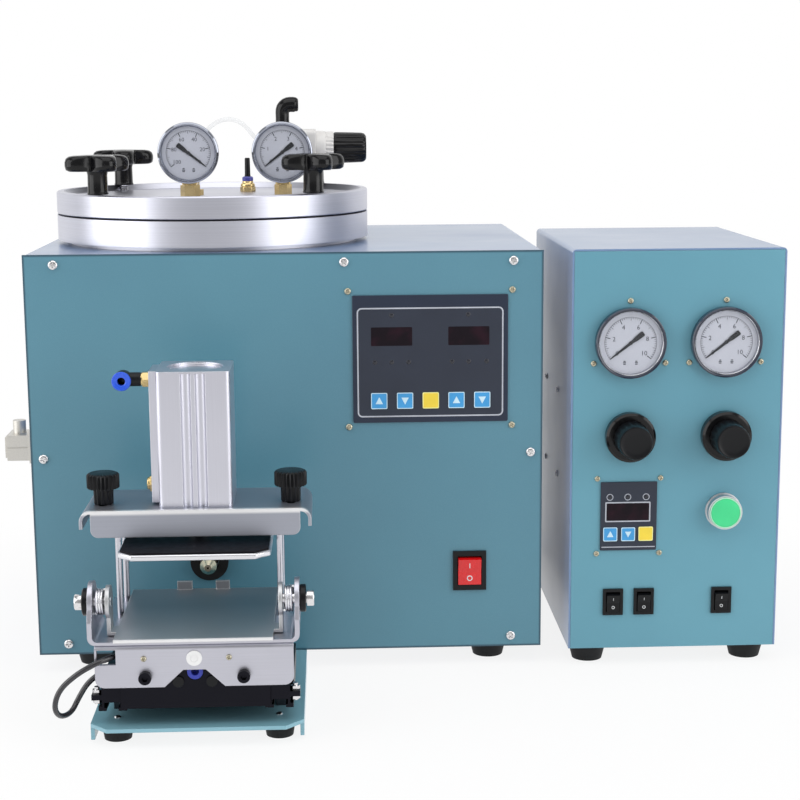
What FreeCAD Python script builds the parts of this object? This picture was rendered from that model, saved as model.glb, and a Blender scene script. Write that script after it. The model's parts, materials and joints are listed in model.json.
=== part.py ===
import FreeCAD, Part
import math
import os
import re

import Sketcher
from FreeCAD import Rotation, Vector

# A bench-top jewelry wax injector: a heated wax pot in a sheet-metal cabinet, a pneumatic mould clamp
# on a sliding carriage in front of its nozzle, and a separate control cabinet that stands beside it.
# Lengths are millimetres, +Z is up, +X is to the user's right and the user stands at -Y. Formulas are
# written in the injector's own frame: x from the middle of its cabinet, y back from the outside of its
# front panel and z up from the bench. The finished parts are moved to the middle of the footprint.

doc = FreeCAD.newDocument("WaxInjector")
sizes = doc.addObject("Spreadsheet::Sheet", "Sizes")
places = doc.addObject("App::VarSet", "Places")

DRIVING_SIZES = [
    # injector cabinet
    ("cabinet_width", 430, "injector cabinet, left to right"),
    ("cabinet_depth", 315, "front panel to rear panel"),
    ("cabinet_height", 342, "underside to top of the cover"),
    ("foot_height", 16, "rubber foot under both cabinets"),
    ("foot_top_radius", 17, "foot where it meets the sheet"),
    ("foot_bottom_radius", 13, "foot on the bench"),
    ("cabinet_foot_inset", 43, "foot centre from a cabinet side"),
    ("cabinet_foot_margin", 32, "foot centre from the front or rear"),
    ("panel_thickness", 2, "front sheet of both cabinets"),
    ("cover_thickness", 1.5, "wrapped cover and chassis sheet"),
    ("cover_bend", 3.5, "outside radius of the cover's bends"),
    ("sheet_gap", 0.2, "clearance between nested sheets"),
    # control cabinet
    ("controller_gap", 22.6, "between the two cabinets"),
    ("controller_width", 179, "control cabinet, left to right"),
    ("controller_depth", 241, "front sheet to rear sheet"),
    ("controller_height", 343, "underside to top"),
    ("controller_advance", 10.7, "how far it stands in front of the injector"),
    ("controller_foot_inset", 20, "foot centre from each edge"),
    # pot and lid
    ("pot_x", -67, "pot axis, left of the cabinet's middle"),
    ("pot_y", 145, "pot axis behind the front panel"),
    ("pot_bore_radius", 85, "inside of the pot"),
    ("pot_wall", 5, "pot wall"),
    ("pot_clearance", 50.7, "pot bottom above the nozzle block"),
    ("nozzle_block_half", 22, "half the nozzle block, across and up"),
    ("pot_floor", 9, "pot bottom"),
    ("pot_hole_gap", 4, "air around the pot in the cover"),
    ("lid_radius", 139, "outside of lid and flange"),
    ("flange_thickness", 22, "pot flange"),
    ("flange_step", 3.7, "shadow gap under the flange"),
    ("flange_step_inset", 11, "how far the step stands in"),
    ("lid_thickness", 19, "lid rim"),
    ("lid_recess", 5, "dished top of the lid"),
    ("lid_rim", 6, "rim around the dish"),
    ("gasket_thickness", 1.4, "squeezed seal between lid and flange"),
    ("gasket_width", 14, "seal, radially"),
    ("gasket_inset", 8, "seal outside the bore"),
    ("heater_thickness", 3, "band heater around the pot"),
    ("heater_low_gap", 20, "band heater above the pot bottom"),
    ("heater_high_gap", 48.3, "band heater under the cover"),
    # star knobs
    ("stud_inset", 10, "lid screw from the edge of the lid"),
    ("stud_radius", 4, "lid screw"),
    ("stud_fit", 0.06, "radial clearance of the lid screw"),
    ("stud_reach", 14, "screw engagement in the flange"),
    ("knob_washer", 2, "washer under a star knob"),
    ("knob_washer_radius", 10, "washer under a star knob"),
    ("knob_stem_radius", 8.3, "star knob stem"),
    ("knob_stem_height", 17.5, "star knob stem"),
    ("knob_head_height", 13.5, "star knob head"),
    ("knob_hub_radius", 18, "star knob between its lobes"),
    ("knob_lobe_radius", 8.6, "one lobe"),
    ("knob_lobe_circle", 20, "lobe centres"),
    ("knob_valley_radius", 7.5, "hollow between lobes"),
    ("knob_valley_circle", 24, "hollow centres"),
    # gauges
    ("lid_gauge_radius", 26.5, "bezel of a lid gauge"),
    ("lid_gauge_depth", 22, "front of bezel to back of case"),
    ("lid_gauge_front", 84, "bezel face behind the front panel"),
    ("lid_gauge_rise", 38.4, "gauge centre above the dish"),
    ("vacuum_gauge_x", -84, "vacuum gauge"),
    ("pressure_gauge_x", -2.7, "pressure gauge"),
    ("panel_gauge_radius", 29.6, "bezel of a panel gauge"),
    ("panel_gauge_front", 8, "bezel in front of the sheet"),
    ("panel_gauge_depth", 30, "case behind the sheet"),
    ("panel_gauge_drop", 78, "gauge centres under the control cabinet's top"),
    ("forward_gauge_inset", 48.8, "left panel gauge from the control cabinet's left side"),
    ("clamp_gauge_inset", 129.2, "right panel gauge from the same side"),
    ("bezel_width", 3.5, "ring in front of a dial"),
    ("dial_recess", 4.5, "dial behind the bezel's face"),
    ("lens_inset", 0.6, "lens behind the bezel's face"),
    ("lens_thickness", 1, "gauge window"),
    ("needle_thickness", 0.8, "needle blade"),
    ("needle_width", 1.3, "needle blade"),
    ("needle_hub", 2.2, "needle hub radius"),
    ("needle_clearance", 0.3, "hub in front of the dial"),
    # lid fittings
    ("fitting_hex_radius", 8.6, "brass hexagon under a lid gauge"),
    ("bleed_x", -38, "bleed valve"),
    ("bleed_y", 190, "bleed valve"),
    ("regulator_left", -14, "lid regulator body"),
    ("regulator_right", 35.5, "lid regulator body"),
    ("regulator_front", 113, "lid regulator body"),
    ("regulator_size", 30, "lid regulator body, square"),
    ("regulator_rise", 41.2, "regulator axis above the dish"),
    ("regulator_ring", 6.7, "ribbed ring beside the knob"),
    ("regulator_knob_length", 29, "lid regulator knob"),
    ("regulator_knob_radius", 13.3, "lid regulator knob"),
    ("regulator_nipple_x", 24.5, "brass nipple under the regulator"),
    ("hose_radius", 2, "clear air hose"),
    # nozzle
    ("nozzle_x", -68, "nozzle and clamp centre line"),
    ("nozzle_z", 97, "nozzle axis above the bench"),
    ("nozzle_radius", 7, "brass nozzle"),
    ("nozzle_fit", 0.05, "radial clearance of the nozzle in its block"),
    ("nozzle_reach", 25, "nozzle tip in front of the panel"),
    ("nozzle_cone", 6, "tapered end of the nozzle"),
    ("nozzle_tip_radius", 3, "end of the nozzle"),
    ("nozzle_orifice", 1, "hole in the nozzle, radius"),
    ("nozzle_travel", 4, "press that opens the nozzle"),
    ("wax_way", 1.9, "wax passage from the pot to the nozzle, radius"),
    ("bumper_radius", 16, "black bumper around the nozzle"),
    ("bumper_thickness", 6, "black bumper"),
    ("spigot_radius", 12, "nozzle block where it passes the panel"),
    # display and timer panels
    ("display_margin", 29.6, "display overlay from the cabinet's right edge"),
    ("display_width", 130, "display overlay"),
    ("display_drop", 36.3, "display overlay under the cover"),
    ("display_height", 107.4, "display overlay"),
    ("timer_inset", 26.0, "timer overlay from the same side"),
    ("timer_width", 48, "timer overlay"),
    ("timer_bottom", 102.7, "timer overlay"),
    ("timer_height", 59.5, "timer overlay"),
    ("overlay_thickness", 1.6, "overlay in front of the sheet"),
    ("window_inset", 0.6, "window behind the overlay's face"),
    ("key_rise", 0.5, "key in front of the overlay"),
    # rocker switches
    ("mains_switch_margin", 61.7, "mains switch from the cabinet's right edge"),
    ("mains_switch_z", 84.3, "mains switch"),
    ("mains_switch_width", 28.4, "mains switch bezel"),
    ("mains_switch_height", 34.4, "mains switch bezel"),
    ("mains_rocker_width", 19.7, "mains rocker"),
    ("mains_rocker_height", 24.4, "mains rocker"),
    ("small_switch_width", 17.3, "small switch bezel"),
    ("small_switch_height", 23, "small switch bezel"),
    ("small_rocker_width", 11, "small rocker"),
    ("small_rocker_height", 16.6, "small rocker"),
    ("small_switch_z", 57.2, "small switches above the bench"),
    ("forward_switch_inset", 37.8, "carriage switch from the same side"),
    ("clamp_switch_inset", 64.3, "clamp switch from the same side"),
    ("power_switch_inset", 131.2, "control cabinet switch from the same side"),
    ("bezel_proud", 2, "switch bezel in front of the sheet"),
    ("rocker_gap", 0.5, "clearance around a rocker"),
    ("rocker_tilt", 7, "rocker angle each side of level"),
    ("trunnion_radius", 0.9, "pin a rocker tips on"),
    ("trunnion_fit", 0.05, "radial clearance of that pin"),
    # control cabinet knobs and button
    ("forward_knob_inset", 49.8, "left panel regulator from the same side"),
    ("clamp_knob_inset", 131.0, "right panel regulator from the same side"),
    ("panel_knob_drop", 157.7, "panel regulators under the control cabinet's top"),
    ("ring_nut_radius", 21, "panel regulator's ring nut"),
    ("ring_nut_thickness", 9, "panel regulator's ring nut"),
    ("panel_knob_radius", 15.5, "panel regulator knob"),
    ("panel_knob_end_radius", 13.8, "front of the knob"),
    ("panel_knob_length", 23, "panel regulator knob"),
    ("button_inset", 130.8, "green button from the same side"),
    ("button_z", 136.1, "green button"),
    ("button_radius", 13.4, "green cap"),
    ("button_bezel_radius", 15.3, "metal bezel"),
    ("button_reach", 10, "bezel in front of the sheet"),
    ("button_travel", 3.5, "stroke of the button"),
    # clamp base and rails
    ("base_plate_half", 81, "half the clamp base plate's width"),
    ("base_plate_front", 178, "clamp base plate in front of the panel"),
    ("base_plate_tail", 90, "base plate under the cabinet"),
    ("base_plate_thickness", 3, "clamp base plate"),
    ("base_plate_flange", 10, "turned-down sides"),
    ("base_plate_corner", 13.5, "clipped front corners"),
    ("base_foot_radius", 12.5, "clamp foot"),
    ("base_foot_offset", 62, "clamp foot from the centre line"),
    ("base_foot_front", 152, "clamp foot in front of the panel"),
    ("rail_offset", 63, "rail from the centre line"),
    ("rail_width", 12, "rail"),
    ("rail_height", 19, "rail"),
    ("rail_front", 134, "rail end in front of the panel"),
    ("rail_back", 12, "rail end nearest the panel"),
    ("rail_fit", 0.06, "clearance of the slide on its rail"),
    ("ram_radius", 5, "fixed piston rod of the carriage cylinder"),
    ("ram_height", 54, "piston rod above the bench"),
    ("carriage_travel", 24, "stroke towards the nozzle"),
    # carriage
    ("frame_front", 178, "front flange in front of the panel"),
    ("frame_sheet", 3, "carriage frame sheet"),
    ("frame_half", 74.2, "half the front flange's width"),
    ("frame_top", 81.6, "top of the frame's base"),
    ("flange_bottom", 48.5, "lower edge of the front flange"),
    ("flange_corner", 7, "rounded corner of the front flange"),
    ("frame_tail", 50, "rear edge of the frame's base"),
    ("spring_room", 9.2, "space for a pivot spring between ear and strap"),
    ("strap_depth", 60, "strap, front to back"),
    ("strap_thickness", 3.6, "side strap"),
    ("strap_bend", 6, "outside bend between strap and cross sheet"),
    ("strap_head", 16, "round end of a strap"),
    ("cross_sheet", 2.4, "cross sheet between the straps"),
    ("shoe_lap", 4, "rail shoe under the carriage block's edge"),
    ("block_tail", 70, "rear of the carriage block"),
    ("block_bottom", 31, "underside of the block's middle"),
    ("shoe_bottom", 28.5, "underside of the rail shoes"),
    ("shoe_top", 46, "top of the rail shoes"),
    ("shoe_inner_wall", 5, "rail shoe inside the rail"),
    ("shoe_outer_wall", 4.4, "rail shoe outside the rail"),
    # platform and its pivot
    ("platform_clear", 1.2, "platform beside a guide post"),
    ("platform_gap", 0.9, "air between cross sheet and platform"),
    ("platform_sheet", 2.5, "platform sheet"),
    ("platform_front", 183, "platform's front edge"),
    ("platform_back", 51, "platform's rear edge"),
    ("pivot_y", 158, "pivot in front of the panel"),
    ("pivot_z", 110, "pivot above the bench"),
    ("pivot_radius", 4, "pivot bolt"),
    ("pivot_fit", 0.06, "radial clearance on the pivot bolt"),
    ("ear_stand_off", 3.9, "platform ear outside the platform's edge"),
    ("ear_radius", 12.5, "round end of an ear"),
    ("ear_thickness", 3, "platform ear"),
    ("ear_foot_width", 16, "ear where it leaves the platform"),
    ("spring_coil_radius", 9.4, "mean radius of a pivot spring"),
    ("spring_wire", 1.9, "spring wire"),
    ("spring_turns", 3.5, "turns of a pivot spring"),
    ("pivot_washer", 5, "black washer under a bolt head"),
    ("pivot_washer_radius", 10.5, "black washer"),
    ("bolt_head", 6, "pivot bolt head"),
    ("bolt_head_radius", 5.2, "pivot bolt head"),
    # guide posts and tray
    ("post_offset", 63, "guide post from the centre line"),
    ("post_radius", 2.5, "guide post"),
    ("front_post_y", 104, "front posts in front of the panel"),
    ("rear_post_y", 62, "rear posts in front of the panel"),
    ("bar_inner_wall", 4.5, "bar inside a guide post's axis"),
    ("bar_outer_wall", 6.5, "bar outside the thumb screw's axis"),
    ("bar_front", 118, "bar over the posts"),
    ("bar_back", 53, "bar over the posts"),
    ("bar_thickness", 12, "bar over the posts"),
    ("tray_top", 173.7, "tray above the bench"),
    ("tray_sheet", 2.5, "tray sheet"),
    ("tray_overhang", 1, "tray outside the bars"),
    ("tray_front", 133, "tray's front face"),
    ("tray_back", 61, "tray's rear edge"),
    ("tray_flange", 21, "tray's front flange"),
    ("tray_corner", 6, "rounded corner of the flange"),
    ("lip_radius", 8.6, "rolled side lip"),
    ("lip_drop", 5.5, "straight end of the side lip"),
    ("tray_travel", 6, "adjustment of the tray each way"),
    ("thumb_stand_off", 9.5, "thumb screw outside a guide post's axis"),
    ("thumb_y", 108, "thumb screw in front of the panel"),
    ("thumb_screw_radius", 3, "thumb screw"),
    ("thumb_fit", 0.06, "radial clearance of the thumb screw"),
    ("thumb_neck_radius", 8, "thumb knob neck"),
    ("thumb_neck_height", 12.5, "thumb knob neck"),
    ("thumb_head_radius", 12.8, "thumb knob head"),
    ("thumb_head_height", 12, "thumb knob head"),
    # press cylinder and plate
    ("cylinder_half", 28.3, "half the press cylinder's width"),
    ("cylinder_height", 105.4, "press cylinder"),
    ("cylinder_y", 97, "press cylinder axis in front of the panel"),
    ("cylinder_side_wall", 6, "press cylinder between bore and side"),
    ("cylinder_wall", 6.3, "end walls of the cylinder"),
    ("cylinder_fit", 0.06, "radial clearance of piston and rod"),
    ("cylinder_rail", 6, "port rail on the cylinder's side"),
    ("channel_radius", 4.2, "sensor channels along the cylinder"),
    ("channel_offset", 5.6, "sensor channels from the cylinder's middle"),
    ("channel_lift", 1.4, "channel axis outside the cylinder's face"),
    ("rod_radius", 8, "press rod"),
    ("piston_thickness", 12, "piston"),
    ("piston_rest", 48, "piston above the cylinder's foot at rest"),
    ("press_travel", 40, "stroke of the press plate"),
    ("plate_clear", 2.7, "press plate beside a guide post"),
    ("plate_front", 162, "press plate's front edge"),
    ("plate_back", 68, "press plate's rear edge"),
    ("plate_hang", 29.7, "press plate's face under the tray at rest"),
    ("plate_thickness", 4.5, "press plate"),
    ("plate_corner", 12, "clipped corners of the press plate"),
    ("plate_pad", 1.5, "black backing on the press plate"),
    # connectors, cord
    ("connector_reach", 28, "plug on the cabinet's left wall"),
    ("connector_y", 47, "plug behind the front panel"),
    ("connector_z", 191, "plug above the bench"),
    ("inlet_reach", 12, "mains inlets behind the rear panels"),
    ("cord_radius", 2.1, "sensor lead on the clamp carriage"),
    ("running_gap", 0.3, "air between parts that move past each other"),
    ("slide_fit", 0.05, "clearance of a sliding face"),
]

# Places that follow from the driving sizes, each a formula of sizes and of places above it.
WORKED_OUT_PLACES = [
    ("cabinet_left", "-cabinet_width / 2"),
    ("cabinet_right", "cabinet_width / 2"),
    ("cabinet_top", "foot_height + cabinet_height"),
    ("controller_left", "cabinet_right + controller_gap"),
    ("controller_right", "controller_left + controller_width"),
    ("controller_front", "-controller_advance"),
    ("controller_inside", "controller_front + panel_thickness"),
    ("controller_back", "controller_front + controller_depth"),
    ("controller_top", "foot_height + controller_height"),
    ("forward_gauge_x", "controller_left + forward_gauge_inset"),
    ("clamp_gauge_x", "controller_left + clamp_gauge_inset"),
    ("timer_left", "controller_left + timer_inset"),
    ("forward_switch_x", "controller_left + forward_switch_inset"),
    ("clamp_switch_x", "controller_left + clamp_switch_inset"),
    ("power_switch_x", "controller_left + power_switch_inset"),
    ("forward_knob_x", "controller_left + forward_knob_inset"),
    ("clamp_knob_x", "controller_left + clamp_knob_inset"),
    ("button_x", "controller_left + button_inset"),
    ("panel_gauge_height", "controller_top - panel_gauge_drop"),
    ("panel_knob_z", "controller_top - panel_knob_drop"),
    ("flange_low", "cabinet_top + flange_step"),
    ("flange_high", "flange_low + flange_thickness"),
    ("lid_low", "flange_high + gasket_thickness"),
    ("lid_high", "lid_low + lid_thickness"),
    ("dish", "lid_high - lid_recess"),
    ("pot_outer", "pot_bore_radius + pot_wall"),
    ("nozzle_block_top", "nozzle_z + nozzle_block_half"),
    ("pot_low", "nozzle_block_top + pot_clearance"),
    ("pot_inside_low", "pot_low + pot_floor"),
    ("heater_low", "pot_low + heater_low_gap"),
    ("heater_high", "cabinet_top - heater_high_gap"),
    ("stud_circle", "lid_radius - stud_inset"),
    ("lid_gauge_z", "dish + lid_gauge_rise"),
    ("regulator_z", "dish + regulator_rise"),
    ("regulator_y", "regulator_front + regulator_size / 2"),
    ("regulator_ring_end", "regulator_right + regulator_ring"),
    ("base_plate_top", "foot_height"),
    ("base_plate_low", "base_plate_top - base_plate_thickness"),
    ("rail_top", "base_plate_top + rail_height"),
    ("platform_low", "frame_top + cross_sheet + platform_gap"),
    ("platform_top", "platform_low + platform_sheet"),
    ("shoe_inner", "rail_offset - rail_width / 2 - shoe_inner_wall"),
    ("shoe_outer", "rail_offset + rail_width / 2 + shoe_outer_wall"),
    ("block_half", "shoe_inner + shoe_lap"),
    ("strap_top", "pivot_z + strap_head"),
    ("platform_half", "post_offset - post_radius - platform_clear"),
    ("ear_inner", "platform_half + ear_stand_off"),
    ("thumb_offset", "post_offset + thumb_stand_off"),
    ("bar_inner", "post_offset - bar_inner_wall"),
    ("bar_outer", "thumb_offset + bar_outer_wall"),
    ("tray_half", "bar_outer + tray_overhang"),
    ("plate_half", "post_offset - post_radius - plate_clear"),
    ("cylinder_bore", "cylinder_half - cylinder_side_wall"),
    ("tray_low", "tray_top - tray_sheet"),
    ("bar_low", "tray_low - bar_thickness"),
    ("plate_bottom", "tray_low - plate_hang"),
    ("plate_top", "plate_bottom + plate_thickness"),
    ("cylinder_top", "tray_top + cylinder_height"),
    ("ear_outer", "ear_inner + ear_thickness"),
    ("strap_offset", "ear_outer + spring_room"),
    ("strap_outer", "strap_offset + strap_thickness"),
    ("washer_outer", "strap_outer + pivot_washer"),
    ("head_outer", "washer_outer + bolt_head"),
    ("display_right", "cabinet_right - display_margin"),
    ("display_left", "display_right - display_width"),
    ("display_top", "cabinet_top - display_drop"),
    ("display_bottom", "display_top - display_height"),
    ("mains_switch_x", "cabinet_right - mains_switch_margin"),
    ("timer_right", "timer_left + timer_width"),
    ("timer_top", "timer_bottom + timer_height"),
    ("front_reach", "max(platform_front; frame_front + 5)"),
    ("datum_x", "(controller_right + cabinet_left - connector_reach) / 2"),
    ("datum_y", "(cabinet_depth + inlet_reach - front_reach) / 2"),
]

owner_of = {}
for row, (alias, number, meaning) in enumerate(DRIVING_SIZES, start=1):
    sizes.set(f"A{row}", alias)
    sizes.set(f"B{row}", str(number))
    sizes.set(f"C{row}", meaning)
    sizes.setAlias(f"B{row}", alias)
    owner_of[alias] = f"Sizes.{alias}"
doc.recompute()

WORD = re.compile(r"[a-z][a-z0-9_]*")


def formula(text):
    """Point each plain size name in a formula at the object that holds it."""
    return WORD.sub(lambda found: owner_of.get(found.group(0), found.group(0)), str(text))


for name, text in WORKED_OUT_PLACES:
    places.addProperty("App::PropertyFloat", name, "Places")
    places.setExpression(name, formula(text))
    owner_of[name] = f"Places.{name}"
doc.recompute()


def value(text):
    """The number that a formula gives with the present sizes."""
    return float(sizes.evalExpression(formula(text)))


# ---------------------------------------------------------------------------------------------
# Primitives and booleans


def bind(thing, **formulas):
    """Bind properties of one object to formulas."""
    for property_name, text in formulas.items():
        thing.setExpression(property_name, formula(text))


def put(thing, x="0", y="0", z="0"):
    """Bind the place of one object to formulas."""
    for letter, text in zip("xyz", (x, y, z)):
        thing.setExpression(f"Placement.Base.{letter}", formula(text))


def block(name, x, y, z):
    """A box between two formulas along each axis."""
    box = doc.addObject("Part::Box", name)
    for property_name, (low, high) in zip(("Length", "Width", "Height"), (x, y, z)):
        bind(box, **{property_name: f"({high}) - ({low})"})
    put(box, x[0], y[0], z[0])
    return box


TURN_TO = {
    "x": Rotation(Vector(0, 1, 0), 90),
    "y": Rotation(Vector(1, 0, 0), -90),
    "z": Rotation(),
}


def stand(thing, axis, centre, start):
    """Lay a primitive along an axis, from start, at the two coordinates of its centre line."""
    thing.Placement = FreeCAD.Placement(Vector(), TURN_TO[axis])
    spots = list(centre)
    spots.insert("xyz".index(axis), start)
    put(thing, *spots)
    return thing


def rod(name, axis, radius, centre, low, high):
    """A cylinder along an axis; centre holds the two other coordinates in X, Y, Z order."""
    cylinder = doc.addObject("Part::Cylinder", name)
    bind(cylinder, Radius=radius, Height=f"({high}) - ({low})")
    return stand(cylinder, axis, centre, low)


def taper(name, axis, low_radius, high_radius, centre, low, high):
    """A cone along an axis."""
    cone = doc.addObject("Part::Cone", name)
    bind(cone, Radius1=low_radius, Radius2=high_radius, Height=f"({high}) - ({low})")
    return stand(cone, axis, centre, low)


def hexagon(name, axis, radius, centre, low, high):
    """A six-sided bar along an axis."""
    prism = doc.addObject("Part::Prism", name)
    prism.Polygon = 6
    bind(prism, Circumradius=radius, Height=f"({high}) - ({low})")
    return stand(prism, axis, centre, low)


def fuse(name, *parts):
    """Join parts into one solid."""
    joined = doc.addObject("Part::MultiFuse", name)
    joined.Shapes = list(parts)
    joined.Refine = True
    return joined


def cut(name, base, *tools):
    """Take tools away from a base."""
    tool = tools[0]
    if len(tools) > 1:
        tool = fuse(f"{name}_tools", *tools)
    rest = doc.addObject("Part::Cut", name)
    rest.Base = base
    rest.Tool = tool
    rest.Refine = True
    return rest


def common(name, one, other):
    """Keep what two parts share."""
    shared = doc.addObject("Part::MultiCommon", name)
    shared.Shapes = [one, other]
    shared.Refine = True
    return shared


def group(name, *parts):
    """Separate solids that share one node."""
    together = doc.addObject("Part::Compound", name)
    together.Links = list(parts)
    return together


nodes = []


def hand_over(thing, label, x="0", y="0", z="0"):
    """Name a finished sub-part and move it to the middle of the footprint."""
    if thing.TypeId in ("Part::Box", "Part::Cylinder", "Part::Cone", "Part::Prism"):
        thing = group(f"{thing.Name}_piece", thing)
    thing.Label = label
    put(thing, f"({x}) - datum_x", f"({y}) - datum_y", z)
    nodes.append(thing)
    return thing


# ---------------------------------------------------------------------------------------------
# PartDesign bodies: outlines, pads, pockets and turned shapes

ORIGIN_PLANES = {"xy": ("XY_Plane", 1), "xz": ("XZ_Plane", -1), "yz": ("YZ_Plane", 1)}


def new_body(name):
    return doc.addObject("PartDesign::Body", name)


def new_sketch(body, name, plane, level):
    """A sketch parallel to one of the body's origin planes, at a level along that plane's axis."""
    role, sign = ORIGIN_PLANES[plane]
    sketch = body.newObject("Sketcher::SketchObject", name)
    origin_plane = [part for part in body.Origin.OriginFeatures if part.Role == role][0]
    sketch.AttachmentSupport = [(origin_plane, "")]
    sketch.MapMode = "FlatFace"
    sketch.setExpression("AttachmentOffset.Base.z", formula(f"{sign} * ({level})"))
    return sketch


def fix_point(sketch, geometry, position, across, along):
    """Hold one point of a sketch at two formulas."""
    for kind, text, axis in (("DistanceX", across, -2), ("DistanceY", along, -1)):
        number = value(text)
        if abs(number) < 1e-9:
            sketch.addConstraint(Sketcher.Constraint("PointOnObject", geometry, position, axis))
            continue
        index = sketch.addConstraint(
            Sketcher.Constraint(kind, -1, 1, geometry, position, number)
        )
        sketch.setExpression(f"Constraints[{index}]", formula(text))


def draw_outline(sketch, corners):
    """Draw a closed outline of straight edges through corners given as pairs of formulas."""
    points = [Vector(value(across), value(along), 0) for across, along in corners]
    first = sketch.GeometryCount
    for start, end in zip(points, points[1:] + points[:1]):
        sketch.addGeometry(Part.LineSegment(start, end), False)
    count = len(corners)
    for index in range(count):
        following = first + (index + 1) % count
        sketch.addConstraint(
            Sketcher.Constraint("Coincident", first + index, 2, following, 1)
        )
    for index, (across, along) in enumerate(corners):
        fix_point(sketch, first + index, 1, across, along)


def draw_circle(sketch, across, along, radius):
    """Draw a circle with formulas for its centre and radius."""
    centre = Vector(value(across), value(along), 0)
    index = sketch.addGeometry(Part.Circle(centre, Vector(0, 0, 1), value(radius)), False)
    size = sketch.addConstraint(Sketcher.Constraint("Radius", index, value(radius)))
    sketch.setExpression(f"Constraints[{size}]", formula(radius))
    fix_point(sketch, index, 3, across, along)


def rectangle(left, right, low, high):
    """The corners of an upright rectangle."""
    return [(left, low), (right, low), (right, high), (left, high)]


def pad(body, name, plane, corners, low, high):
    """Grow an outline between two levels along the plane's axis."""
    sketch = new_sketch(body, f"{name}_outline", plane, low)
    draw_outline(sketch, corners)
    feature = body.newObject("PartDesign::Pad", name)
    feature.Profile = sketch
    feature.Reversed = ORIGIN_PLANES[plane][1] < 0
    bind(feature, Length=f"({high}) - ({low})")
    return feature


def pocket(body, name, plane, outlines, circles, low, high):
    """Cut outlines and circles between two levels, and make sure that material went."""
    doc.recompute()
    before = body.Shape.Volume
    sketch = new_sketch(body, f"{name}_outline", plane, low)
    for corners in outlines:
        draw_outline(sketch, corners)
    for across, along, radius in circles:
        draw_circle(sketch, across, along, radius)
    feature = body.newObject("PartDesign::Pocket", name)
    feature.Profile = sketch
    feature.Reversed = ORIGIN_PLANES[plane][1] > 0
    bind(feature, Length=f"({high}) - ({low})")
    doc.recompute()
    if body.Shape.Volume >= before - 1e-6:
        raise RuntimeError(f"{body.Name}.{name} cuts nothing")
    return feature


def revolve(body, name, corners):
    """Turn an outline of (radius, height) corners about the body's Z axis."""
    sketch = new_sketch(body, f"{name}_outline", "xz", "0")
    draw_outline(sketch, corners)
    feature = body.newObject("PartDesign::Revolution", name)
    feature.Profile = sketch
    feature.ReferenceAxis = (sketch, ["V_Axis"])
    feature.Angle = 360
    return feature


def round_edges(body, name, direction, radius, spots):
    """Fillet the straight edges along a direction that pass through the given spots."""
    doc.recompute()
    tip = body.Tip
    chosen = []
    for index, edge in enumerate(tip.Shape.Edges, start=1):
        if not isinstance(edge.Curve, Part.Line):
            continue
        if abs(edge.Curve.Direction.dot(direction)) < 0.999:
            continue
        for spot in spots:
            offset = edge.Vertexes[0].Point - spot
            across = offset - direction * offset.dot(direction)
            if across.Length < 1e-4:
                chosen.append(f"Edge{index}")
                break
    if len(chosen) < len(spots):
        raise RuntimeError(f"{body.Name}.{name} finds {len(chosen)} of {len(spots)} edges")
    fillet = body.newObject("PartDesign::Fillet", name)
    fillet.Base = (tip, chosen)
    bind(fillet, Radius=radius)
    body.Tip = fillet
    return fillet


ALONG_X = Vector(1, 0, 0)
ALONG_Y = Vector(0, 1, 0)
ALONG_Z = Vector(0, 0, 1)


def clamp_x(offset, side):
    """The x of something at an offset from the clamp's centre line, on one side of it."""
    return f"(nozzle_x {'+' if side > 0 else '-'} ({offset}))"


def side_span(inner, outer, side):
    """The x range between two offsets from the clamp's centre line, on one side of it."""
    if side > 0:
        return clamp_x(inner, 1), clamp_x(outer, 1)
    return clamp_x(outer, -1), clamp_x(inner, -1)


SIDES = (("left", -1), ("right", 1))

# ---------------------------------------------------------------------------------------------
# Injector cabinet

SCREW_SPOTS = (("cabinet_left + 25", "cabinet_top - 8.5"), ("display_left - 6.4", "cabinet_top - 8.4"),
               ("cabinet_right - 25", "cabinet_top - 8.5"),
               ("cabinet_left + 10.5", "(foot_height + cabinet_top) / 2"),
               ("cabinet_right - 9.8", "(foot_height + cabinet_top) / 2"),
               ("cabinet_left + 25", "foot_height + 9.5"), ("cabinet_right - 26", "foot_height + 9.5"))
MAINS_HOLE = ("mains_switch_width / 2 - 1.6", "mains_switch_height / 2 - 1.6")
SMALL_HOLE = ("small_switch_width / 2 - 1.2", "small_switch_height / 2 - 1.2")


def around(x, z, half):
    """A rectangle's corners around a centre, half being its half width and half height."""
    wide, tall = half
    return rectangle(f"{x} - ({wide})", f"{x} + ({wide})", f"{z} - ({tall})", f"{z} + ({tall})")


def brass_spots(left, right, low, high, out):
    """The four screws outside the corners of an overlay."""
    return [(f"{left} - {out}", f"{low} - {out}"), (f"{right} + {out}", f"{low} - {out}"),
            (f"{left} - {out}", f"{high} + {out}"), (f"{right} + {out}", f"{high} + {out}")]


GAUGE_SCREWS = [(f"{x} + (panel_gauge_radius + 5.3) * cos({angle})",
                 f"panel_gauge_height + (panel_gauge_radius + 5.3) * sin({angle})")
                for x in ("forward_gauge_x", "clamp_gauge_x") for angle in (90, 210, 330)]
DISPLAY_SCREWS = brass_spots("display_left", "display_right", "display_bottom", "display_top", "3.6")
TIMER_SCREWS = brass_spots("timer_left", "timer_right", "timer_bottom", "timer_top", "2.9")

front_panel = new_body("front_panel_body")
pad(front_panel, "panel_sheet", "xz",
    rectangle("cabinet_left", "cabinet_right", "foot_height", "cabinet_top"), "0", "panel_thickness")
pocket(front_panel, "panel_openings", "xz",
       [around("mains_switch_x", "mains_switch_z", MAINS_HOLE),
        rectangle("display_left + 9", "display_right - 9", "display_bottom + 9", "display_top - 9")],
       [("nozzle_x", "nozzle_z", "spigot_radius + 0.1")]
       + [(x, z, "2.1") for x, z in SCREW_SPOTS]
       + [(x, z, "1.6") for x, z in DISPLAY_SCREWS],
       "-1", "panel_thickness + 1")
hand_over(front_panel, "front_panel")

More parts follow.
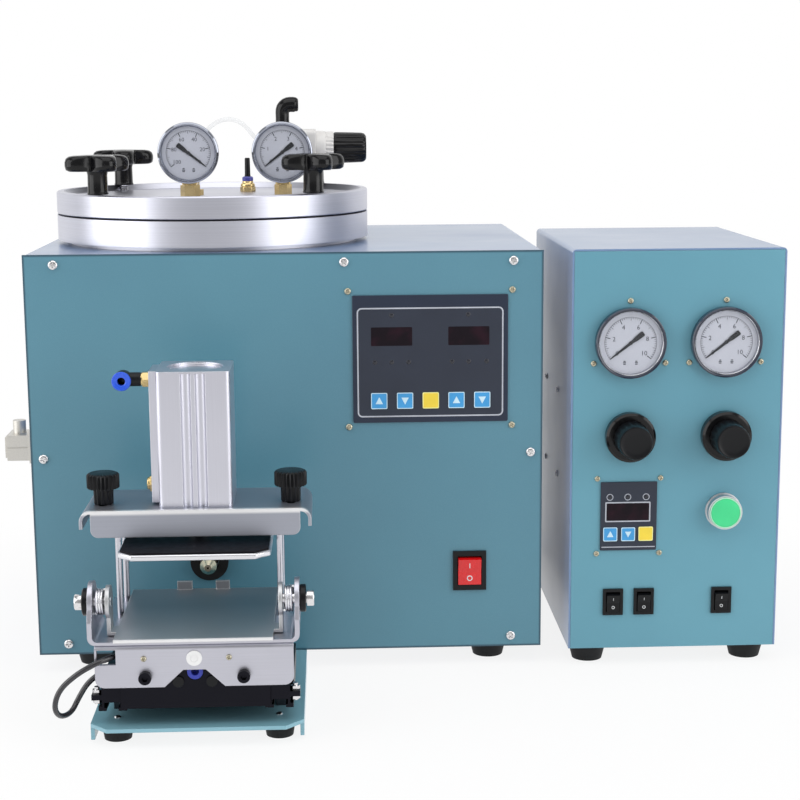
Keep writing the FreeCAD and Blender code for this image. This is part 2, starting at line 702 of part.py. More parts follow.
# The cover wraps the top and both sides in one sheet; louvres let the heat out of its left side.
wrap_cover = new_body("wrap_cover_body")
pad(wrap_cover, "cover_blank", "xz",
    rectangle("cabinet_left", "cabinet_right", "foot_height", "cabinet_top"),
    "panel_thickness", "cabinet_depth")
round_edges(wrap_cover, "cover_bends", ALONG_Y, "cover_bend",
            [Vector(value("cabinet_left"), 0, value("cabinet_top")),
             Vector(value("cabinet_right"), 0, value("cabinet_top"))])
pocket(wrap_cover, "cover_inside", "xz",
       [rectangle("cabinet_left + cover_thickness", "cabinet_right - cover_thickness",
                  "foot_height - 1", "cabinet_top - cover_thickness")],
       [], "panel_thickness - 1", "cabinet_depth + 1")
pocket(wrap_cover, "pot_hole", "xy", [], [("pot_x", "pot_y", "pot_outer + pot_hole_gap")],
       "cabinet_top - cover_thickness - 1", "cabinet_top + 1")
pocket(wrap_cover, "side_vents", "yz",
       [rectangle(f"{back} - 12", f"{back} + 12", f"{low}", f"{low} + 3")
        for back in (195, 245) for low in (60, 70, 80, 90, 100, 110)],
       [("connector_y", "connector_z", "5")],
       "cabinet_left - 1", "cabinet_left + cover_thickness + 1")
hand_over(wrap_cover, "wrap_cover")

rear_chassis = new_body("rear_chassis_body")
pad(rear_chassis, "chassis_profile", "yz",
    [("panel_thickness", "foot_height"), ("cabinet_depth", "foot_height"),
     ("cabinet_depth", "cabinet_top - cover_thickness - sheet_gap"),
     ("cabinet_depth - cover_thickness", "cabinet_top - cover_thickness - sheet_gap"),
     ("cabinet_depth - cover_thickness", "foot_height + cover_thickness"),
     ("panel_thickness", "foot_height + cover_thickness")],
    "cabinet_left + cover_thickness + sheet_gap", "cabinet_right - cover_thickness - sheet_gap")
pocket(rear_chassis, "rear_openings", "xz",
       [rectangle("cabinet_left + 40", "cabinet_left + 67", "60", "80")]
       + [rectangle(f"{x} - 20", f"{x} + 20", f"{low}", f"{low} + 3")
          for x in (-30, 40, 110) for low in (230, 240, 250, 260, 270)],
       [], "cabinet_depth - cover_thickness - 1", "cabinet_depth + 1")
hand_over(rear_chassis, "rear_chassis")

# ---------------------------------------------------------------------------------------------
# Control cabinet

controller_chassis = new_body("controller_chassis_body")
pad(controller_chassis, "controller_profile", "yz",
    [("controller_front", "foot_height"), ("controller_back", "foot_height"),
     ("controller_back", "controller_top - cover_thickness - sheet_gap"),
     ("controller_back - cover_thickness", "controller_top - cover_thickness - sheet_gap"),
     ("controller_back - cover_thickness", "foot_height + cover_thickness"),
     ("controller_inside", "foot_height + cover_thickness"),
     ("controller_inside", "controller_top - cover_thickness - sheet_gap"),
     ("controller_front", "controller_top - cover_thickness - sheet_gap")],
    "controller_left + cover_thickness + sheet_gap", "controller_right - cover_thickness - sheet_gap")
pocket(controller_chassis, "controller_openings", "xz",
       [around(x, "small_switch_z", SMALL_HOLE)
        for x in ("forward_switch_x", "clamp_switch_x", "power_switch_x")]
       + [rectangle("timer_left + 4", "timer_right - 4", "timer_bottom + 4", "timer_top - 4")],
       [("forward_gauge_x", "panel_gauge_height", "panel_gauge_radius - 2.4"),
        ("clamp_gauge_x", "panel_gauge_height", "panel_gauge_radius - 2.4"),
        ("forward_knob_x", "panel_knob_z", "ring_nut_radius - 6"),
        ("clamp_knob_x", "panel_knob_z", "ring_nut_radius - 6"),
        ("button_x", "button_z", "button_radius - 1.4")]
       + [(x, z, "1.4") for x, z in TIMER_SCREWS + GAUGE_SCREWS],
       "controller_front - 1", "controller_inside + 1")
pocket(controller_chassis, "controller_rear_openings", "xz",
       [rectangle("controller_left + 40", "controller_left + 67", "60", "80")]
       + [rectangle("controller_left + 100", "controller_left + 140", f"{low}", f"{low} + 3")
          for low in (230, 240, 250, 260, 270)],
       [], "controller_back - cover_thickness - 1", "controller_back + 1")
hand_over(controller_chassis, "controller_chassis")

controller_cover = new_body("controller_cover_body")
pad(controller_cover, "controller_blank", "xz",
    rectangle("controller_left", "controller_right", "foot_height", "controller_top"),
    "controller_front", "controller_back")
round_edges(controller_cover, "controller_bends", ALONG_Y, "cover_bend",
            [Vector(value("controller_left"), 0, value("controller_top")),
             Vector(value("controller_right"), 0, value("controller_top"))])
pocket(controller_cover, "controller_inside_space", "xz",
       [rectangle("controller_left + cover_thickness", "controller_right - cover_thickness",
                  "foot_height - 1", "controller_top - cover_thickness")],
       [], "controller_front - 1", "controller_back + 1")
pocket(controller_cover, "controller_side_screws", "yz", [],
       [(f"{y}", f"{z}", "1.6") for y in (72, 147) for z in (152, 228)],
       "controller_left - 1", "controller_left + cover_thickness + 1")
hand_over(controller_cover, "controller_cover")

# ---------------------------------------------------------------------------------------------
# Feet and screws


def foot(name, x, y, top):
    """A tapered rubber foot with a recessed underside."""
    cone = taper(f"{name}_cone", "z", "foot_bottom_radius", "foot_top_radius", (x, y), "0", top)
    hollow = rod(f"{name}_hollow", "z", "foot_bottom_radius - 6", (x, y), "-1", "4")
    return cut(name, cone, hollow)


foot_list = []
for word, x in (("left", "cabinet_left + cabinet_foot_inset"),
                ("right", "cabinet_right - cabinet_foot_inset")):
    foot_list.append(foot(f"front_{word}_foot", x, "cabinet_foot_margin", "foot_height"))
    foot_list.append(foot(f"rear_{word}_foot", x, "cabinet_depth - cabinet_foot_margin", "foot_height"))
for word, x in (("left", "controller_left + controller_foot_inset"),
                ("right", "controller_right - controller_foot_inset")):
    for end, y in (("front", "controller_front + controller_foot_inset + 6"),
                   ("rear", "controller_back - controller_foot_inset - 6")):
        foot_list.append(foot(f"controller_{end}_{word}_foot", x, y, "foot_height"))
for word, side in SIDES:
    x = clamp_x("base_foot_offset", side)
    cone = taper(f"clamp_{word}_foot_cone", "z", "base_foot_radius - 2", "base_foot_radius",
                 (x, "-base_foot_front"), "0", "base_plate_low")
    hollow = rod(f"clamp_{word}_foot_hollow", "z", "4", (x, "-base_foot_front"), "-1", "4")
    foot_list.append(cut(f"clamp_{word}_foot", cone, hollow))
hand_over(group("rubber_feet_set", *foot_list), "rubber_feet")


def pan_screw(name, x, z, face, radius, shank, reach, recess_depth="1.1"):
    """A pan-head screw with a cross recess; its head stands on a face that looks to -Y."""
    head = rod(f"{name}_head", "y", radius, (x, z), f"{face} - 0.32 * ({radius}) - 0.7", face)
    shaft = rod(f"{name}_shaft", "y", shank, (x, z), face, f"{face} + {reach}")
    low = f"{face} - 0.32 * ({radius}) - 1.7"
    high = f"{face} - 0.32 * ({radius}) - 0.7 + {recess_depth}"
    bar = block(f"{name}_bar", (f"{x} - 0.55 * ({radius})", f"{x} + 0.55 * ({radius})"), (low, high),
                (f"{z} - 0.13 * ({radius})", f"{z} + 0.13 * ({radius})"))
    post = block(f"{name}_post", (f"{x} - 0.13 * ({radius})", f"{x} + 0.13 * ({radius})"), (low, high),
                 (f"{z} - 0.55 * ({radius})", f"{z} + 0.55 * ({radius})"))
    return cut(name, fuse(f"{name}_blank", head, shaft), bar, post)


screw_list = []
for index, (x, z) in enumerate(SCREW_SPOTS, start=1):
    screw_list.append(pan_screw(f"panel_screw_{index}", x, z, "0", "4.2", "2", "9"))
for index, (x, z) in enumerate(DISPLAY_SCREWS, start=1):
    screw_list.append(pan_screw(f"display_screw_{index}", x, z, "0", "2.9", "1.5", "6"))
for index, (x, z) in enumerate(TIMER_SCREWS, start=1):
    screw_list.append(pan_screw(f"timer_screw_{index}", x, z, "controller_front", "2.5", "1.3", "6"))
for index, (x, z) in enumerate(GAUGE_SCREWS, start=1):
    screw_list.append(pan_screw(f"gauge_screw_{index}", x, z, "controller_front", "2.6", "1.3", "6"))
for index, (y, z) in enumerate([(y, z) for y in (72, 147) for z in (152, 228)], start=1):
    head = rod(f"side_screw_{index}_head", "x", "3", (f"{y}", f"{z}"), "controller_left - 1.2",
               "controller_left")
    shaft = rod(f"side_screw_{index}_shaft", "x", "1.5", (f"{y}", f"{z}"), "controller_left",
                "controller_left + 5")
    screw_list.append(fuse(f"side_screw_{index}", head, shaft))
hand_over(group("panel_screws_set", *screw_list), "panel_screws")

# ---------------------------------------------------------------------------------------------
# Overlays, switches and rockers


def overlay(name, left, right, low, high, face, windows, keys):
    """A panel overlay in front of a sheet, with sunk windows and raised keys."""
    body = new_body(f"{name}_body")
    front = f"{face} - overlay_thickness"
    pad(body, f"{name}_plate", "xz", rectangle(left, right, low, high), front, face)
    pocket(body, f"{name}_windows", "xz",
           [rectangle(f"{left} + {a}", f"{left} + {b}", f"{low} + {c}", f"{low} + {d}")
            for a, b, c, d in windows], [], f"{front} - 1", f"{front} + window_inset")
    for index, (a, b, c, d) in enumerate(keys, start=1):
        pad(body, f"{name}_key_{index}", "xz",
            rectangle(f"{left} + {a}", f"{left} + {b}", f"{low} + {c}", f"{low} + {d}"),
            f"{front} - key_rise", f"{front} + window_inset / 2")
    return body


display = overlay("display", "display_left", "display_right", "display_bottom", "display_top", "0",
                  [(15.3, 49.7, 65.1, 80.7), (79.9, 114.3, 65.1, 80.7)],
                  [(14.9, 28.6, 11.7, 25.5), (36.6, 50.3, 11.7, 25.5), (58.2, 71.9, 11.7, 25.5),
                   (79.8, 93.5, 11.7, 25.5), (101.5, 115.2, 11.7, 25.5)])
timer = overlay("timer", "timer_left", "timer_right", "timer_bottom", "timer_top", "controller_front",
                [(3.9, 42.5, 24.9, 42.3)],
                [(2.4, 14.5, 8.2, 20.3), (17.8, 29.5, 8.2, 20.3), (32.6, 45.1, 8.2, 20.3)])
hand_over(group("membrane_panels_set", display, timer), "membrane_panels")


def switch_frame(name, x, z, outer, hole, rocker, face):
    """A switch housing: bezel, body behind the sheet, cavity and two holes for the rocker's pins."""
    wide, tall = outer
    inner_wide, inner_tall = hole
    rocker_wide, rocker_tall = rocker
    bezel = block(f"{name}_bezel", (f"{x} - {wide} / 2", f"{x} + {wide} / 2"),
                  (f"{face} - bezel_proud", face), (f"{z} - {tall} / 2", f"{z} + {tall} / 2"))
    inside = block(f"{name}_inside",
                   (f"{x} - ({inner_wide}) + sheet_gap", f"{x} + ({inner_wide}) - sheet_gap"),
                   (f"{face} - bezel_proud / 2", f"{face} + 14"),
                   (f"{z} - ({inner_tall}) + sheet_gap", f"{z} + ({inner_tall}) - sheet_gap"))
    blades = [block(f"{name}_blade_{index}", (f"{x} - 2.4", f"{x} + 2.4"), (f"{face} + 13", f"{face} + 21"),
                    (f"{z} + {offset} - 0.4", f"{z} + {offset} + 0.4"))
              for index, offset in enumerate((-6, 0, 6), start=1)]
    cavity = block(f"{name}_cavity",
                   (f"{x} - {rocker_wide} / 2 - rocker_gap", f"{x} + {rocker_wide} / 2 + rocker_gap"),
                   (f"{face} - bezel_proud - 1", f"{face} + 10.5"),
                   (f"{z} - {rocker_tall} / 2 - rocker_gap", f"{z} + {rocker_tall} / 2 + rocker_gap"))
    pins = rod(f"{name}_pin_hole", "x", "trunnion_radius + trunnion_fit", (f"{face} + 3", z),
               f"{x} - {rocker_wide} / 2 - rocker_gap - 0.9", f"{x} + {rocker_wide} / 2 + rocker_gap + 0.9")
    return cut(name, fuse(f"{name}_blank", bezel, inside, *blades), cavity, pins)


def rocker_key(name, x, z, size, face):
    """A rocker in its first position, lower half pressed, with the pins it tips on."""
    wide, tall = size
    depth = "(bezel_proud + 5.2)"
    level = [(f"-{depth}", f"-({tall} / 2 - 0.8)"), ("3.4", f"-({tall} / 2 - 0.4)"),
             ("3.4", f"({tall} / 2 - 0.4)"), (f"-{depth}", f"({tall} / 2 - 0.8)"),
             (f"-({depth} - 1.5)", "0")]
    corners = []
    for across, along in level:
        corners.append((f"{face} + 3 + ({across}) * cos(rocker_tilt) - ({along}) * sin(rocker_tilt)",
                        f"{z} + ({across}) * sin(rocker_tilt) + ({along}) * cos(rocker_tilt)"))
    body = new_body(f"{name}_body")
    pad(body, f"{name}_profile", "yz", corners, f"{x} - {wide} / 2", f"{x} + {wide} / 2")
    pin_sketch = new_sketch(body, f"{name}_pin_circle", "yz", f"{x} - {wide} / 2 - rocker_gap - 0.7")
    draw_circle(pin_sketch, f"{face} + 3", z, "trunnion_radius")
    pin = body.newObject("PartDesign::Pad", f"{name}_pin")
    pin.Profile = pin_sketch
    bind(pin, Length=f"{wide} + 2 * rocker_gap + 1.4")
    return body


MAINS_OUTER = ("mains_switch_width", "mains_switch_height")
SMALL_OUTER = ("small_switch_width", "small_switch_height")
MAINS_KEY = ("mains_rocker_width", "mains_rocker_height")
SMALL_KEY = ("small_rocker_width", "small_rocker_height")
switch_list = [switch_frame("mains_switch_frame", "mains_switch_x", "mains_switch_z", MAINS_OUTER,
                            MAINS_HOLE, MAINS_KEY, "0")]
hand_over(rocker_key("mains_rocker", "mains_switch_x", "mains_switch_z", MAINS_KEY, "0"),
          "mains_rocker")
for word in ("forward", "clamp", "power"):
    switch_list.append(switch_frame(f"{word}_switch_frame", f"{word}_switch_x", "small_switch_z",
                                    SMALL_OUTER, SMALL_HOLE, SMALL_KEY, "controller_front"))
    hand_over(rocker_key(f"{word}_rocker", f"{word}_switch_x", "small_switch_z", SMALL_KEY,
                         "controller_front"), f"{word}_rocker")
hand_over(group("switch_frames_set", *switch_list), "switch_frames")

# ---------------------------------------------------------------------------------------------
# Nozzle, its block and the wax duct

block_body = block("nozzle_block_body", ("nozzle_x - nozzle_block_half", "nozzle_x + nozzle_block_half"),
                   ("panel_thickness", "60"), ("nozzle_z - nozzle_block_half", "nozzle_block_top"))
spigot = rod("nozzle_spigot", "y", "spigot_radius", ("nozzle_x", "nozzle_z"), "0",
             "panel_thickness + 1")
duct = block("nozzle_duct", ("nozzle_x - 14", "nozzle_x + 14"), ("59", "pot_y + 13"),
             ("nozzle_z - 12", "nozzle_z + 12"))
tower = rod("nozzle_tower", "z", "11", ("pot_x", "pot_y"), "nozzle_z", "pot_low")
nozzle_bore = rod("nozzle_bore", "y", "nozzle_radius + nozzle_fit", ("nozzle_x", "nozzle_z"), "-1", "20")
chamber = rod("nozzle_chamber", "y", "nozzle_radius + 2.1", ("nozzle_x", "nozzle_z"), "12", "26")
channel = rod("nozzle_channel", "y", "wax_way", ("nozzle_x", "nozzle_z"), "25", "pot_y")
riser = rod("nozzle_riser", "z", "wax_way", ("pot_x", "pot_y"), "nozzle_z - 4", "pot_low + 1")
hand_over(cut("nozzle_block_cut", fuse("nozzle_block_blank", block_body, spigot, duct, tower),
              nozzle_bore, chamber, channel, riser), "nozzle_block")

bumper_ring = rod("bumper_ring", "y", "bumper_radius", ("nozzle_x", "nozzle_z"), "-bumper_thickness", "0")
bumper_bore = rod("bumper_bore", "y", "nozzle_radius + 1.2", ("nozzle_x", "nozzle_z"),
                  "-bumper_thickness - 1", "1")
hand_over(cut("bumper_cut", bumper_ring, bumper_bore), "nozzle_bumper")

nozzle_barrel = rod("nozzle_barrel", "y", "nozzle_radius", ("nozzle_x", "nozzle_z"),
                    "nozzle_cone - nozzle_reach", "13")
nozzle_end = taper("nozzle_end", "y", "nozzle_tip_radius", "nozzle_radius", ("nozzle_x", "nozzle_z"),
                   "-nozzle_reach", "nozzle_cone - nozzle_reach")
nozzle_collar = rod("nozzle_collar", "y", "nozzle_radius + 2", ("nozzle_x", "nozzle_z"), "12.05", "16")
nozzle_hole = rod("nozzle_hole", "y", "nozzle_orifice", ("nozzle_x", "nozzle_z"), "-nozzle_reach - 1", "17")
hand_over(cut("nozzle_tip_cut", fuse("nozzle_tip_blank", nozzle_barrel, nozzle_end, nozzle_collar),
              nozzle_hole), "nozzle_tip")

# ---------------------------------------------------------------------------------------------
# Pot, heater, seal and lid

STUD_ANGLES = {"left_front": 225, "right_front": 315, "left_rear": 135, "right_rear": 45}
STUD_SPOTS = {word: (f"stud_circle * cos({angle})", f"stud_circle * sin({angle})")
              for word, angle in STUD_ANGLES.items()}

wax_pot = new_body("wax_pot_body")
revolve(wax_pot, "pot_shell",
        [("wax_way", "pot_low"), ("pot_outer", "pot_low"), ("pot_outer", "cabinet_top"),
         ("lid_radius - flange_step_inset", "cabinet_top"),
         ("lid_radius - flange_step_inset", "flange_low"), ("lid_radius", "flange_low"),
         ("lid_radius", "flange_high"), ("pot_bore_radius", "flange_high"),
         ("pot_bore_radius", "pot_inside_low"), ("wax_way", "pot_inside_low")])
pocket(wax_pot, "stud_threads", "xy", [],
       [(x, y, "stud_radius + stud_fit") for x, y in STUD_SPOTS.values()],
       "flange_high - stud_reach - 1", "flange_high + 1")
hand_over(wax_pot, "wax_pot", "pot_x", "pot_y")

heater_outside = rod("heater_outside", "z", "pot_outer + heater_thickness", ("pot_x", "pot_y"),
                     "heater_low", "heater_high")
heater_lug = block("heater_lug", ("pot_x - 9", "pot_x + 9"),
                   ("pot_y + pot_outer", "pot_y + pot_outer + 14"),
                   ("pot_low + 60", "pot_low + 80"))
heater_inside = rod("heater_inside", "z", "pot_outer", ("pot_x", "pot_y"), "heater_low - 1",
                    "heater_high + 1")
heater_slot = block("heater_slot", ("pot_x - 3", "pot_x + 3"),
                    ("pot_y + pot_outer - 5", "pot_y + pot_outer + 15"),
                    ("heater_low - 1", "heater_high + 1"))
hand_over(cut("heater_cut", fuse("heater_blank", heater_outside, heater_lug), heater_inside,
              heater_slot), "pot_heater")

lid_gasket = new_body("lid_gasket_body")
revolve(lid_gasket, "seal_ring",
        rectangle("pot_bore_radius + gasket_inset", "pot_bore_radius + gasket_inset + gasket_width",
                  "flange_high", "lid_low"))
hand_over(lid_gasket, "lid_gasket", "pot_x", "pot_y")

lid_plate = new_body("lid_plate_body")
revolve(lid_plate, "lid_disc",
        [("0", "lid_low"), ("lid_radius - 0.6", "lid_low"), ("lid_radius", "lid_low + 0.6"),
         ("lid_radius", "lid_high - 1.2"), ("lid_radius - 1.2", "lid_high"),
         ("lid_radius - lid_rim", "lid_high"), ("lid_radius - lid_rim - 4", "dish"), ("0", "dish")])
pocket(lid_plate, "stud_holes", "xy", [],
       [(x, y, "stud_radius + stud_fit") for x, y in STUD_SPOTS.values()],
       "lid_low - 1", "lid_high + 1")
hand_over(lid_plate, "lid_plate", "pot_x", "pot_y")


def star_knob(word, turn):
    """A four-lobed knob with its washer, stem and screw."""
    x, y = STUD_SPOTS[word]
    x = f"pot_x + {x}"
    y = f"pot_y + {y}"
    head_low = "lid_high + knob_washer + knob_stem_height"
    head_high = f"{head_low} + knob_head_height"
    centre = (x, y)
    pieces = [
        rod(f"{word}_washer", "z", "knob_washer_radius", centre, "lid_high", "lid_high + knob_washer"),
        rod(f"{word}_stem", "z", "knob_stem_radius", centre, "lid_high + knob_washer / 2", head_low),
        rod(f"{word}_screw", "z", "stud_radius", centre, "flange_high - stud_reach", "lid_high + 1"),
        rod(f"{word}_hub", "z", "knob_hub_radius", centre, head_low, head_high),
    ]
    valleys = []
    for index in range(4):
        angle = turn + 90 * index
        spot = (f"{x} + knob_lobe_circle * cos({angle})", f"{y} + knob_lobe_circle * sin({angle})")
        pieces.append(rod(f"{word}_lobe_{index}", "z", "knob_lobe_radius", spot,
                          f"{head_low} + 1.5", f"{head_high} - 1.5"))
        for end, low, high, first, second in (
                ("low", head_low, f"{head_low} + 1.5", "knob_lobe_radius - 1.5", "knob_lobe_radius"),
                ("high", f"{head_high} - 1.5", head_high, "knob_lobe_radius", "knob_lobe_radius - 1.5")):
            pieces.append(taper(f"{word}_lobe_{index}_{end}", "z", first, second, spot, low, high))
        angle += 45
        spot = (f"{x} + knob_valley_circle * cos({angle})", f"{y} + knob_valley_circle * sin({angle})")
        valleys.append(rod(f"{word}_valley_{index}", "z", "knob_valley_radius", spot,
                           f"{head_low} - 1", f"{head_high} + 1"))
    return cut(f"{word}_star_cut", fuse(f"{word}_star_blank", *pieces), *valleys)


for word, turn in (("left_front", 31), ("right_front", 24), ("left_rear", 10), ("right_rear", 52)):
    hand_over(star_knob(word, turn), f"{word}_star_knob")

# ---------------------------------------------------------------------------------------------
# Gauges


def gauge(name, x, z, radius, front, case_end, step, *extras):
    """A gauge without its needle: bezel and case with the dial's floor and spindle, and its lens."""
    shell = [rod(f"{name}_bezel", "y", radius, (x, z), f"{front} + 1", f"{front} + 8"),
             taper(f"{name}_bezel_edge", "y", f"{radius} - 1", radius, (x, z), front, f"{front} + 1"),
             rod(f"{name}_shell", "y", f"{radius} - {step}", (x, z), f"{front} + 7", case_end)]
    recess = rod(f"{name}_recess", "y", f"{radius} - bezel_width", (x, z), f"{front} - 1",
                 f"{front} + dial_recess")
    spindle = rod(f"{name}_spindle", "y", "needle_hub * 0.4", (x, z),
                  f"{front} + dial_recess - 2.1", f"{front} + dial_recess + 1")
    lens = rod(f"{name}_lens", "y", f"{radius} - bezel_width", (x, z), f"{front} + lens_inset",
               f"{front} + lens_inset + lens_thickness")
    case = cut(f"{name}_case", fuse(f"{name}_blank", *shell, *extras), recess)
    return [fuse(f"{name}_housing", case, spindle), lens]


def gauge_needle(name, x, z, length, tail, angle, dial):
    """A needle: hub with its hole, blade and counterweight, aimed by an angle from +X towards +Z."""
    front = f"{dial} - needle_clearance - needle_thickness"
    back = f"{dial} - needle_clearance"
    body = new_body(f"{name}_body")

    def turned(along, across):
        return (f"{x} + ({along}) * cos({angle}) - ({across}) * sin({angle})",
                f"{z} + ({along}) * sin({angle}) + ({across}) * cos({angle})")

    pad(body, f"{name}_blade", "xz",
        [turned(f"-{tail}", "-needle_width"), turned(f"{length}", "-0.15"),
         turned(f"{length}", "0.15"), turned(f"-{tail}", "needle_width")], front, back)
    hub_sketch = new_sketch(body, f"{name}_hub_circle", "xz", f"{front} - 0.3")
    draw_circle(hub_sketch, x, z, "needle_hub")
    hub = body.newObject("PartDesign::Pad", f"{name}_hub")
    hub.Profile = hub_sketch
    hub.Reversed = True
    bind(hub, Length="needle_thickness + 0.3")
    pocket(body, f"{name}_hole", "xz", [], [(x, z, "needle_hub * 0.4 + 0.03")],
           f"{front} - 1", f"{back} + 1")
    return body


lid_gauge_solids = []
for word, x in (("vacuum", "vacuum_gauge_x"), ("pressure", "pressure_gauge_x")):
    neck = rod(f"{word}_gauge_neck", "z", "5", (x, "lid_gauge_front + 15"), "dish + 10.5",
               "lid_gauge_z - lid_gauge_radius + 6")
    root = block(f"{word}_gauge_root", (f"{x} - 6.5", f"{x} + 6.5"),
                 ("lid_gauge_front + 9", "lid_gauge_front + 21"),
                 ("lid_gauge_z - lid_gauge_radius - 1", "lid_gauge_z - lid_gauge_radius + 6"))
    lid_gauge_solids += gauge(f"{word}_gauge", x, "lid_gauge_z", "lid_gauge_radius", "lid_gauge_front",
                              "lid_gauge_front + lid_gauge_depth", "0.4", neck, root)
hand_over(group("lid_gauges_set", *lid_gauge_solids), "lid_gauges")
hand_over(gauge_needle("vacuum_needle", "vacuum_gauge_x", "lid_gauge_z", "lid_gauge_radius - 8", "9.5",
                       -38, "lid_gauge_front + dial_recess"), "vacuum_needle")
hand_over(gauge_needle("pressure_needle", "pressure_gauge_x", "lid_gauge_z", "lid_gauge_radius - 8",
                       "9.5", 218, "lid_gauge_front + dial_recess"), "pressure_needle")

panel_gauge_solids = []
for word, x in (("forward", "forward_gauge_x"), ("clamp", "clamp_gauge_x")):
    stem = rod(f"{word}_gauge_stem", "y", "5", (x, "panel_gauge_height - 12"),
               "controller_inside + panel_gauge_depth - 5", "controller_inside + panel_gauge_depth + 12")
    panel_gauge_solids += gauge(f"{word}_gauge", x, "panel_gauge_height", "panel_gauge_radius",
                                "controller_front - panel_gauge_front",
                                "controller_inside + panel_gauge_depth", "2.5", stem)
hand_over(group("panel_gauges_set", *panel_gauge_solids), "panel_gauges")
for word, x in (("forward", "forward_gauge_x"), ("clamp", "clamp_gauge_x")):
    hand_over(gauge_needle(f"{word}_needle", x, "panel_gauge_height", "panel_gauge_radius - 9.5", "10", 218,
                           "controller_front - panel_gauge_front + dial_recess"), f"{word}_needle")

# ---------------------------------------------------------------------------------------------
# Fittings, regulator and hose on the lid


def fluted(name, axis, first, second, centre, low, high, count, depth):
    """A knob with grooves along its side; the two other coordinates of its axis are the centre."""
    barrel = taper(f"{name}_barrel", axis, first, second, centre, low, high)
    across, along = centre
    reach = f"(max({first}; {second}) + 1.6 - {depth})"
    grooves = []
    for index in range(count):
        angle = 360 / count * index + 4
        spot = (f"{across} + {reach} * cos({angle})", f"{along} + {reach} * sin({angle})")
        grooves.append(rod(f"{name}_groove_{index}", axis, "1.6", spot, f"{low} - 1", f"{high} + 1"))
    return cut(name, barrel, *grooves)


vacuum_centre = ("vacuum_gauge_x", "lid_gauge_front + 15")
pressure_centre = ("pressure_gauge_x", "lid_gauge_front + 15")
bleed_centre = ("bleed_x", "bleed_y")
nipple_centre = ("regulator_nipple_x", "regulator_y")
barb_centre = ("vacuum_gauge_x + 4", "lid_gauge_front + 51")
bleed_valve = fuse(
    "bleed_valve",
    hexagon("bleed_hex", "z", "7.3", bleed_centre, "dish", "dish + 8"),
    taper("bleed_cone", "z", "6.6", "4.4", bleed_centre, "dish + 8", "dish + 14.5"),
    rod("bleed_collar", "z", "4.7", bleed_centre, "dish + 14", "dish + 18"),
    rod("bleed_stem", "z", "2.4", bleed_centre, "dish + 17", "dish + 31"))
barb = fuse(
    "hose_barb",
    hexagon("barb_hex", "z", "5", barb_centre, "dish", "dish + 5"),
    rod("barb_stem", "z", "1.2", barb_centre, "dish + 4", "dish + 16"))
hand_over(group("lid_fittings_set",
                hexagon("vacuum_hex", "z", "fitting_hex_radius", vacuum_centre, "dish", "dish + 10.5"),
                hexagon("pressure_hex", "z", "fitting_hex_radius - 1", pressure_centre, "dish",
                        "dish + 10.5"),
                bleed_valve, barb,
                rod("regulator_nipple", "z", "5", nipple_centre, "dish",
                    "regulator_z - regulator_size / 2 + 1.5")),
          "lid_fittings")

elbow_centre = ("regulator_left + 11", "regulator_y")
regulator_blank = fuse(
    "regulator_blank",
    block("regulator_block", ("regulator_left", "regulator_right"),
          ("regulator_front", "regulator_front + regulator_size"),
          ("regulator_z - regulator_size / 2 + 1.5", "regulator_z + regulator_size / 2 + 1.5")),
    fluted("regulator_ribs", "x", "regulator_size / 2 - 0.7", "regulator_size / 2 - 0.7",
           ("regulator_y", "regulator_z"), "regulator_right - 1", "regulator_ring_end", 16, "0.9"),
    rod("elbow_riser", "z", "6", elbow_centre, "regulator_z + regulator_size / 2 - 1",
        "regulator_z + regulator_size / 2 + 24.5"),
    rod("elbow_branch", "x", "5.5", ("regulator_y", "regulator_z + regulator_size / 2 + 24.5"),
        "regulator_left + 6", "regulator_left + 24"),
    rod("regulator_barb", "x", "1.2", ("regulator_y", "regulator_z + 2"), "regulator_left - 8",
        "regulator_left + 1"))
hand_over(cut("regulator_cut", regulator_blank,
              rod("regulator_shaft_bore", "x", "5.05", ("regulator_y", "regulator_z"),
                  "regulator_right - 12", "regulator_ring_end + 1"),
              rod("elbow_port", "x", "3", ("regulator_y", "regulator_z + regulator_size / 2 + 24.5"),
                  "regulator_left + 12", "regulator_left + 25")), "lid_regulator")
hand_over(fuse("regulator_knob_set",
               fluted("regulator_knob_grip", "x", "regulator_knob_radius + 0.5",
                      "regulator_knob_radius - 0.8", ("regulator_y", "regulator_z"),
                      "regulator_ring_end + slide_fit", "regulator_ring_end + regulator_knob_length",
                      14, "0.9"),
               rod("regulator_knob_shaft", "x", "5", ("regulator_y", "regulator_z"),
                   "regulator_right - 11", "regulator_ring_end + 1")), "lid_regulator_knob")


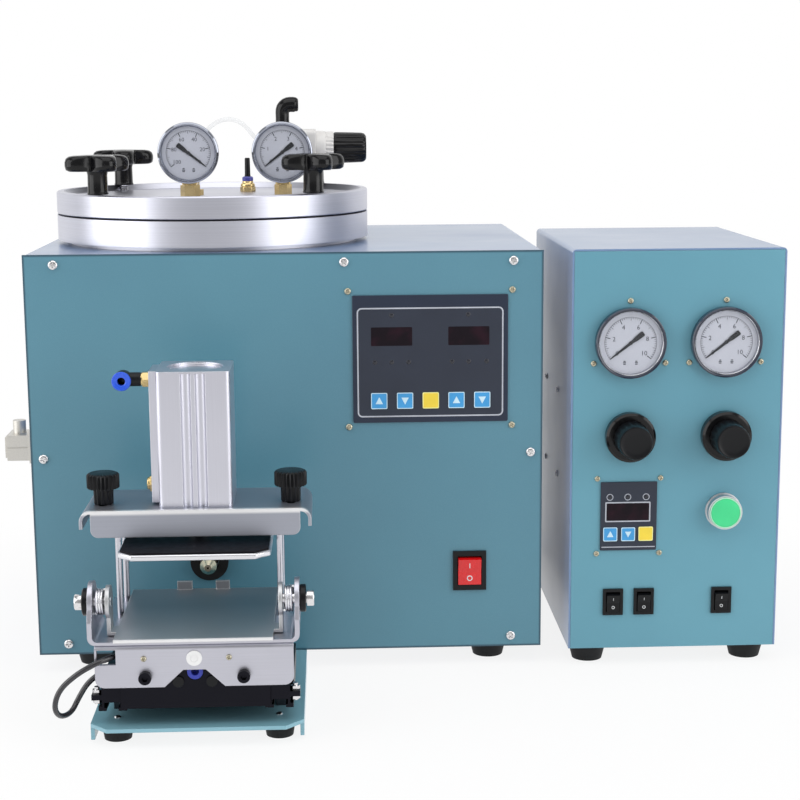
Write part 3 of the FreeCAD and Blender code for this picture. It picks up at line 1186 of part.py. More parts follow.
def flexible(name, route, radius):
    """A tube along a polyline: straight runs joined by tangent arcs, checked against its length."""
    points = [Vector(*(value(text) for text in stop)) for stop in route]
    points = [point - Vector(value("datum_x"), value("datum_y"), 0) for point in points]
    size = value(radius)
    edges = []
    length = 0.0
    radii = []
    start = points[0]
    for index in range(1, len(points) - 1):
        here = points[index]
        arriving = here - points[index - 1]
        leaving = points[index + 1] - here
        turn = arriving.getAngle(leaving)
        reach = 0.45 * min(arriving.Length, leaving.Length)
        bend = reach / math.tan(turn / 2)
        arriving.normalize()
        leaving.normalize()
        first = here - arriving * reach
        last = here + leaving * reach
        inward = leaving - arriving
        inward.normalize()
        centre = here + inward * (bend / math.cos(turn / 2))
        middle = centre - inward * bend
        edges.append(Part.LineSegment(start, first).toShape())
        edges.append(Part.Arc(first, middle, last).toShape())
        length += start.distanceToPoint(first) + bend * turn
        radii.append(bend)
        start = last
    edges.append(Part.LineSegment(start, points[-1]).toShape())
    length += start.distanceToPoint(points[-1])
    path = Part.Wire(edges)
    ring = Part.Circle(points[0], points[1] - points[0], size).toShape()
    tube = path.makePipeShell([Part.Wire([ring])], True, False)
    expected = math.pi * size * size * length
    if tube.isNull() or not tube.isValid() or abs(tube.Volume - expected) > 0.02 * expected:
        raise RuntimeError(f"{name} is not a clean tube: {tube.Volume:.1f} instead of {expected:.1f}")
    print(f"{name}: {length:.1f} mm long, bends {', '.join(f'{bend:.1f}' for bend in radii)}")
    feature = doc.addObject("Part::Feature", f"{name}_tube")
    feature.Shape = tube
    feature.Placement = FreeCAD.Placement()
    feature.Label = name
    nodes.append(feature)
    return feature


# The clear air hose loops from the barb beside the vacuum gauge to the left port of the regulator.
barb_x, barb_y = barb_centre
flexible("lid_air_hose",
         [(barb_x, barb_y, "dish + 6"), (barb_x, barb_y, "dish + 26"),
          (f"{barb_x} + 1.2", f"{barb_y} - 0.5", "dish + 44.4"),
          (f"{barb_x} + 8.8", f"{barb_y} - 1.5", "dish + 57.9"),
          (f"{barb_x} + 22.8", f"{barb_y} - 3", "dish + 64.7"),
          (f"{barb_x} + 36.4", f"{barb_y} - 4.5", "dish + 60.2"),
          ("regulator_left - 14.5", "regulator_y", "regulator_z + 2"),
          ("regulator_left - 0.5", "regulator_y", "regulator_z + 2")], "hose_radius")

# ---------------------------------------------------------------------------------------------
# Inside the cabinets, connectors, regulator bodies, button

valve_parts = []
for index in range(3):
    left = f"controller_left + 40 + {34 * index}"
    valve = fuse(f"valve_{index}",
                 block(f"valve_{index}_body", (left, f"{left} + 22"), ("100", "150"),
                       ("foot_height + cover_thickness", "foot_height + 30")),
                 block(f"valve_{index}_coil", (f"{left} + 1", f"{left} + 21"), ("104", "126"),
                       ("foot_height + 29", "foot_height + 62")),
                 rod(f"valve_{index}_port", "y", "5", (f"{left} + 11", "foot_height + 18"), "88", "101"))
    valve_parts.append(valve)
hand_over(group("air_valves_set", *valve_parts), "air_valves")


def circuit_board(name, left, right, low, high, back):
    """A board on four standoffs behind a sheet whose inner face is at back."""
    board = block(f"{name}_sheet", (left, right), (f"{back} + 8", f"{back} + 9.6"), (low, high))
    posts = [rod(f"{name}_post_{index}", "y", "2.6", (x, z), back, f"{back} + 8")
             for index, (x, z) in enumerate(((f"{left} + 4", f"{low} + 4"), (f"{right} - 4", f"{low} + 4"),
                                             (f"{left} + 4", f"{high} - 4"),
                                             (f"{right} - 4", f"{high} - 4")))]
    chips = [block(f"{name}_chip", (f"{left} + 20", f"{left} + 34"), (f"{back} + 9", f"{back} + 13"),
                   (f"{low} + 14", f"{low} + 28"))]
    return fuse(name, board, *posts, *chips)


hand_over(group("control_boards_set",
                circuit_board("display_board", "display_left - 4", "display_right + 4",
                              "display_bottom - 4", "display_top + 4", "panel_thickness"),
                circuit_board("timer_board", "timer_left - 14", "timer_right + 14",
                              "timer_bottom - 14", "timer_top + 14", "controller_inside")),
          "control_boards")

plug_shell = fuse("plug_shell",
                  block("plug_box", ("cabinet_left - 26", "cabinet_left - 6"),
                        ("connector_y - 14", "connector_y + 14"), ("connector_z - 12", "connector_z + 10")),
                  block("plug_foot", ("cabinet_left - 7", "cabinet_left"),
                        ("connector_y - 16", "connector_y + 16"), ("connector_z - 14", "connector_z + 12")),
                  block("plug_end", ("cabinet_left - connector_reach", "cabinet_left - 25"),
                        ("connector_y - 11", "connector_y + 11"), ("connector_z - 10", "connector_z + 8")),
                  rod("plug_gland", "z", "5.5", ("cabinet_left - 17", "connector_y"), "connector_z + 9",
                      "connector_z + 21"))
plug_slot = block("plug_slot", ("cabinet_left - 27", "cabinet_left - 8"),
                  ("connector_y - 15", "connector_y - 13.2"), ("connector_z - 1", "connector_z"))
plug_tail = rod("plug_tail", "x", "4.8", ("connector_y", "connector_z"), "cabinet_left - 1",
                "cabinet_left + 12")


def mains_inlet(name, left, back):
    """A mains inlet in a rear panel, with its shroud outside and three pins."""
    body = block(f"{name}_body", (f"{left} + 0.3", f"{left} + 26.7"), (f"{back} - 14", f"{back} + 1"),
                 ("60.3", "79.7"))
    rim = block(f"{name}_rim", (f"{left} - 4", f"{left} + 31"), (back, f"{back} + inlet_reach"),
                ("56", "84"))
    socket = block(f"{name}_socket", (f"{left} + 2", f"{left} + 25"),
                   (f"{back} - 10", f"{back} + inlet_reach + 1"), ("62", "78"))
    pins = [block(f"{name}_pin_{index}", (f"{left} + {x}", f"{left} + {x} + 4"),
                  (f"{back} - 11", f"{back} + 6"), (f"{z}", f"{z} + 2"))
            for index, (x, z) in enumerate(((4.5, 67), (11.5, 72), (18.5, 67)))]
    return fuse(name, cut(f"{name}_shell", fuse(f"{name}_blank", body, rim), socket), *pins)


hand_over(group("cable_connectors_set",
                fuse("side_plug", cut("plug_split", plug_shell, plug_slot), plug_tail),
                mains_inlet("cabinet_inlet", "cabinet_left + 40", "cabinet_depth"),
                mains_inlet("controller_inlet", "controller_left + 40", "controller_back")),
          "cable_connectors")

regulator_parts = []
for word, x in (("forward", "forward_knob_x"), ("clamp", "clamp_knob_x")):
    centre = (x, "panel_knob_z")
    face = "controller_front"
    knob_low = f"{face} - ring_nut_thickness - slide_fit"
    body = fuse(f"{word}_valve_blank",
                rod(f"{word}_ring_nut", "y", "ring_nut_radius", centre, f"{face} - ring_nut_thickness + 1.5",
                    face),
                taper(f"{word}_ring_edge", "y", "ring_nut_radius - 2", "ring_nut_radius", centre,
                      f"{face} - ring_nut_thickness", f"{face} - ring_nut_thickness + 1.5"),
                rod(f"{word}_valve_neck", "y", "ring_nut_radius - 6.1", centre, f"{face} - 1", f"{face} + 8"),
                block(f"{word}_valve_block", (f"{x} - 20", f"{x} + 20"), (f"{face} + 7", f"{face} + 47"),
                      ("panel_knob_z - 20", "panel_knob_z + 20")))
    regulator_parts.append(cut(f"{word}_valve", body,
                               rod(f"{word}_valve_bore", "y", "6.05", centre,
                                   f"{face} - ring_nut_thickness - 1", f"{face} + 10")))
    grip = fluted(f"{word}_knob_grip", "y", "panel_knob_end_radius", "panel_knob_radius", centre,
                  f"{knob_low} - panel_knob_length", knob_low, 18, "0.6")
    shaft = rod(f"{word}_knob_shaft", "y", "6", centre, f"{knob_low} - 1", f"{face} + 9")
    hand_over(fuse(f"{word}_knob_set", grip, shaft), f"{word}_knob")
hand_over(group("regulator_bodies_set", *regulator_parts), "regulator_bodies")

button_centre = ("button_x", "button_z")
button_front = "controller_front - button_reach"
bezel_blank = fuse("button_bezel_blank",
                   rod("button_ring", "y", "button_bezel_radius", button_centre,
                       "controller_front - 2", "controller_front"),
                   rod("button_barrel", "y", "button_bezel_radius - 0.8", button_centre,
                       button_front, "controller_front - 1"),
                   rod("button_switch", "y", "button_radius - 1.5", button_centre,
                       "controller_front - 1", "controller_front + 26"))
hand_over(cut("button_bezel_cut", bezel_blank,
              rod("button_well", "y", "button_radius + 0.06", button_centre, f"{button_front} - 1",
                  "controller_front - 4"),
              rod("button_stem_bore", "y", "4.1", button_centre, "controller_front - 5",
                  "controller_front + 20")), "button_bezel")
hand_over(fuse("green_button_set",
               rod("button_cap", "y", "button_radius", button_centre, f"{button_front} - 1",
                   "controller_front - 4 - button_travel - 1"),
               rod("button_stem", "y", "4", button_centre, "controller_front - 4 - button_travel - 2",
                   "controller_front + 20 - button_travel - 2")), "green_button")

# ---------------------------------------------------------------------------------------------
# Clamp base and rails

centre_line = "nozzle_x"
base_plate = new_body("clamp_base_plate_body")
plate_left = clamp_x("base_plate_half", -1)
plate_right = clamp_x("base_plate_half", 1)
pad(base_plate, "base_sheet", "xy",
    [(f"{plate_left} + base_plate_corner", "-base_plate_front"),
     (f"{plate_right} - base_plate_corner", "-base_plate_front"),
     (plate_right, "base_plate_corner - base_plate_front"), (plate_right, "base_plate_tail"),
     (plate_left, "base_plate_tail"), (plate_left, "base_plate_corner - base_plate_front")],
    "base_plate_low", "base_plate_top")
for word, side in SIDES:
    left, right = side_span("base_plate_half - base_plate_thickness", "base_plate_half", side)
    pad(base_plate, f"base_flange_{word}", "xz",
        rectangle(left, right, "base_plate_low - base_plate_flange", "base_plate_low + 1"),
        "base_plate_corner - base_plate_front", "-rail_back")
hand_over(base_plate, "clamp_base_plate")

rails = []
for word, side in SIDES:
    body = new_body(f"{word}_rail_body")
    spot = clamp_x("rail_offset", side)
    half = "rail_width / 2"
    neck = "rail_width / 3"
    head = "rail_top - 4"
    pad(body, f"{word}_rail_profile", "xz",
        [(f"{spot} - {neck}", "base_plate_top"), (f"{spot} + {neck}", "base_plate_top"),
         (f"{spot} + {neck}", head), (f"{spot} + {half}", head), (f"{spot} + {half}", "rail_top"),
         (f"{spot} - {half}", "rail_top"), (f"{spot} - {half}", head), (f"{spot} - {neck}", head)],
        "-rail_front", "-rail_back")
    rails.append(body)
ram_bracket = fuse("ram_bracket",
                   block("ram_post", ("nozzle_x - 14", "nozzle_x + 14"), ("-20", "-12"),
                         ("base_plate_top", "ram_height + 10")),
                   block("ram_shoe", ("nozzle_x - 14", "nozzle_x + 14"), ("-34", "-19"),
                         ("base_plate_top", "base_plate_top + 5")),
                   rod("ram_rod", "y", "ram_radius", ("nozzle_x", "ram_height"), "-130", "-14"))
hand_over(group("slide_rails_set", *rails, ram_bracket), "slide_rails")

# ---------------------------------------------------------------------------------------------
# Carriage: slide block, bent frame, screws

block_span = (clamp_x("block_half", -1), clamp_x("block_half", 1))
frame_low = "frame_top - frame_sheet"
flange_back = "frame_sheet - frame_front"
block_solids = [block("slide_bridge", block_span, (flange_back, "-block_tail"), ("block_bottom", frame_low))]
block_tools = [rod("ram_bore", "y", "ram_radius + slide_fit", ("nozzle_x", "ram_height"), "-162",
                   "-block_tail + 1"),
               rod("fitting_pocket", "y", "6.3", ("nozzle_x", "ram_height + 5"), f"{flange_back} - 1",
                   f"{flange_back} + 8")]
for word, side in SIDES:
    left, right = side_span("shoe_inner", "shoe_outer", side)
    block_solids.append(block(f"{word}_shoe", (left, right), (f"{flange_back} + 3", "-block_tail - 2"),
                              ("shoe_bottom", "shoe_top")))
    lug_left, lug_right = side_span("shoe_outer - 6", "shoe_outer + 5.1", side)
    lug = block(f"{word}_lug", (lug_left, lug_right), ("-172", "-160"), ("37", "41"))
    block_solids.append(lug)
    spot = clamp_x("rail_offset", side)
    block_tools += [
        block(f"{word}_rail_head_way", (f"{spot} - rail_width / 2 - rail_fit",
                                        f"{spot} + rail_width / 2 + rail_fit"),
              ("-200", "-10"), ("rail_top - 4 - rail_fit", "rail_top + rail_fit")),
        block(f"{word}_rail_neck_way", (f"{spot} - rail_width / 3 - 0.5", f"{spot} + rail_width / 3 + 0.5"),
              ("-200", "-10"), ("shoe_bottom - 1", "rail_top - 3.9")),
        rod(f"{word}_lug_hole", "z", "2.05", (clamp_x("shoe_outer + 1.4", side), "-166"), "36", "42"),
        block(f"{word}_lug_recess_low", side_span("shoe_outer - 2.6", "shoe_outer + 1", side),
              ("-173", "-158"), ("32", "37")),
        block(f"{word}_lug_recess_high", side_span("shoe_outer - 2.6", "shoe_outer + 1", side),
              ("-173", "-158"), ("41", "shoe_top + 1")),
    ]
gland_x = clamp_x("block_half", -1)
block_solids.append(rod("lead_gland", "x", "4", ("-150", "56"), f"{gland_x} - 3", f"{gland_x} + 1"))
hand_over(cut("carriage_block_cut", fuse("carriage_block_blank", *block_solids), *block_tools),
          "carriage_block")

fitting_centre = ("nozzle_x", "ram_height + 5")
hand_over(cut("carriage_fitting_cut",
              rod("blue_ring", "y", "6", fitting_centre, f"{flange_back} + 0.4", f"{flange_back} + 8"),
              rod("blue_ring_bore", "y", "3", fitting_centre, f"{flange_back} - 1", f"{flange_back} + 7")),
          "carriage_fitting")

frame_bracket = new_body("frame_bracket_body")
narrow_left = clamp_x("frame_half", -1)
narrow_right = clamp_x("frame_half", 1)
pad(frame_bracket, "bracket_top", "xy",
    [(narrow_left, "-frame_front"), (narrow_right, "-frame_front"), (narrow_right, "-frame_tail"),
     (narrow_left, "-frame_tail")], frame_low, "frame_top")
pad(frame_bracket, "bracket_flange", "xz",
    [(narrow_left, f"{frame_low} + 1"), (narrow_left, "flange_bottom"), ("nozzle_x - 22.6", "flange_bottom"),
     ("nozzle_x - 8.4", "flange_bottom + 13.3"), ("nozzle_x + 8.4", "flange_bottom + 13.3"),
     ("nozzle_x + 22.6", "flange_bottom"), (narrow_right, "flange_bottom"),
     (narrow_right, f"{frame_low} + 1")], "-frame_front", flange_back)
round_edges(frame_bracket, "flange_corners", ALONG_Y, "flange_corner",
            [Vector(value(narrow_left), 0, value("flange_bottom")),
             Vector(value(narrow_right), 0, value("flange_bottom"))])
round_edges(frame_bracket, "flange_bend", ALONG_X, "frame_sheet + 0.8",
            [Vector(0, value("-frame_front"), value("frame_top"))])
bracket_screws = (("left", "nozzle_x - 37.7", "71"), ("right", "nozzle_x + 25.9", "71"))
pocket(frame_bracket, "lead_window", "xz",
       [rectangle("nozzle_x - 72.6", "nozzle_x - 58.5", "flange_bottom + 18", "frame_top - 3.6")],
       [(x, z, "0.9") for word, x, z in bracket_screws], "-frame_front - 1", f"{flange_back} + 0.5")

# The cross sheet lies on the bracket and turns up into the two straps that carry the platform.
strap_sheet = new_body("strap_sheet_body")
strap_end = "strap_depth - frame_front"
strap_neck = "pivot_z - 2"
pad(strap_sheet, "strap_profile", "xz",
    [(clamp_x("strap_outer", -1), "frame_top"), (clamp_x("strap_outer", 1), "frame_top"),
     (clamp_x("strap_outer", 1), "strap_top"), (clamp_x("strap_offset", 1), "strap_top"),
     (clamp_x("strap_offset", 1), "frame_top + cross_sheet"),
     (clamp_x("strap_offset", -1), "frame_top + cross_sheet"),
     (clamp_x("strap_offset", -1), "strap_top"), (clamp_x("strap_outer", -1), "strap_top")],
    "-frame_front", strap_end)
round_edges(strap_sheet, "strap_outer_bends", ALONG_Y, "strap_bend",
            [Vector(value(clamp_x("strap_outer", side)), 0, value("frame_top")) for side in (-1, 1)])
round_edges(strap_sheet, "strap_inner_bends", ALONG_Y, "strap_bend - cross_sheet",
            [Vector(value(clamp_x("strap_offset", side)), 0, value("frame_top + cross_sheet"))
             for side in (-1, 1)])
pocket(strap_sheet, "strap_shoulders", "yz",
       [[("-frame_front - 1", "strap_top + 1"), ("-frame_front - 1", "pivot_z - 11"),
         ("-frame_front", "pivot_z - 11"), ("-pivot_y - strap_head", strap_neck),
         ("-pivot_y - strap_head", "strap_top + 1")],
        [("-pivot_y + strap_head", "strap_top + 1"), ("-pivot_y + strap_head", strap_neck),
         (strap_end, "pivot_z - 11"), (f"{strap_end} + 1", "pivot_z - 11"),
         (f"{strap_end} + 1", "strap_top + 1")]],
       [], clamp_x("strap_outer + 1", -1), clamp_x("strap_outer + 1", 1))
round_edges(strap_sheet, "strap_heads", ALONG_X, "strap_head - 0.2",
            [Vector(0, value(y), value("strap_top"))
             for y in ("-pivot_y - strap_head", "-pivot_y + strap_head")])
pocket(strap_sheet, "strap_pivot_holes", "yz", [], [("-pivot_y", "pivot_z", "pivot_radius")],
       clamp_x("strap_outer + 1", -1), clamp_x("strap_outer + 1", 1))
hand_over(group("carriage_frame_set", frame_bracket, strap_sheet), "carriage_frame")

posts = [rod(f"post_{word}_{end}", "z", "post_radius", (clamp_x("post_offset", side), y), "frame_top",
             "tray_low - slide_fit - 2")
         for word, side in SIDES for end, y in (("front", "-front_post_y"), ("rear", "-rear_post_y"))]
bars = []
for word, side in SIDES:
    left, right = side_span("bar_inner", "bar_outer", side)
    bar = block(f"{word}_bar", (left, right), ("-bar_front", "-bar_back"),
                ("bar_low", "tray_low - slide_fit"))
    thread = rod(f"{word}_bar_thread", "z", "thumb_screw_radius + thumb_fit",
                 (clamp_x("thumb_offset", side), "-thumb_y"), "bar_low + 2", "tray_top")
    bars.append(fuse(f"{word}_guide", cut(f"{word}_bar_cut", bar, thread),
                     *[post for post in posts if post.Name.startswith(f"post_{word}")]))
hand_over(group("guide_posts_set", *bars), "guide_posts")

front_face = "-frame_front"
fastener_list = []
for word, side in SIDES:
    x = clamp_x("36.8", side)
    cap = rod(f"{word}_cap_head", "y", "4.8", (x, "56.8"), f"{front_face} - 5", front_face)
    socket = hexagon(f"{word}_cap_socket", "y", "2.6", (x, "56.8"), f"{front_face} - 6",
                     f"{front_face} - 2.5")
    fastener_list.append(cut(f"{word}_cap_screw", cap, socket))
    disc = rod(f"{word}_dark_disc", "y", "4.2", (clamp_x("12.6", side), "51.8"), f"{flange_back} - 1.5",
               flange_back)
    fastener_list.append(disc)
    x = clamp_x("shoe_outer + 1.4", side)
    fastener_list.append(fuse(f"{word}_stop_bolt",
                              rod(f"{word}_stop_shank", "z", "2", (x, "-166"), "32.6", "46"),
                              hexagon(f"{word}_stop_nut", "z", "3.6", (x, "-166"), "33.6", "37"),
                              hexagon(f"{word}_stop_head", "z", "3.6", (x, "-166"), "41", "44")))
fastener_list += [pan_screw(f"brass_screw_{word}", x, z, front_face, "3", "0.8", "2")
                  for word, x, z in bracket_screws]
fastener_list.append(cut("white_plug",
                         rod("white_plug_disc", "y", "5.9", ("nozzle_x", "71"), f"{front_face} - 1.2",
                             front_face),
                         rod("white_plug_dimple", "y", "3", ("nozzle_x", "71"), f"{front_face} - 2",
                             f"{front_face} - 0.7")))
hand_over(group("carriage_screws_set", *fastener_list), "carriage_screws")

# ---------------------------------------------------------------------------------------------
# Platform, its pivot bolts and springs

platform_solids = [
    block("platform_plate", (clamp_x("platform_half", -1), clamp_x("platform_half", 1)),
          ("-platform_front", "-platform_back"), ("platform_low", "platform_top")),
    block("platform_stop_left", ("nozzle_x - 23", "nozzle_x - 10.7"),
          ("-platform_back - 3", "-platform_back"), ("platform_top - 1", "platform_top + 7")),
    block("platform_stop_right", ("nozzle_x + 8.5", "nozzle_x + 19.7"),
          ("-platform_back - 3", "-platform_back"), ("platform_top - 1", "platform_top + 7")),
]
platform_holes = []
for word, side in SIDES:
    tab_left, tab_right = side_span("platform_half - 1", "ear_outer", side)
    ear_left, ear_right = side_span("ear_inner", "ear_outer", side)
    ear_span = ("-pivot_y - 5", "-pivot_y - 5 + ear_foot_width")
    platform_solids += [
        block(f"{word}_tab", (tab_left, tab_right), ear_span, ("platform_low", "platform_top")),
        block(f"{word}_ear_web", (ear_left, ear_right), ear_span, ("platform_low", "pivot_z")),
        rod(f"{word}_ear_disc", "x", "ear_radius", ("-pivot_y", "pivot_z"), ear_left, ear_right),
    ]
    platform_holes.append(rod(f"{word}_ear_hole", "x", "pivot_radius + pivot_fit", ("-pivot_y", "pivot_z"),
                              f"{ear_left} - 1", f"{ear_right} + 1"))
hand_over(cut("platform_cut", fuse("platform_blank", *platform_solids), *platform_holes), "platform")

pivot_centre = ("-pivot_y", "pivot_z")
pivot_list = []
for word, side in SIDES:
    shank = rod(f"{word}_pivot_shank", "x", "pivot_radius", pivot_centre,
                *side_span("ear_inner - 0.6", "washer_outer", side))
    head = rod(f"{word}_pivot_head", "x", "bolt_head_radius", pivot_centre,
               *side_span("washer_outer", "head_outer", side))
    socket = hexagon(f"{word}_pivot_socket", "x", "2.9", pivot_centre,
                     *side_span("head_outer - 3", "head_outer + 1", side))
    collar = rod(f"{word}_pivot_collar", "x", "pivot_washer_radius", pivot_centre,
                 *side_span("strap_outer", "washer_outer", side))
    pivot_list.append(cut(f"{word}_pivot_bolt", fuse(f"{word}_pivot_blank", shank, head, collar), socket))
hand_over(group("pivot_screws_set", *pivot_list), "pivot_screws")

spring_list = []
for word, side in SIDES:
    left, right = side_span("ear_outer + 0.3 + spring_wire / 2", "strap_offset - 0.3 - spring_wire / 2", side)
    helix = doc.addObject("Part::Helix", f"{word}_spring_line")
    bind(helix, Radius="spring_coil_radius", Height=f"({right}) - ({left})",
         Pitch=f"(({right}) - ({left})) / spring_turns")
    helix.SegmentLength = 0.5
    doc.recompute()
    ring = doc.addObject("Part::Circle", f"{word}_spring_section")
    bind(ring, Radius="spring_wire / 2")
    ring.Placement = FreeCAD.Placement(Vector(), Rotation(Vector(1, 0, 0), 90))
    ring.setExpression("Placement.Base.x", formula("spring_coil_radius"))
    coil = doc.addObject("Part::Sweep", f"{word}_spring_coil")
    coil.Sections = [ring]
    coil.Spine = (helix, [f"Edge{number + 1}" for number in range(len(helix.Shape.Edges))])
    coil.Solid = True
    coil.Frenet = True
    coil.Placement = FreeCAD.Placement(Vector(), TURN_TO["x"])
    put(coil, left, "-pivot_y", "pivot_z")
    spring_list.append(coil)
hand_over(group("pivot_springs_set", *spring_list), "pivot_springs")

# ---------------------------------------------------------------------------------------------
# Tray, thumb knobs, press cylinder and press plate

tray = new_body("tray_sheet_body")
tray_left = clamp_x("tray_half", -1)
tray_right = clamp_x("tray_half", 1)
pad(tray, "tray_plate", "xy", rectangle(tray_left, tray_right, "-tray_front", "-tray_back"),
    "tray_low", "tray_top")
pad(tray, "tray_front_flange", "xz", rectangle(tray_left, tray_right, "tray_top - tray_flange", "tray_top"),
    "-tray_front", "tray_sheet - tray_front")
round_edges(tray, "tray_corners", ALONG_Y, "tray_corner",
            [Vector(value(tray_left), 0, value("tray_top - tray_flange")),
             Vector(value(tray_right), 0, value("tray_top - tray_flange"))])
slot_half = "(tray_travel + 0.1)"
slot_width = "(thumb_screw_radius + 0.15)"
tray_slots = [rod("rod_window", "z", "rod_radius + 2", ("nozzle_x", "-cylinder_y"), "tray_low - 1",
                  "tray_top + 1")]
tray_lips = []
for word, side in SIDES:
    spot = clamp_x("thumb_offset", side)
    tray_slots += [
        block(f"{word}_slot", (f"{spot} - {slot_width}", f"{spot} + {slot_width}"),
              (f"-thumb_y - {slot_half}", f"-thumb_y + {slot_half}"), ("tray_low - 1", "tray_top + 1")),
        rod(f"{word}_slot_front", "z", slot_width, (spot, f"-thumb_y - {slot_half}"), "tray_low - 1",
            "tray_top + 1"),
        rod(f"{word}_slot_back", "z", slot_width, (spot, f"-thumb_y + {slot_half}"), "tray_low - 1",
            "tray_top + 1"),
    ]
    roll_centre = (clamp_x("tray_half", side), "tray_top - lip_radius")
    roll = cut(f"{word}_roll",
               rod(f"{word}_roll_outside", "y", "lip_radius", roll_centre, "-tray_front", "-tray_back"),
               rod(f"{word}_roll_inside", "y", "lip_radius - tray_sheet", roll_centre,
                   "-tray_front - 1", "-tray_back + 1"))
    left, right = side_span("tray_half", "tray_half + lip_radius + 1", side)
    quarter = block(f"{word}_roll_quarter", (left, right), ("-tray_front - 1", "-tray_back + 1"),
                    ("tray_top - lip_radius", "tray_top + 1"))
    tray_lips.append(common(f"{word}_roll_part", roll, quarter))
    left, right = side_span("tray_half + lip_radius - tray_sheet", "tray_half + lip_radius", side)
    tray_lips.append(block(f"{word}_lip", (left, right), ("-tray_front", "-tray_back"),
                           ("tray_top - lip_radius - lip_drop", "tray_top - lip_radius")))
hand_over(cut("upper_tray_cut", fuse("upper_tray_blank", tray, *tray_lips), *tray_slots), "upper_tray")

for word, side in SIDES:
    centre = (clamp_x("thumb_offset", side), "-thumb_y")
    neck_low = "tray_top + slide_fit"
    head_low = f"{neck_low} + thumb_neck_height"
    head_high = f"{head_low} + thumb_head_height"
    head = fluted(f"{word}_thumb_head", "z", "thumb_head_radius", "thumb_head_radius", centre, head_low,
                  f"{head_high} - 1.5", 24, "0.7")
    crown = taper(f"{word}_thumb_crown", "z", "thumb_head_radius - 0.7", "thumb_head_radius - 2", centre,
                  f"{head_high} - 1.5", head_high)
    neck = rod(f"{word}_thumb_neck", "z", "thumb_neck_radius", centre, neck_low, f"{head_low} + 1")
    screw = rod(f"{word}_thumb_screw", "z", "thumb_screw_radius", centre, "bar_low + 3", f"{neck_low} + 1")
    hand_over(fuse(f"{word}_thumb_knob_set", head, crown, neck, screw), f"{word}_thumb_knob")

cylinder_left = "(nozzle_x - cylinder_half)"
cylinder_right = "(nozzle_x + cylinder_half)"
cylinder_front = "(-cylinder_y - cylinder_half)"
cylinder_back = "(cylinder_half - cylinder_y)"
press_cylinder = new_body("press_cylinder_body")
pad(press_cylinder, "cylinder_profile", "xy",
    rectangle(cylinder_left, cylinder_right, cylinder_front, cylinder_back), "tray_top", "cylinder_top")
round_edges(press_cylinder, "cylinder_corners", ALONG_Z, "4",
            [Vector(value(x), value(y), 0) for x in (cylinder_left, cylinder_right)
             for y in (cylinder_front, cylinder_back)])
channels = [rod(f"cylinder_channel_{word}_{side}", "z", "channel_radius",
                (f"nozzle_x {way} channel_offset", y), "tray_top - 1", "cylinder_top - 1.6")
            for side, y in (("front", f"{cylinder_front} - channel_lift"),
                            ("back", f"{cylinder_back} + channel_lift"))
            for word, way in (("left", "-"), ("right", "+"))]
recess = fuse("cylinder_recess",
              rod("cylinder_ring_recess", "z", "cylinder_bore - 0.5", ("nozzle_x", "-cylinder_y"),
                  "cylinder_top - 1.2", "cylinder_top + 1"),
              rod("cylinder_lid_recess", "z", "cylinder_bore - 2.3", ("nozzle_x", "-cylinder_y"),
                  "cylinder_top - 2.6", "cylinder_top"))
port_rail = block("cylinder_port_rail", (f"{cylinder_left} - cylinder_rail", f"{cylinder_left} + 1"),
                  ("-115", "-80"), ("tray_top + 2", "cylinder_top - 1"))
upper_port = rod("upper_port", "x", "2.5", ("-106", "cylinder_top - 8.2"),
                 f"{cylinder_left} - cylinder_rail - 1", f"{cylinder_left} + 20")
lower_port = rod("lower_port", "x", "2.5", ("-100", "tray_top + 14"),
                 f"{cylinder_left} - cylinder_rail - 1", f"{cylinder_left} + 20")
cavity = rod("cylinder_cavity", "z", "cylinder_bore", ("nozzle_x", "-cylinder_y"),
             "tray_top + cylinder_wall", "cylinder_top - cylinder_wall")
rod_bore = rod("cylinder_rod_bore", "z", "rod_radius + cylinder_fit", ("nozzle_x", "-cylinder_y"),
               "tray_top - 1", "tray_top + cylinder_wall + 1")
hand_over(cut("press_cylinder_cut", fuse("press_cylinder_blank", press_cylinder, port_rail),
              upper_port, lower_port, cavity, rod_bore, recess, *channels), "press_cylinder")

piston_low = "tray_top + piston_rest"
hand_over(fuse("press_rod_set",
               rod("press_shaft", "z", "rod_radius", ("nozzle_x", "-cylinder_y"), "plate_top + plate_pad",
                   f"{piston_low} + 1"),
               rod("press_piston", "z", "cylinder_bore - cylinder_fit", ("nozzle_x", "-cylinder_y"),
                   piston_low, f"{piston_low} + piston_thickness")), "press_rod")

press_plate = new_body("press_plate_body")
press_left = clamp_x("plate_half", -1)
press_right = clamp_x("plate_half", 1)
pad(press_plate, "press_sheet", "xy",
    [(f"{press_left} + plate_corner", "-plate_front"), (f"{press_right} - plate_corner", "-plate_front"),
     (press_right, "plate_corner - plate_front"), (press_right, "-plate_back"),
     (press_left, "-plate_back"), (press_left, "plate_corner - plate_front")],
    "plate_bottom", "plate_top")
pad(press_plate, "press_backing", "xy",
    [(f"{press_left} + plate_corner + 2", "2 - plate_front"),
     (f"{press_right} - plate_corner - 2", "2 - plate_front"),
     (f"{press_right} - 2", "plate_corner - plate_front + 2"), (f"{press_right} - 2", "-plate_back - 2"),
     (f"{press_left} + 2", "-plate_back - 2"), (f"{press_left} + 2", "plate_corner - plate_front + 2")],
    "plate_top", "plate_top + plate_pad")
hand_over(press_plate, "press_plate")

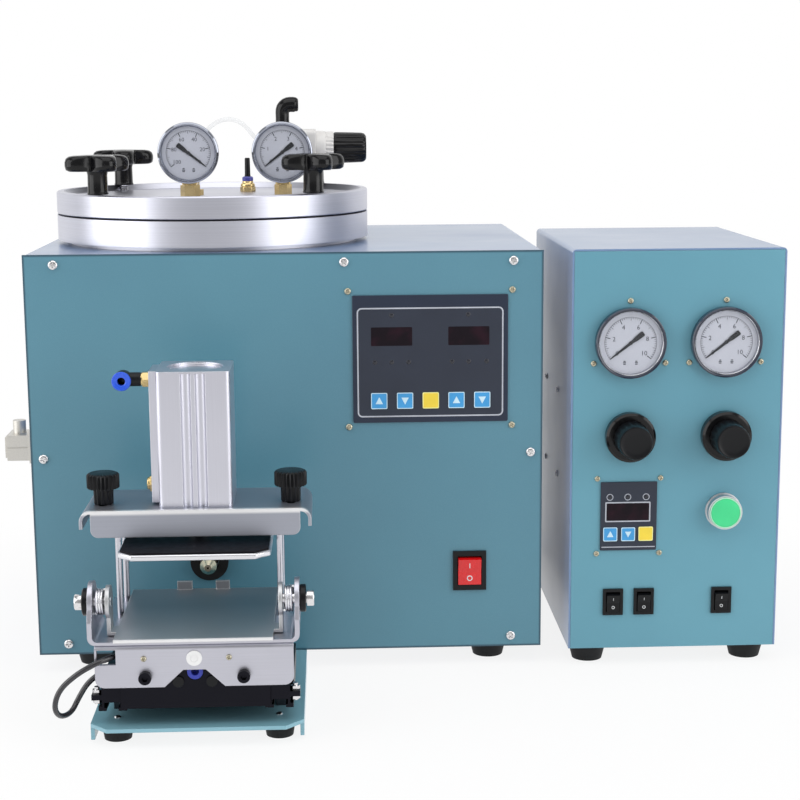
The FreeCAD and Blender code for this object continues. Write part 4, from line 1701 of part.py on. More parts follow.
rail_face = f"({cylinder_left} - cylinder_rail)"
port_z = "(cylinder_top - 8.2)"
elbow_x = f"({rail_face} - 20.5)"
elbow_body = fuse(
    "press_elbow_blank",
    hexagon("press_elbow_hex", "x", "6.4", ("-106", port_z), f"{rail_face} - 6.5", rail_face),
    rod("press_elbow_arm", "x", "5.6", ("-106", port_z), elbow_x, f"{rail_face} - 6"),
    rod("press_elbow_mouth", "y", "6.8", (elbow_x, port_z), "-115", "-99"),
    rod("press_elbow_ring", "y", "7.5", (elbow_x, port_z), "-117.5", "-114"))
elbow = cut("press_elbow", elbow_body,
            rod("press_elbow_bore", "y", "3", (elbow_x, port_z), "-119", "-104"))
silencer = fuse(
    "press_silencer",
    hexagon("silencer_hex", "x", "7", ("-100", "tray_top + 14"), f"{rail_face} - 3", rail_face),
    rod("silencer_felt", "x", "5", ("-100", "tray_top + 14"), f"{rail_face} - 5", f"{rail_face} - 2"))
hand_over(group("cylinder_fittings_set", elbow, silencer), "cylinder_fittings")

# The sensor lead hangs in one loop beside the slide block and comes back to its gland.
flexible("clamp_cord",
         [("nozzle_x - 56", "-167", "71"), ("nozzle_x - 63", "-175", "71.5"),
          ("nozzle_x - 73", "-182", "69.3"), ("nozzle_x - 87", "-184", "62"),
          ("nozzle_x - 100.5", "-184", "50"), ("nozzle_x - 104.8", "-183.9", "35.8"),
          ("nozzle_x - 101.8", "-175.4", "25.5"), ("nozzle_x - 95.1", "-164.3", "24.7"),
          ("nozzle_x - 90.6", "-155.7", "33.4"), ("nozzle_x - 83", "-156", "46"),
          ("nozzle_x - 70", "-152.5", "54.5"),
          ("nozzle_x - 59.2", "-151", "56")], "cord_radius")

# ---------------------------------------------------------------------------------------------
# Hand over

doc.recompute()
for thing in doc.Objects:
    if "Invalid" in thing.State or "Error" in thing.State:
        raise RuntimeError(f"{thing.Name} does not compute: {thing.State}")
os.makedirs("parts", exist_ok=True)
whole = FreeCAD.BoundBox()
for thing in nodes:
    shape = thing.Shape
    if shape.isNull() or not shape.isValid() or shape.Volume < 1:
        raise RuntimeError(f"{thing.Label} has no sound shape")
    shape.exportStep(f"parts/{thing.Label}.step")
    if thing.Label not in ("lid_air_hose", "clamp_cord"):
        whole.add(shape.BoundBox)
print(f"{len(nodes)} sub-parts, {whole.XLength:.1f} x {whole.YLength:.1f} x {whole.ZLength:.1f} mm, "
      f"middle ({whole.Center.x:.2f}, {whole.Center.y:.2f}), lowest {whole.ZMin:.2f}")
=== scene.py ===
"""Looks of a bench-top jewelry wax injector, its mould clamp and its control cabinet.

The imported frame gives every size; each class below dresses or rebuilds one sub-assembly of it.
Places are written in millimetres of the frame and turned into metres where a mesh is made.
"""

import json
import logging
import math
from collections.abc import Callable, Iterable
from dataclasses import dataclass, field
from enum import Enum
from typing import ClassVar

import bmesh
import bpy
from mathutils import Matrix, Vector

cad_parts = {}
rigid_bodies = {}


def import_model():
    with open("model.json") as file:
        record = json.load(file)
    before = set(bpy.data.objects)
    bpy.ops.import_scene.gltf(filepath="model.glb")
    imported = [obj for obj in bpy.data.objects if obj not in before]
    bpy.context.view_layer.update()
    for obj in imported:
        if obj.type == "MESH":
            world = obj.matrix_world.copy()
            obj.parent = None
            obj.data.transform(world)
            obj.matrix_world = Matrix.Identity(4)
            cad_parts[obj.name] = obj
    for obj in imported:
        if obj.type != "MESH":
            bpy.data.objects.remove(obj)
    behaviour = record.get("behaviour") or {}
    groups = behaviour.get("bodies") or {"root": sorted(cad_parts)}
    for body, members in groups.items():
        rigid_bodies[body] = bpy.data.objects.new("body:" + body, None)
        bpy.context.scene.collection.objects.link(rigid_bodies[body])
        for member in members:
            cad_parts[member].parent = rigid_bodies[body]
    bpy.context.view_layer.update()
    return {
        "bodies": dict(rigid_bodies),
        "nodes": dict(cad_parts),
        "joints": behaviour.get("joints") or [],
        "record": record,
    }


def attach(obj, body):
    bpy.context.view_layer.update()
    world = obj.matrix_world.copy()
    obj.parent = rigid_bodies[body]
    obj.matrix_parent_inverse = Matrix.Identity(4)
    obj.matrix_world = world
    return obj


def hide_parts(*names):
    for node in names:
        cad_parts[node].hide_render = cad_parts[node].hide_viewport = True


MM = 0.001  # metres in a millimetre
INJECTOR_FRONT = -72.0  # y of the injector's front sheet
CONTROLLER_FRONT = -82.7  # y of the control cabinet's front sheet
CLAMP_MIDDLE = -154.8  # x of the nozzle and of the clamp in front of it
LOG = logging.getLogger("wax_injector")
Colour = tuple[float, float, float]
Point2 = tuple[float, float]
Point3 = tuple[float, float, float]
Profile = list[Point2]


def shade(red: int, green: int, blue: int) -> Colour:
    """Turn a paint-chart colour into the linear colour that a shader takes.

    Args:
        red: the red channel, from 0 to 255.
        green: the green channel.
        blue: the blue channel.

    Returns:
        The linear colour.
    """
    def linear(level: int) -> float:
        """Undo the display curve of one channel."""
        part = level / 255
        return part / 12.92 if part <= 0.04045 else ((part + 0.055) / 1.055) ** 2.4
    return linear(red), linear(green), linear(blue)


class Axis(Enum):
    """The line that a turned shape goes round, or that a flat shape is thick along."""

    X = ((0, 1, 0), (0, 0, 1), (1, 0, 0))
    Y = ((1, 0, 0), (0, 0, 1), (0, 1, 0))
    Z = ((1, 0, 0), (0, 1, 0), (0, 0, 1))

    def spot(self, across: float, along: float, out: float) -> Vector:
        """Give the point at two coordinates across the axis and one along it."""
        first, second, third = (Vector(part) for part in self.value)
        return first * across + second * along + third * out


class Grain(Enum):
    """The way in which a metal surface was worked."""

    ALONG_X = "brushed along x"
    ALONG_Y = "brushed along y"
    ALONG_Z = "drawn along z"
    TURNED = "turned about the pot's axis"
    CAST = "blasted or plated, no direction"


# ------------------------------------------------------------------------------------ node wiring


class Wiring:
    """The node tree of one material, with short calls that add nodes and join them."""

    def __init__(self, name: str) -> None:
        """Make the material with its Principled shader and the object's own coordinates.

        Args:
            name: the material's name.
        """
        self.material = bpy.data.materials.new(name)
        self.material.use_nodes = True
        self.tree = self.material.node_tree
        self.shader = self.tree.nodes["Principled BSDF"]
        self.place = self.tree.nodes.new("ShaderNodeTexCoord").outputs["Object"]

    def add(self, kind: str, **settings: object) -> bpy.types.Node:
        """Add a node and set its properties.

        Args:
            kind: the node's Blender type.
            settings: property names and values.

        Returns:
            The new node.
        """
        node = self.tree.nodes.new(kind)
        for key, setting in settings.items():
            setattr(node, key, setting)
        return node

    def join(self, source: bpy.types.NodeSocket, target: bpy.types.NodeSocket) -> None:
        """Link one socket to another."""
        self.tree.links.new(source, target)

    def feed(self, socket: str, source: bpy.types.NodeSocket) -> None:
        """Link a value to a socket of the Principled shader."""
        self.join(source, self.shader.inputs[socket])

    def hold(self, **levels: float) -> None:
        """Set constant levels on the Principled shader.

        Args:
            levels: each socket's name, with an underscore for a space, and its level.
        """
        for key, level in levels.items():
            self.shader.inputs[key.replace("_", " ")].default_value = level

    def stretched(self, x: float, y: float, z: float) -> bpy.types.NodeSocket:
        """Give the object's coordinates scaled by three factors.

        Args:
            x: the factor along x.
            y: the factor along y.
            z: the factor along z.

        Returns:
            The scaled coordinates.
        """
        mapping = self.add("ShaderNodeMapping")
        mapping.inputs["Scale"].default_value = (x, y, z)
        self.join(self.place, mapping.inputs["Vector"])
        return mapping.outputs["Vector"]

    def around_pot(self) -> bpy.types.NodeSocket:
        """Give the radius about the pot's axis and the height, as a turning tool meets them.

        Returns:
            Coordinates with the radius as x and the height as y.
        """
        offset = self.add("ShaderNodeVectorMath", operation="SUBTRACT")
        offset.inputs[1].default_value = (WaxPotAndLid.axis_x * MM, WaxPotAndLid.axis_y * MM, 0)
        self.join(self.place, offset.inputs[0])
        flat = self.add("ShaderNodeVectorMath", operation="MULTIPLY")
        flat.inputs[1].default_value = (1, 1, 0)
        self.join(offset.outputs["Vector"], flat.inputs[0])
        reach = self.add("ShaderNodeVectorMath", operation="LENGTH")
        self.join(flat.outputs["Vector"], reach.inputs[0])
        parts = self.add("ShaderNodeSeparateXYZ")
        self.join(self.place, parts.inputs[0])
        whole = self.add("ShaderNodeCombineXYZ")
        self.join(reach.outputs["Value"], whole.inputs["X"])
        self.join(parts.outputs["Z"], whole.inputs["Y"])
        return whole.outputs[0]

    def count(self, sum_kind: str, first: bpy.types.NodeSocket | float,
              second: bpy.types.NodeSocket | float = 0) -> bpy.types.NodeSocket:
        """Add a sum on one or two levels.

        Args:
            sum_kind: Blender's name of the sum.
            first: a level or a number.
            second: a level or a number.

        Returns:
            The result.
        """
        node = self.add("ShaderNodeMath", operation=sum_kind)
        for socket, level in zip(node.inputs, (first, second)):
            if isinstance(level, bpy.types.NodeSocket):
                self.join(level, socket)
            else:
                socket.default_value = level
        return node.outputs[0]

    def noise(self, scale: float, detail: float = 3, place: bpy.types.NodeSocket | None = None,
              roughness: float = 0.5) -> bpy.types.NodeSocket:
        """Add a noise texture.

        Args:
            scale: patches to a metre.
            detail: octaves.
            place: the coordinates, or None for the object's own.
            roughness: weight of the finer octaves.

        Returns:
            The texture's level, from 0 to 1.
        """
        node = self.add("ShaderNodeTexNoise")
        node.inputs["Scale"].default_value = scale
        node.inputs["Detail"].default_value = detail
        node.inputs["Roughness"].default_value = roughness
        self.join(place or self.place, node.inputs["Vector"])
        return node.outputs["Fac"]

    def span(self, source: bpy.types.NodeSocket, low: float, high: float, start: float = 0.3,
             end: float = 0.7) -> bpy.types.NodeSocket:
        """Spread a level's range over another one.

        Args:
            source: the level.
            low: the result at the range's start.
            high: the result at its end.
            start: the range's start.
            end: the range's end.

        Returns:
            The spread level.
        """
        node = self.add("ShaderNodeMapRange")
        levels = {"From Min": start, "From Max": end, "To Min": low, "To Max": high}
        for key, level in levels.items():
            node.inputs[key].default_value = level
        self.join(source, node.inputs["Value"])
        return node.outputs["Result"]

    def blend(self, share: bpy.types.NodeSocket, first: Colour | bpy.types.NodeSocket,
              second: Colour | bpy.types.NodeSocket) -> bpy.types.NodeSocket:
        """Mix two colours.

        Args:
            share: the second colour's share, from 0 to 1.
            first: a colour or a node's output.
            second: a colour or a node's output.

        Returns:
            The mixed colour.
        """
        node = self.add("ShaderNodeMix", data_type="RGBA")
        self.join(share, node.inputs[0])
        for index, colour in ((6, first), (7, second)):
            if isinstance(colour, tuple):
                node.inputs[index].default_value = (*colour, 1)
            else:
                self.join(colour, node.inputs[index])
        return node.outputs[2]

    def rounded(self, radius: float) -> bpy.types.NodeSocket:
        """Break the edges in the shading.

        Args:
            radius: the broken edges' radius in millimetres.

        Returns:
            The normal.
        """
        node = self.add("ShaderNodeBevel", samples=4)
        node.inputs["Radius"].default_value = radius * MM
        return node.outputs["Normal"]

    def wear_and_highlight(self, normal: bpy.types.NodeSocket) -> bpy.types.NodeSocket:
        """Find the edges, by how far their normal turns from the face's own: for worn paint, and
        for the metal's painted highlight.

        Args:
            normal: the normal of broken edges.

        Returns:
            A level, from 0 on a face to 1 on an edge.
        """
        own = self.add("ShaderNodeNewGeometry").outputs["Normal"]
        dot = self.add("ShaderNodeVectorMath", operation="DOT_PRODUCT")
        self.join(normal, dot.inputs[0])
        self.join(own, dot.inputs[1])
        return self.span(dot.outputs["Value"], 1, 0, 0.8, 0.99)

    def bump(self, height: bpy.types.NodeSocket, depth: float,
             normal: bpy.types.NodeSocket | None = None) -> bpy.types.NodeSocket:
        """Give the normal of a surface raised by a texture.

        Args:
            height: the texture's level.
            depth: its full height in millimetres.
            normal: the normal to start from.

        Returns:
            The raised normal.
        """
        node = self.add("ShaderNodeBump")
        node.inputs["Strength"].default_value = 1
        node.inputs["Distance"].default_value = depth * MM
        self.join(height, node.inputs["Height"])
        if normal is not None:
            self.join(normal, node.inputs["Normal"])
        return node.outputs["Normal"]


# ----------------------------------------------------------------------------------- the finishes


@dataclass(frozen=True)
class Finish:
    """A surface finish: its name, the record's slot it stands for, and its main colour."""

    name: str
    slot: str
    colour: Colour

    def wire(self, w: Wiring) -> None:
        """Build the finish's nodes."""
        raise NotImplementedError

    def material(self) -> bpy.types.Material:
        """Make the finish's material the first time it is asked for.

        Returns:
            The material.
        """
        found = bpy.data.materials.get(self.name)
        if found is None:
            wiring = Wiring(self.name)
            self.wire(wiring)
            found = wiring.material
        return found


@dataclass(frozen=True)
class PaintFinish(Finish):
    """Powder-coated sheet: a fine orange peel, faint mottling, edges where the coat is thin, and
    painted shade along a bent border.
    """

    deep: Colour = (0, 0, 0)
    pale: Colour = (1, 1, 1)
    roughness: float = 0.4
    coat: float = 0.25
    edge: float = 0.7
    coat_roughness: float = 0.2
    peel: float = 0.012
    # border with rim: a band of painted shade, the rim colour laid along the sheet's folded border
    border: tuple[float, float, float, float] | None = None
    rim: Colour = (0, 0, 0)
    border_shade_from: ClassVar[float] = 0.9
    border_shade_to: ClassVar[float] = 2.2

    def wire(self, w: Wiring) -> None:
        """Build the paint's nodes.

        Args:
            w: the material's wiring.
        """
        edge = w.rounded(self.edge)
        peel = w.noise(720, 2)
        tone = w.blend(w.span(w.noise(5, 4), 0, 1), self.deep, self.colour)
        tone = w.blend(w.span(w.noise(2600, 1), 0, 0.12, 0.5, 0.72), tone, self.pale)
        rub = w.count("MULTIPLY", w.wear_and_highlight(edge), w.span(w.noise(60, 3), 0.25, 0.8))
        tone = w.blend(rub, tone, self.pale)
        # painted shade: the rim colour in a band along the folded border
        if self.border:
            tone = w.blend(self.near_shaded_border(w), tone, self.rim)
        w.feed("Base Color", tone)
        w.feed("Roughness", w.span(w.noise(9, 5), self.roughness - 0.05, self.roughness + 0.06))
        w.feed("Normal", w.bump(peel, self.peel, edge))
        w.hold(Coat_Weight=self.coat, Coat_Roughness=self.coat_roughness, Specular_IOR_Level=0.5)

    def near_shaded_border(self, w: Wiring) -> bpy.types.NodeSocket:
        """Find the sheet's bent border, where a band of painted shade darkens the face.

        Args:
            w: the material's wiring.

        Returns:
            A level, from 0 on the sheet to 0.85 on its border.
        """
        parts = w.add("ShaderNodeSeparateXYZ")
        w.join(w.place, parts.inputs[0])
        left, right, low, high = (side * MM for side in self.border)
        gaps = []
        for socket, start, end in (("X", left, right), ("Z", low, high)):
            offset = w.count("SUBTRACT", parts.outputs[socket], (start + end) / 2)
            gaps.append(w.count("SUBTRACT", (end - start) / 2, w.count("ABSOLUTE", offset)))
        least = w.count("MINIMUM", *gaps)
        return w.span(least, 0.85, 0, self.border_shade_from * MM, self.border_shade_to * MM)


@dataclass(frozen=True)
class MetalFinish(Finish):
    """Bare metal with the marks of how it was worked, and on some parts painted light and painted
    highlights.
    """

    grain: Grain = Grain.CAST
    roughness: float = 0.3
    spread: float = 0.08
    depth: float = 0.004
    edge: float = 0.4
    tint: float = 0.86
    # paler sharp edges: a painted highlight
    painted_edge_highlight: float = 0.0
    # the sheet pales towards its front between two depths: painted light
    painted_light_span: tuple[float, float] | None = None
    # bands of painted highlight, each set by a range along x, y or z
    painted_highlight_bands: tuple[tuple[str, float, float], ...] = ()
    highlight_colour: ClassVar[Colour] = (0.95, 0.95, 0.96)

    def wire(self, w: Wiring) -> None:
        """Build the metal's nodes.

        Args:
            w: the material's wiring.
        """
        fine, coarse = 1500.0, 14.0
        places = {
            Grain.ALONG_X: lambda: w.stretched(coarse, fine, fine),
            Grain.ALONG_Y: lambda: w.stretched(fine, coarse, fine),
            Grain.ALONG_Z: lambda: w.stretched(fine, fine, coarse),
            Grain.TURNED: w.around_pot,
            Grain.CAST: lambda: w.place,
        }
        place = places[self.grain]()
        if self.grain is Grain.TURNED:
            marks = w.noise(2400, 2, place)
        else:
            marks = w.noise(900 if self.grain is Grain.CAST else 1, 3, place)
        cloud = w.noise(16, 4)
        deep = tuple(part * self.tint for part in self.colour)
        tone = w.blend(w.span(marks, 0, 1), deep, self.colour)
        tone = w.blend(w.span(cloud, 0, 0.5), tone, deep)
        # a paler tone of the metal, for painted highlights and painted light
        wear_and_highlight = tuple(part + (0.92 - part) * 0.8 for part in self.colour)
        edge = w.rounded(self.edge)
        parts = w.add("ShaderNodeSeparateXYZ")
        w.join(w.place, parts.inputs[0])
        # painted light: paler towards the front
        if self.painted_light_span:
            start, end = self.painted_light_span
            tone = w.blend(w.span(parts.outputs["Y"], 0, 0.7, start * MM, end * MM), tone, wear_and_highlight)
        # painted highlight in the given bands, such as a bent front edge
        if self.painted_highlight_bands:
            ramps = [w.span(parts.outputs[axis], 0, 1, start * MM, end * MM)
                     for axis, start, end in self.painted_highlight_bands]
            share = ramps[0]
            for ramp in ramps[1:]:
                share = w.count("MULTIPLY", share, ramp)
            tone = w.blend(share, tone, self.highlight_colour)
        # painted highlight along the sharp edges
        if self.painted_edge_highlight:
            tone = w.blend(w.span(w.wear_and_highlight(edge), 0, self.painted_edge_highlight, 0, 1), tone, wear_and_highlight)
        half = self.spread / 2
        w.feed("Base Color", tone)
        w.feed("Roughness", w.count("ADD", w.span(marks, 0, self.spread),
                                    w.span(cloud, self.roughness - half, self.roughness + half)))
        w.feed("Normal", w.bump(marks, self.depth, edge))
        w.hold(Metallic=1)


@dataclass(frozen=True)
class PlasticFinish(Finish):
    """Moulded plastic, printed film or rubber: fine texture, faint mottling and a set gloss."""

    roughness: float = 0.3
    texture: float = 1100
    depth: float = 0.006
    coat: float = 0.0
    edge: float = 0.3
    lift: float = 1.18
    shine: float = 0.5

    def wire(self, w: Wiring) -> None:
        """Build the plastic's nodes.

        Args:
            w: the material's wiring.
        """
        skin = w.noise(self.texture, 3)
        bright = tuple(min(1.0, part * self.lift) for part in self.colour)
        w.feed("Base Color", w.blend(w.span(w.noise(45, 4), 0, 1), self.colour, bright))
        w.feed("Roughness", w.span(w.noise(180, 4), self.roughness - 0.04, self.roughness + 0.06))
        w.feed("Normal", w.bump(skin, self.depth, w.rounded(self.edge)))
        w.hold(Coat_Weight=self.coat, Coat_Roughness=0.08, Specular_IOR_Level=self.shine)


@dataclass(frozen=True)
class WindowFinish(Finish):
    """The dark red window of an unlit number display."""

    glow: Colour = (0.1, 0.01, 0.02)

    def wire(self, w: Wiring) -> None:
        """Build the window's nodes.

        Args:
            w: the material's wiring.
        """
        share = w.span(w.noise(70, 2), 0, 1, 0.45, 0.75)
        w.feed("Base Color", w.blend(share, self.colour, self.glow))
        w.feed("Roughness", w.span(w.noise(300, 3), 0.3, 0.38))
        w.hold(Specular_IOR_Level=0.15)


@dataclass(frozen=True)
class ClearFinish(Finish):
    """Glass or clear tubing that lets what lies behind it show."""

    opacity: float = 0.12
    roughness: float = 0.03
    shine: float = 0.5
    haze: Colour = (0.93, 0.97, 1.0)

    def wire(self, w: Wiring) -> None:
        """Build the clear material's nodes.

        Args:
            w: the material's wiring.
        """
        cloud = w.noise(140, 3)
        w.feed("Base Color", w.blend(w.span(cloud, 0, 1), self.colour, self.haze))
        w.feed("Roughness", w.span(cloud, self.roughness, self.roughness + 0.03))
        w.hold(Alpha=self.opacity, IOR=1.46, Specular_IOR_Level=self.shine)


# the injector's front teal, with a band of painted shade along its folded border
TEAL = PaintFinish(
    "teal_powder_coat", "teal_paint", shade(88, 140, 158), deep=shade(81, 130, 149),
    pale=shade(140, 190, 206), border=(-301.8, 128.2, 16, 358), rim=shade(34, 66, 84))
# a paler copy of the teal for the control cabinet: painted light on its front
TEAL_PAINTED_LIGHT = PaintFinish(
    "teal_powder_coat_painted_light", "teal_paint", shade(98, 157, 175), deep=shade(91, 148, 167),
    pale=shade(150, 200, 216))
# a paler copy of the teal for the clamp's base plate: painted light against the shade under the
# carriage
TEAL_BASE_PAINTED_LIGHT = PaintFinish(
    "teal_base_plate_painted_light", "teal_paint", shade(138, 188, 203), deep=shade(131, 181, 196),
    pale=shade(160, 204, 217), coat=0.7)
COVER_PAINT = PaintFinish(
    "cover_powder_coat", "cover_paint", shade(114, 142, 182), deep=shade(107, 134, 173),
    pale=shade(150, 176, 208), roughness=0.34, coat=0.5, coat_roughness=0.14, peel=0.002)
ALUMINIUM_TURNED = MetalFinish(
    "turned_aluminium_face", "turned_aluminium", shade(214, 215, 226), grain=Grain.TURNED,
    roughness=0.33, spread=0.06, depth=0.003)
ALUMINIUM_DRAWN = MetalFinish(
    "drawn_aluminium", "turned_aluminium", shade(220, 220, 230), grain=Grain.ALONG_Z,
    roughness=0.34, spread=0.05, depth=0.0015, edge=0.8, tint=0.94, painted_edge_highlight=0.9)
SHEET_BRIGHT = MetalFinish(
    "satin_sheet", "bent_sheet", shade(208, 208, 218), grain=Grain.ALONG_X, roughness=0.36,
    spread=0.06, depth=0.0015, edge=0.8, tint=0.92)
# a darker copy of the bent sheet for the tray: painted shade for its dark reflections, with a
# painted highlight along the front bend
SHEET_TRAY = MetalFinish(
    "tray_sheet", "bent_sheet", shade(180, 183, 194), grain=Grain.ALONG_X, roughness=0.42,
    spread=0.06, depth=0.0012, edge=1.1, tint=0.92, painted_edge_highlight=0.9,
    painted_highlight_bands=(("Y", -199.5, -203), ("Z", 169.5, 171.5)))
# the platform's sheet: darker than the carriage's as painted shade under the tray, with painted
# light towards the front and a painted highlight on the front edge
SHEET_SATIN = MetalFinish(
    "platform_sheet", "bent_sheet", shade(168, 171, 176), grain=Grain.ALONG_X, roughness=0.42,
    spread=0.06, depth=0.001, edge=1.2, tint=0.92, painted_edge_highlight=1.0, painted_light_span=(-170, -252),
    painted_highlight_bands=(("Y", -252, -254.5),))
# a paler copy of the bent sheet for the press plate: painted light
PLATE_STEEL = MetalFinish(
    "press_plate_sheet", "bent_sheet", shade(236, 236, 240), grain=Grain.ALONG_X, roughness=0.26,
    spread=0.06, depth=0.001, edge=0.6, tint=0.94)
POST = MetalFinish(
    "post_steel_drawn", "post_steel", shade(214, 214, 222), grain=Grain.ALONG_Z, roughness=0.2)
RAIL = MetalFinish(
    "rail_steel_ground", "rail_steel", shade(70, 74, 80), grain=Grain.ALONG_Y, roughness=0.35)
CHROME = MetalFinish(
    "polished_chrome", "bright_chrome", shade(236, 238, 242), roughness=0.07, spread=0.03,
    depth=0.0005, edge=0.2, tint=0.95)
SPRING = MetalFinish(
    "spring_wire_plated", "spring_steel", shade(244, 244, 246), roughness=0.16, spread=0.05,
    depth=0.001, edge=0.1, tint=0.95)
NICKEL = MetalFinish(
    "nickel_screw", "bright_screws", shade(232, 231, 232), roughness=0.18, spread=0.06,
    depth=0.0015, edge=0.15, tint=0.93)
CHROME_DARK = MetalFinish(
    "gauge_bezel_chrome", "bright_chrome", shade(164, 168, 180), roughness=0.1, spread=0.03,
    depth=0.0005, edge=0.2, tint=0.9)
BRASS = MetalFinish(
    "turned_brass", "brass", shade(234, 208, 150), roughness=0.2, depth=0.0015, edge=0.25)
BRASS_PALE = MetalFinish(
    "nozzle_brass", "brass", shade(226, 214, 186), roughness=0.18, spread=0.06, depth=0.0015,
    edge=0.2)
BRASS_SCREW = MetalFinish(
    "brass_screw", "bright_screws", shade(206, 199, 176), roughness=0.24, depth=0.0015, edge=0.15)
STEEL_DARK = MetalFinish(
    "blackened_steel", "block_black", shade(36, 36, 42), roughness=0.34, spread=0.1, depth=0.003,
    edge=0.3)
VALVE_METAL = MetalFinish(
    "valve_casting", "valve_metal", shade(190, 190, 194), roughness=0.42, spread=0.1, depth=0.02,
    edge=0.5)
PLUG_METAL = MetalFinish(
    "plug_casting", "valve_metal", shade(226, 223, 216), roughness=0.36, spread=0.1, depth=0.01,
    edge=0.5)
HEATER = MetalFinish(
    "heater_band_sheet", "heater_band", shade(168, 160, 150), grain=Grain.ALONG_Z, roughness=0.44,
    spread=0.1)
BLACK_GLOSS = PlasticFinish(
    "black_gloss_plastic", "black_plastic", shade(10, 10, 12), roughness=0.18, texture=700,
    depth=0.003, coat=0.12, edge=0.5, lift=1.3, shine=0.25)
BLACK_SATIN = PlasticFinish(
    "black_satin_plastic", "black_plastic", shade(13, 14, 17), roughness=0.32, texture=1300,
    coat=0.05, edge=0.4, lift=1.25, shine=0.24)
# a dark layer on the press plate's top: painted shade and a painted reflection of the tray above
PRESS_PLATE_SHADE = PlasticFinish(
    "press_plate_painted_shade", "bent_sheet", shade(15, 14, 20), roughness=0.5, texture=900, depth=0.004, lift=1.2,
    shine=0.12)
RUBBER = PlasticFinish(
    "black_rubber_skin", "black_rubber", shade(20, 21, 23), roughness=0.6, texture=520, depth=0.03,
    edge=0.8, lift=1.25, shine=0.3)
GASKET = PlasticFinish(
    "gasket_skin", "gasket_rubber", shade(20, 20, 23), roughness=0.55, texture=600, depth=0.02)
CORD = PlasticFinish(
    "cord_jacket", "black_cord", shade(40, 39, 43), roughness=0.26, texture=900, depth=0.005,
    coat=0.4)
RED = PlasticFinish(
    "red_rocker", "red_plastic", shade(214, 18, 22), roughness=0.24, depth=0.004, coat=0.4)
GREEN = PlasticFinish(
    "green_cap", "green_plastic", shade(60, 206, 134), roughness=0.32, texture=1000, depth=0.004,
    coat=0.15)
GREEN_RIM = PlasticFinish(
    "pale_green_rim", "green_plastic", shade(176, 226, 200), texture=1000, depth=0.003, coat=0.3)
BLUE = PlasticFinish(
    "blue_release_ring", "black_plastic", shade(30, 84, 214), roughness=0.26, texture=900,
    depth=0.004, coat=0.3)
BLUE_CAST = PlasticFinish(
    "blue_sensor_body", "black_plastic", shade(34, 52, 168), texture=900, depth=0.004, coat=0.3)
BLUE_DEEP = PlasticFinish(
    "blue_valve_collar", "black_plastic", shade(70, 72, 158), texture=900, depth=0.004, coat=0.3)
IVORY = PlasticFinish(
    "ivory_body", "black_plastic", shade(222, 220, 218), roughness=0.42, texture=700, depth=0.008,
    coat=0.1, edge=0.8, lift=1.05)
WHITE_PLUG = PlasticFinish(
    "white_plug", "bright_screws", shade(238, 238, 238), roughness=0.36, texture=900, depth=0.003,
    coat=0.1, edge=0.4, lift=1.04)
CIRCUIT = PlasticFinish(
    "circuit_board", "circuit_green", shade(30, 96, 62), roughness=0.4, texture=400, depth=0.02,
    coat=0.2)
SILVER = MetalFinish(
    "silver_bezel", "silver_ring", shade(206, 208, 214), roughness=0.2, spread=0.06, depth=0.002)
BARREL = MetalFinish("button_barrel", "silver_ring", shade(226, 226, 228), depth=0.002)
OVERLAY = PlasticFinish(
    "overlay_field", "dark_overlay", shade(40, 46, 60), roughness=0.4, texture=1500, depth=0.003,
    coat=0.06, lift=1.12, shine=0.4)
OVERLAY_EDGE = PlasticFinish(
    "overlay_edge", "dark_overlay", shade(28, 38, 58), roughness=0.36, texture=1500, depth=0.003,
    coat=0.1, lift=1.12, shine=0.4)
OVERLAY_LINE = PlasticFinish(
    "overlay_line", "dark_overlay", shade(176, 180, 190), roughness=0.45, texture=1500, depth=0.002)
OVERLAY_LAMP = PlasticFinish(
    "overlay_lamp", "dark_overlay", shade(24, 27, 38), roughness=0.25, texture=900, depth=0.002,
    coat=0.3)
DISPLAY_WINDOW = WindowFinish(
    "number_window", "dark_overlay", shade(22, 14, 22), glow=shade(44, 20, 32))
KEY_BLUE = PlasticFinish(
    "blue_key", "dark_overlay", shade(60, 150, 210), roughness=0.4, texture=1300, depth=0.002,
    coat=0.1)
KEY_YELLOW = PlasticFinish(
    "yellow_key", "dark_overlay", shade(232, 204, 62), roughness=0.4, texture=1300, depth=0.002,
    coat=0.1)
KEY_PALE = PlasticFinish(
    "key_outline", "dark_overlay", shade(196, 224, 238), roughness=0.4, texture=1300, depth=0.002)
KEY_CREAM = PlasticFinish(
    "yellow_key_outline", "dark_overlay", shade(248, 238, 160), roughness=0.4, texture=1300,
    depth=0.002)
INK_WHITE = PlasticFinish(
    "white_ink", "black_plastic", shade(226, 228, 230), roughness=0.5, texture=1600, depth=0.002)
INK_DARK = PlasticFinish(
    "dial_ink", "needle_black", shade(40, 44, 58), roughness=0.5, texture=1600, depth=0.001)
DIAL_WHITE = PlasticFinish(
    "dial_face", "bright_chrome", shade(192, 195, 206), roughness=0.45, texture=900, depth=0.002,
    edge=0.2, lift=1.05)
NEEDLE = PlasticFinish(
    "needle_paint", "needle_black", shade(16, 18, 24), texture=900, depth=0.001, coat=0.2)
NAVY_RIM = PlasticFinish(
    "dark_blue_rim", "bright_chrome", shade(26, 36, 56), roughness=0.22, texture=700, depth=0.002,
    coat=0.5)
LENS = ClearFinish(
    "gauge_lens", "bright_chrome", (0.3, 0.32, 0.35), opacity=0.03, haze=(0.34, 0.36, 0.4))
HOSE = ClearFinish(
    "clear_tubing", "clear_hose", shade(236, 237, 240), opacity=0.2, roughness=0.3, shine=0.2)


# -------------------------------------------------------------------------------- making the meshes


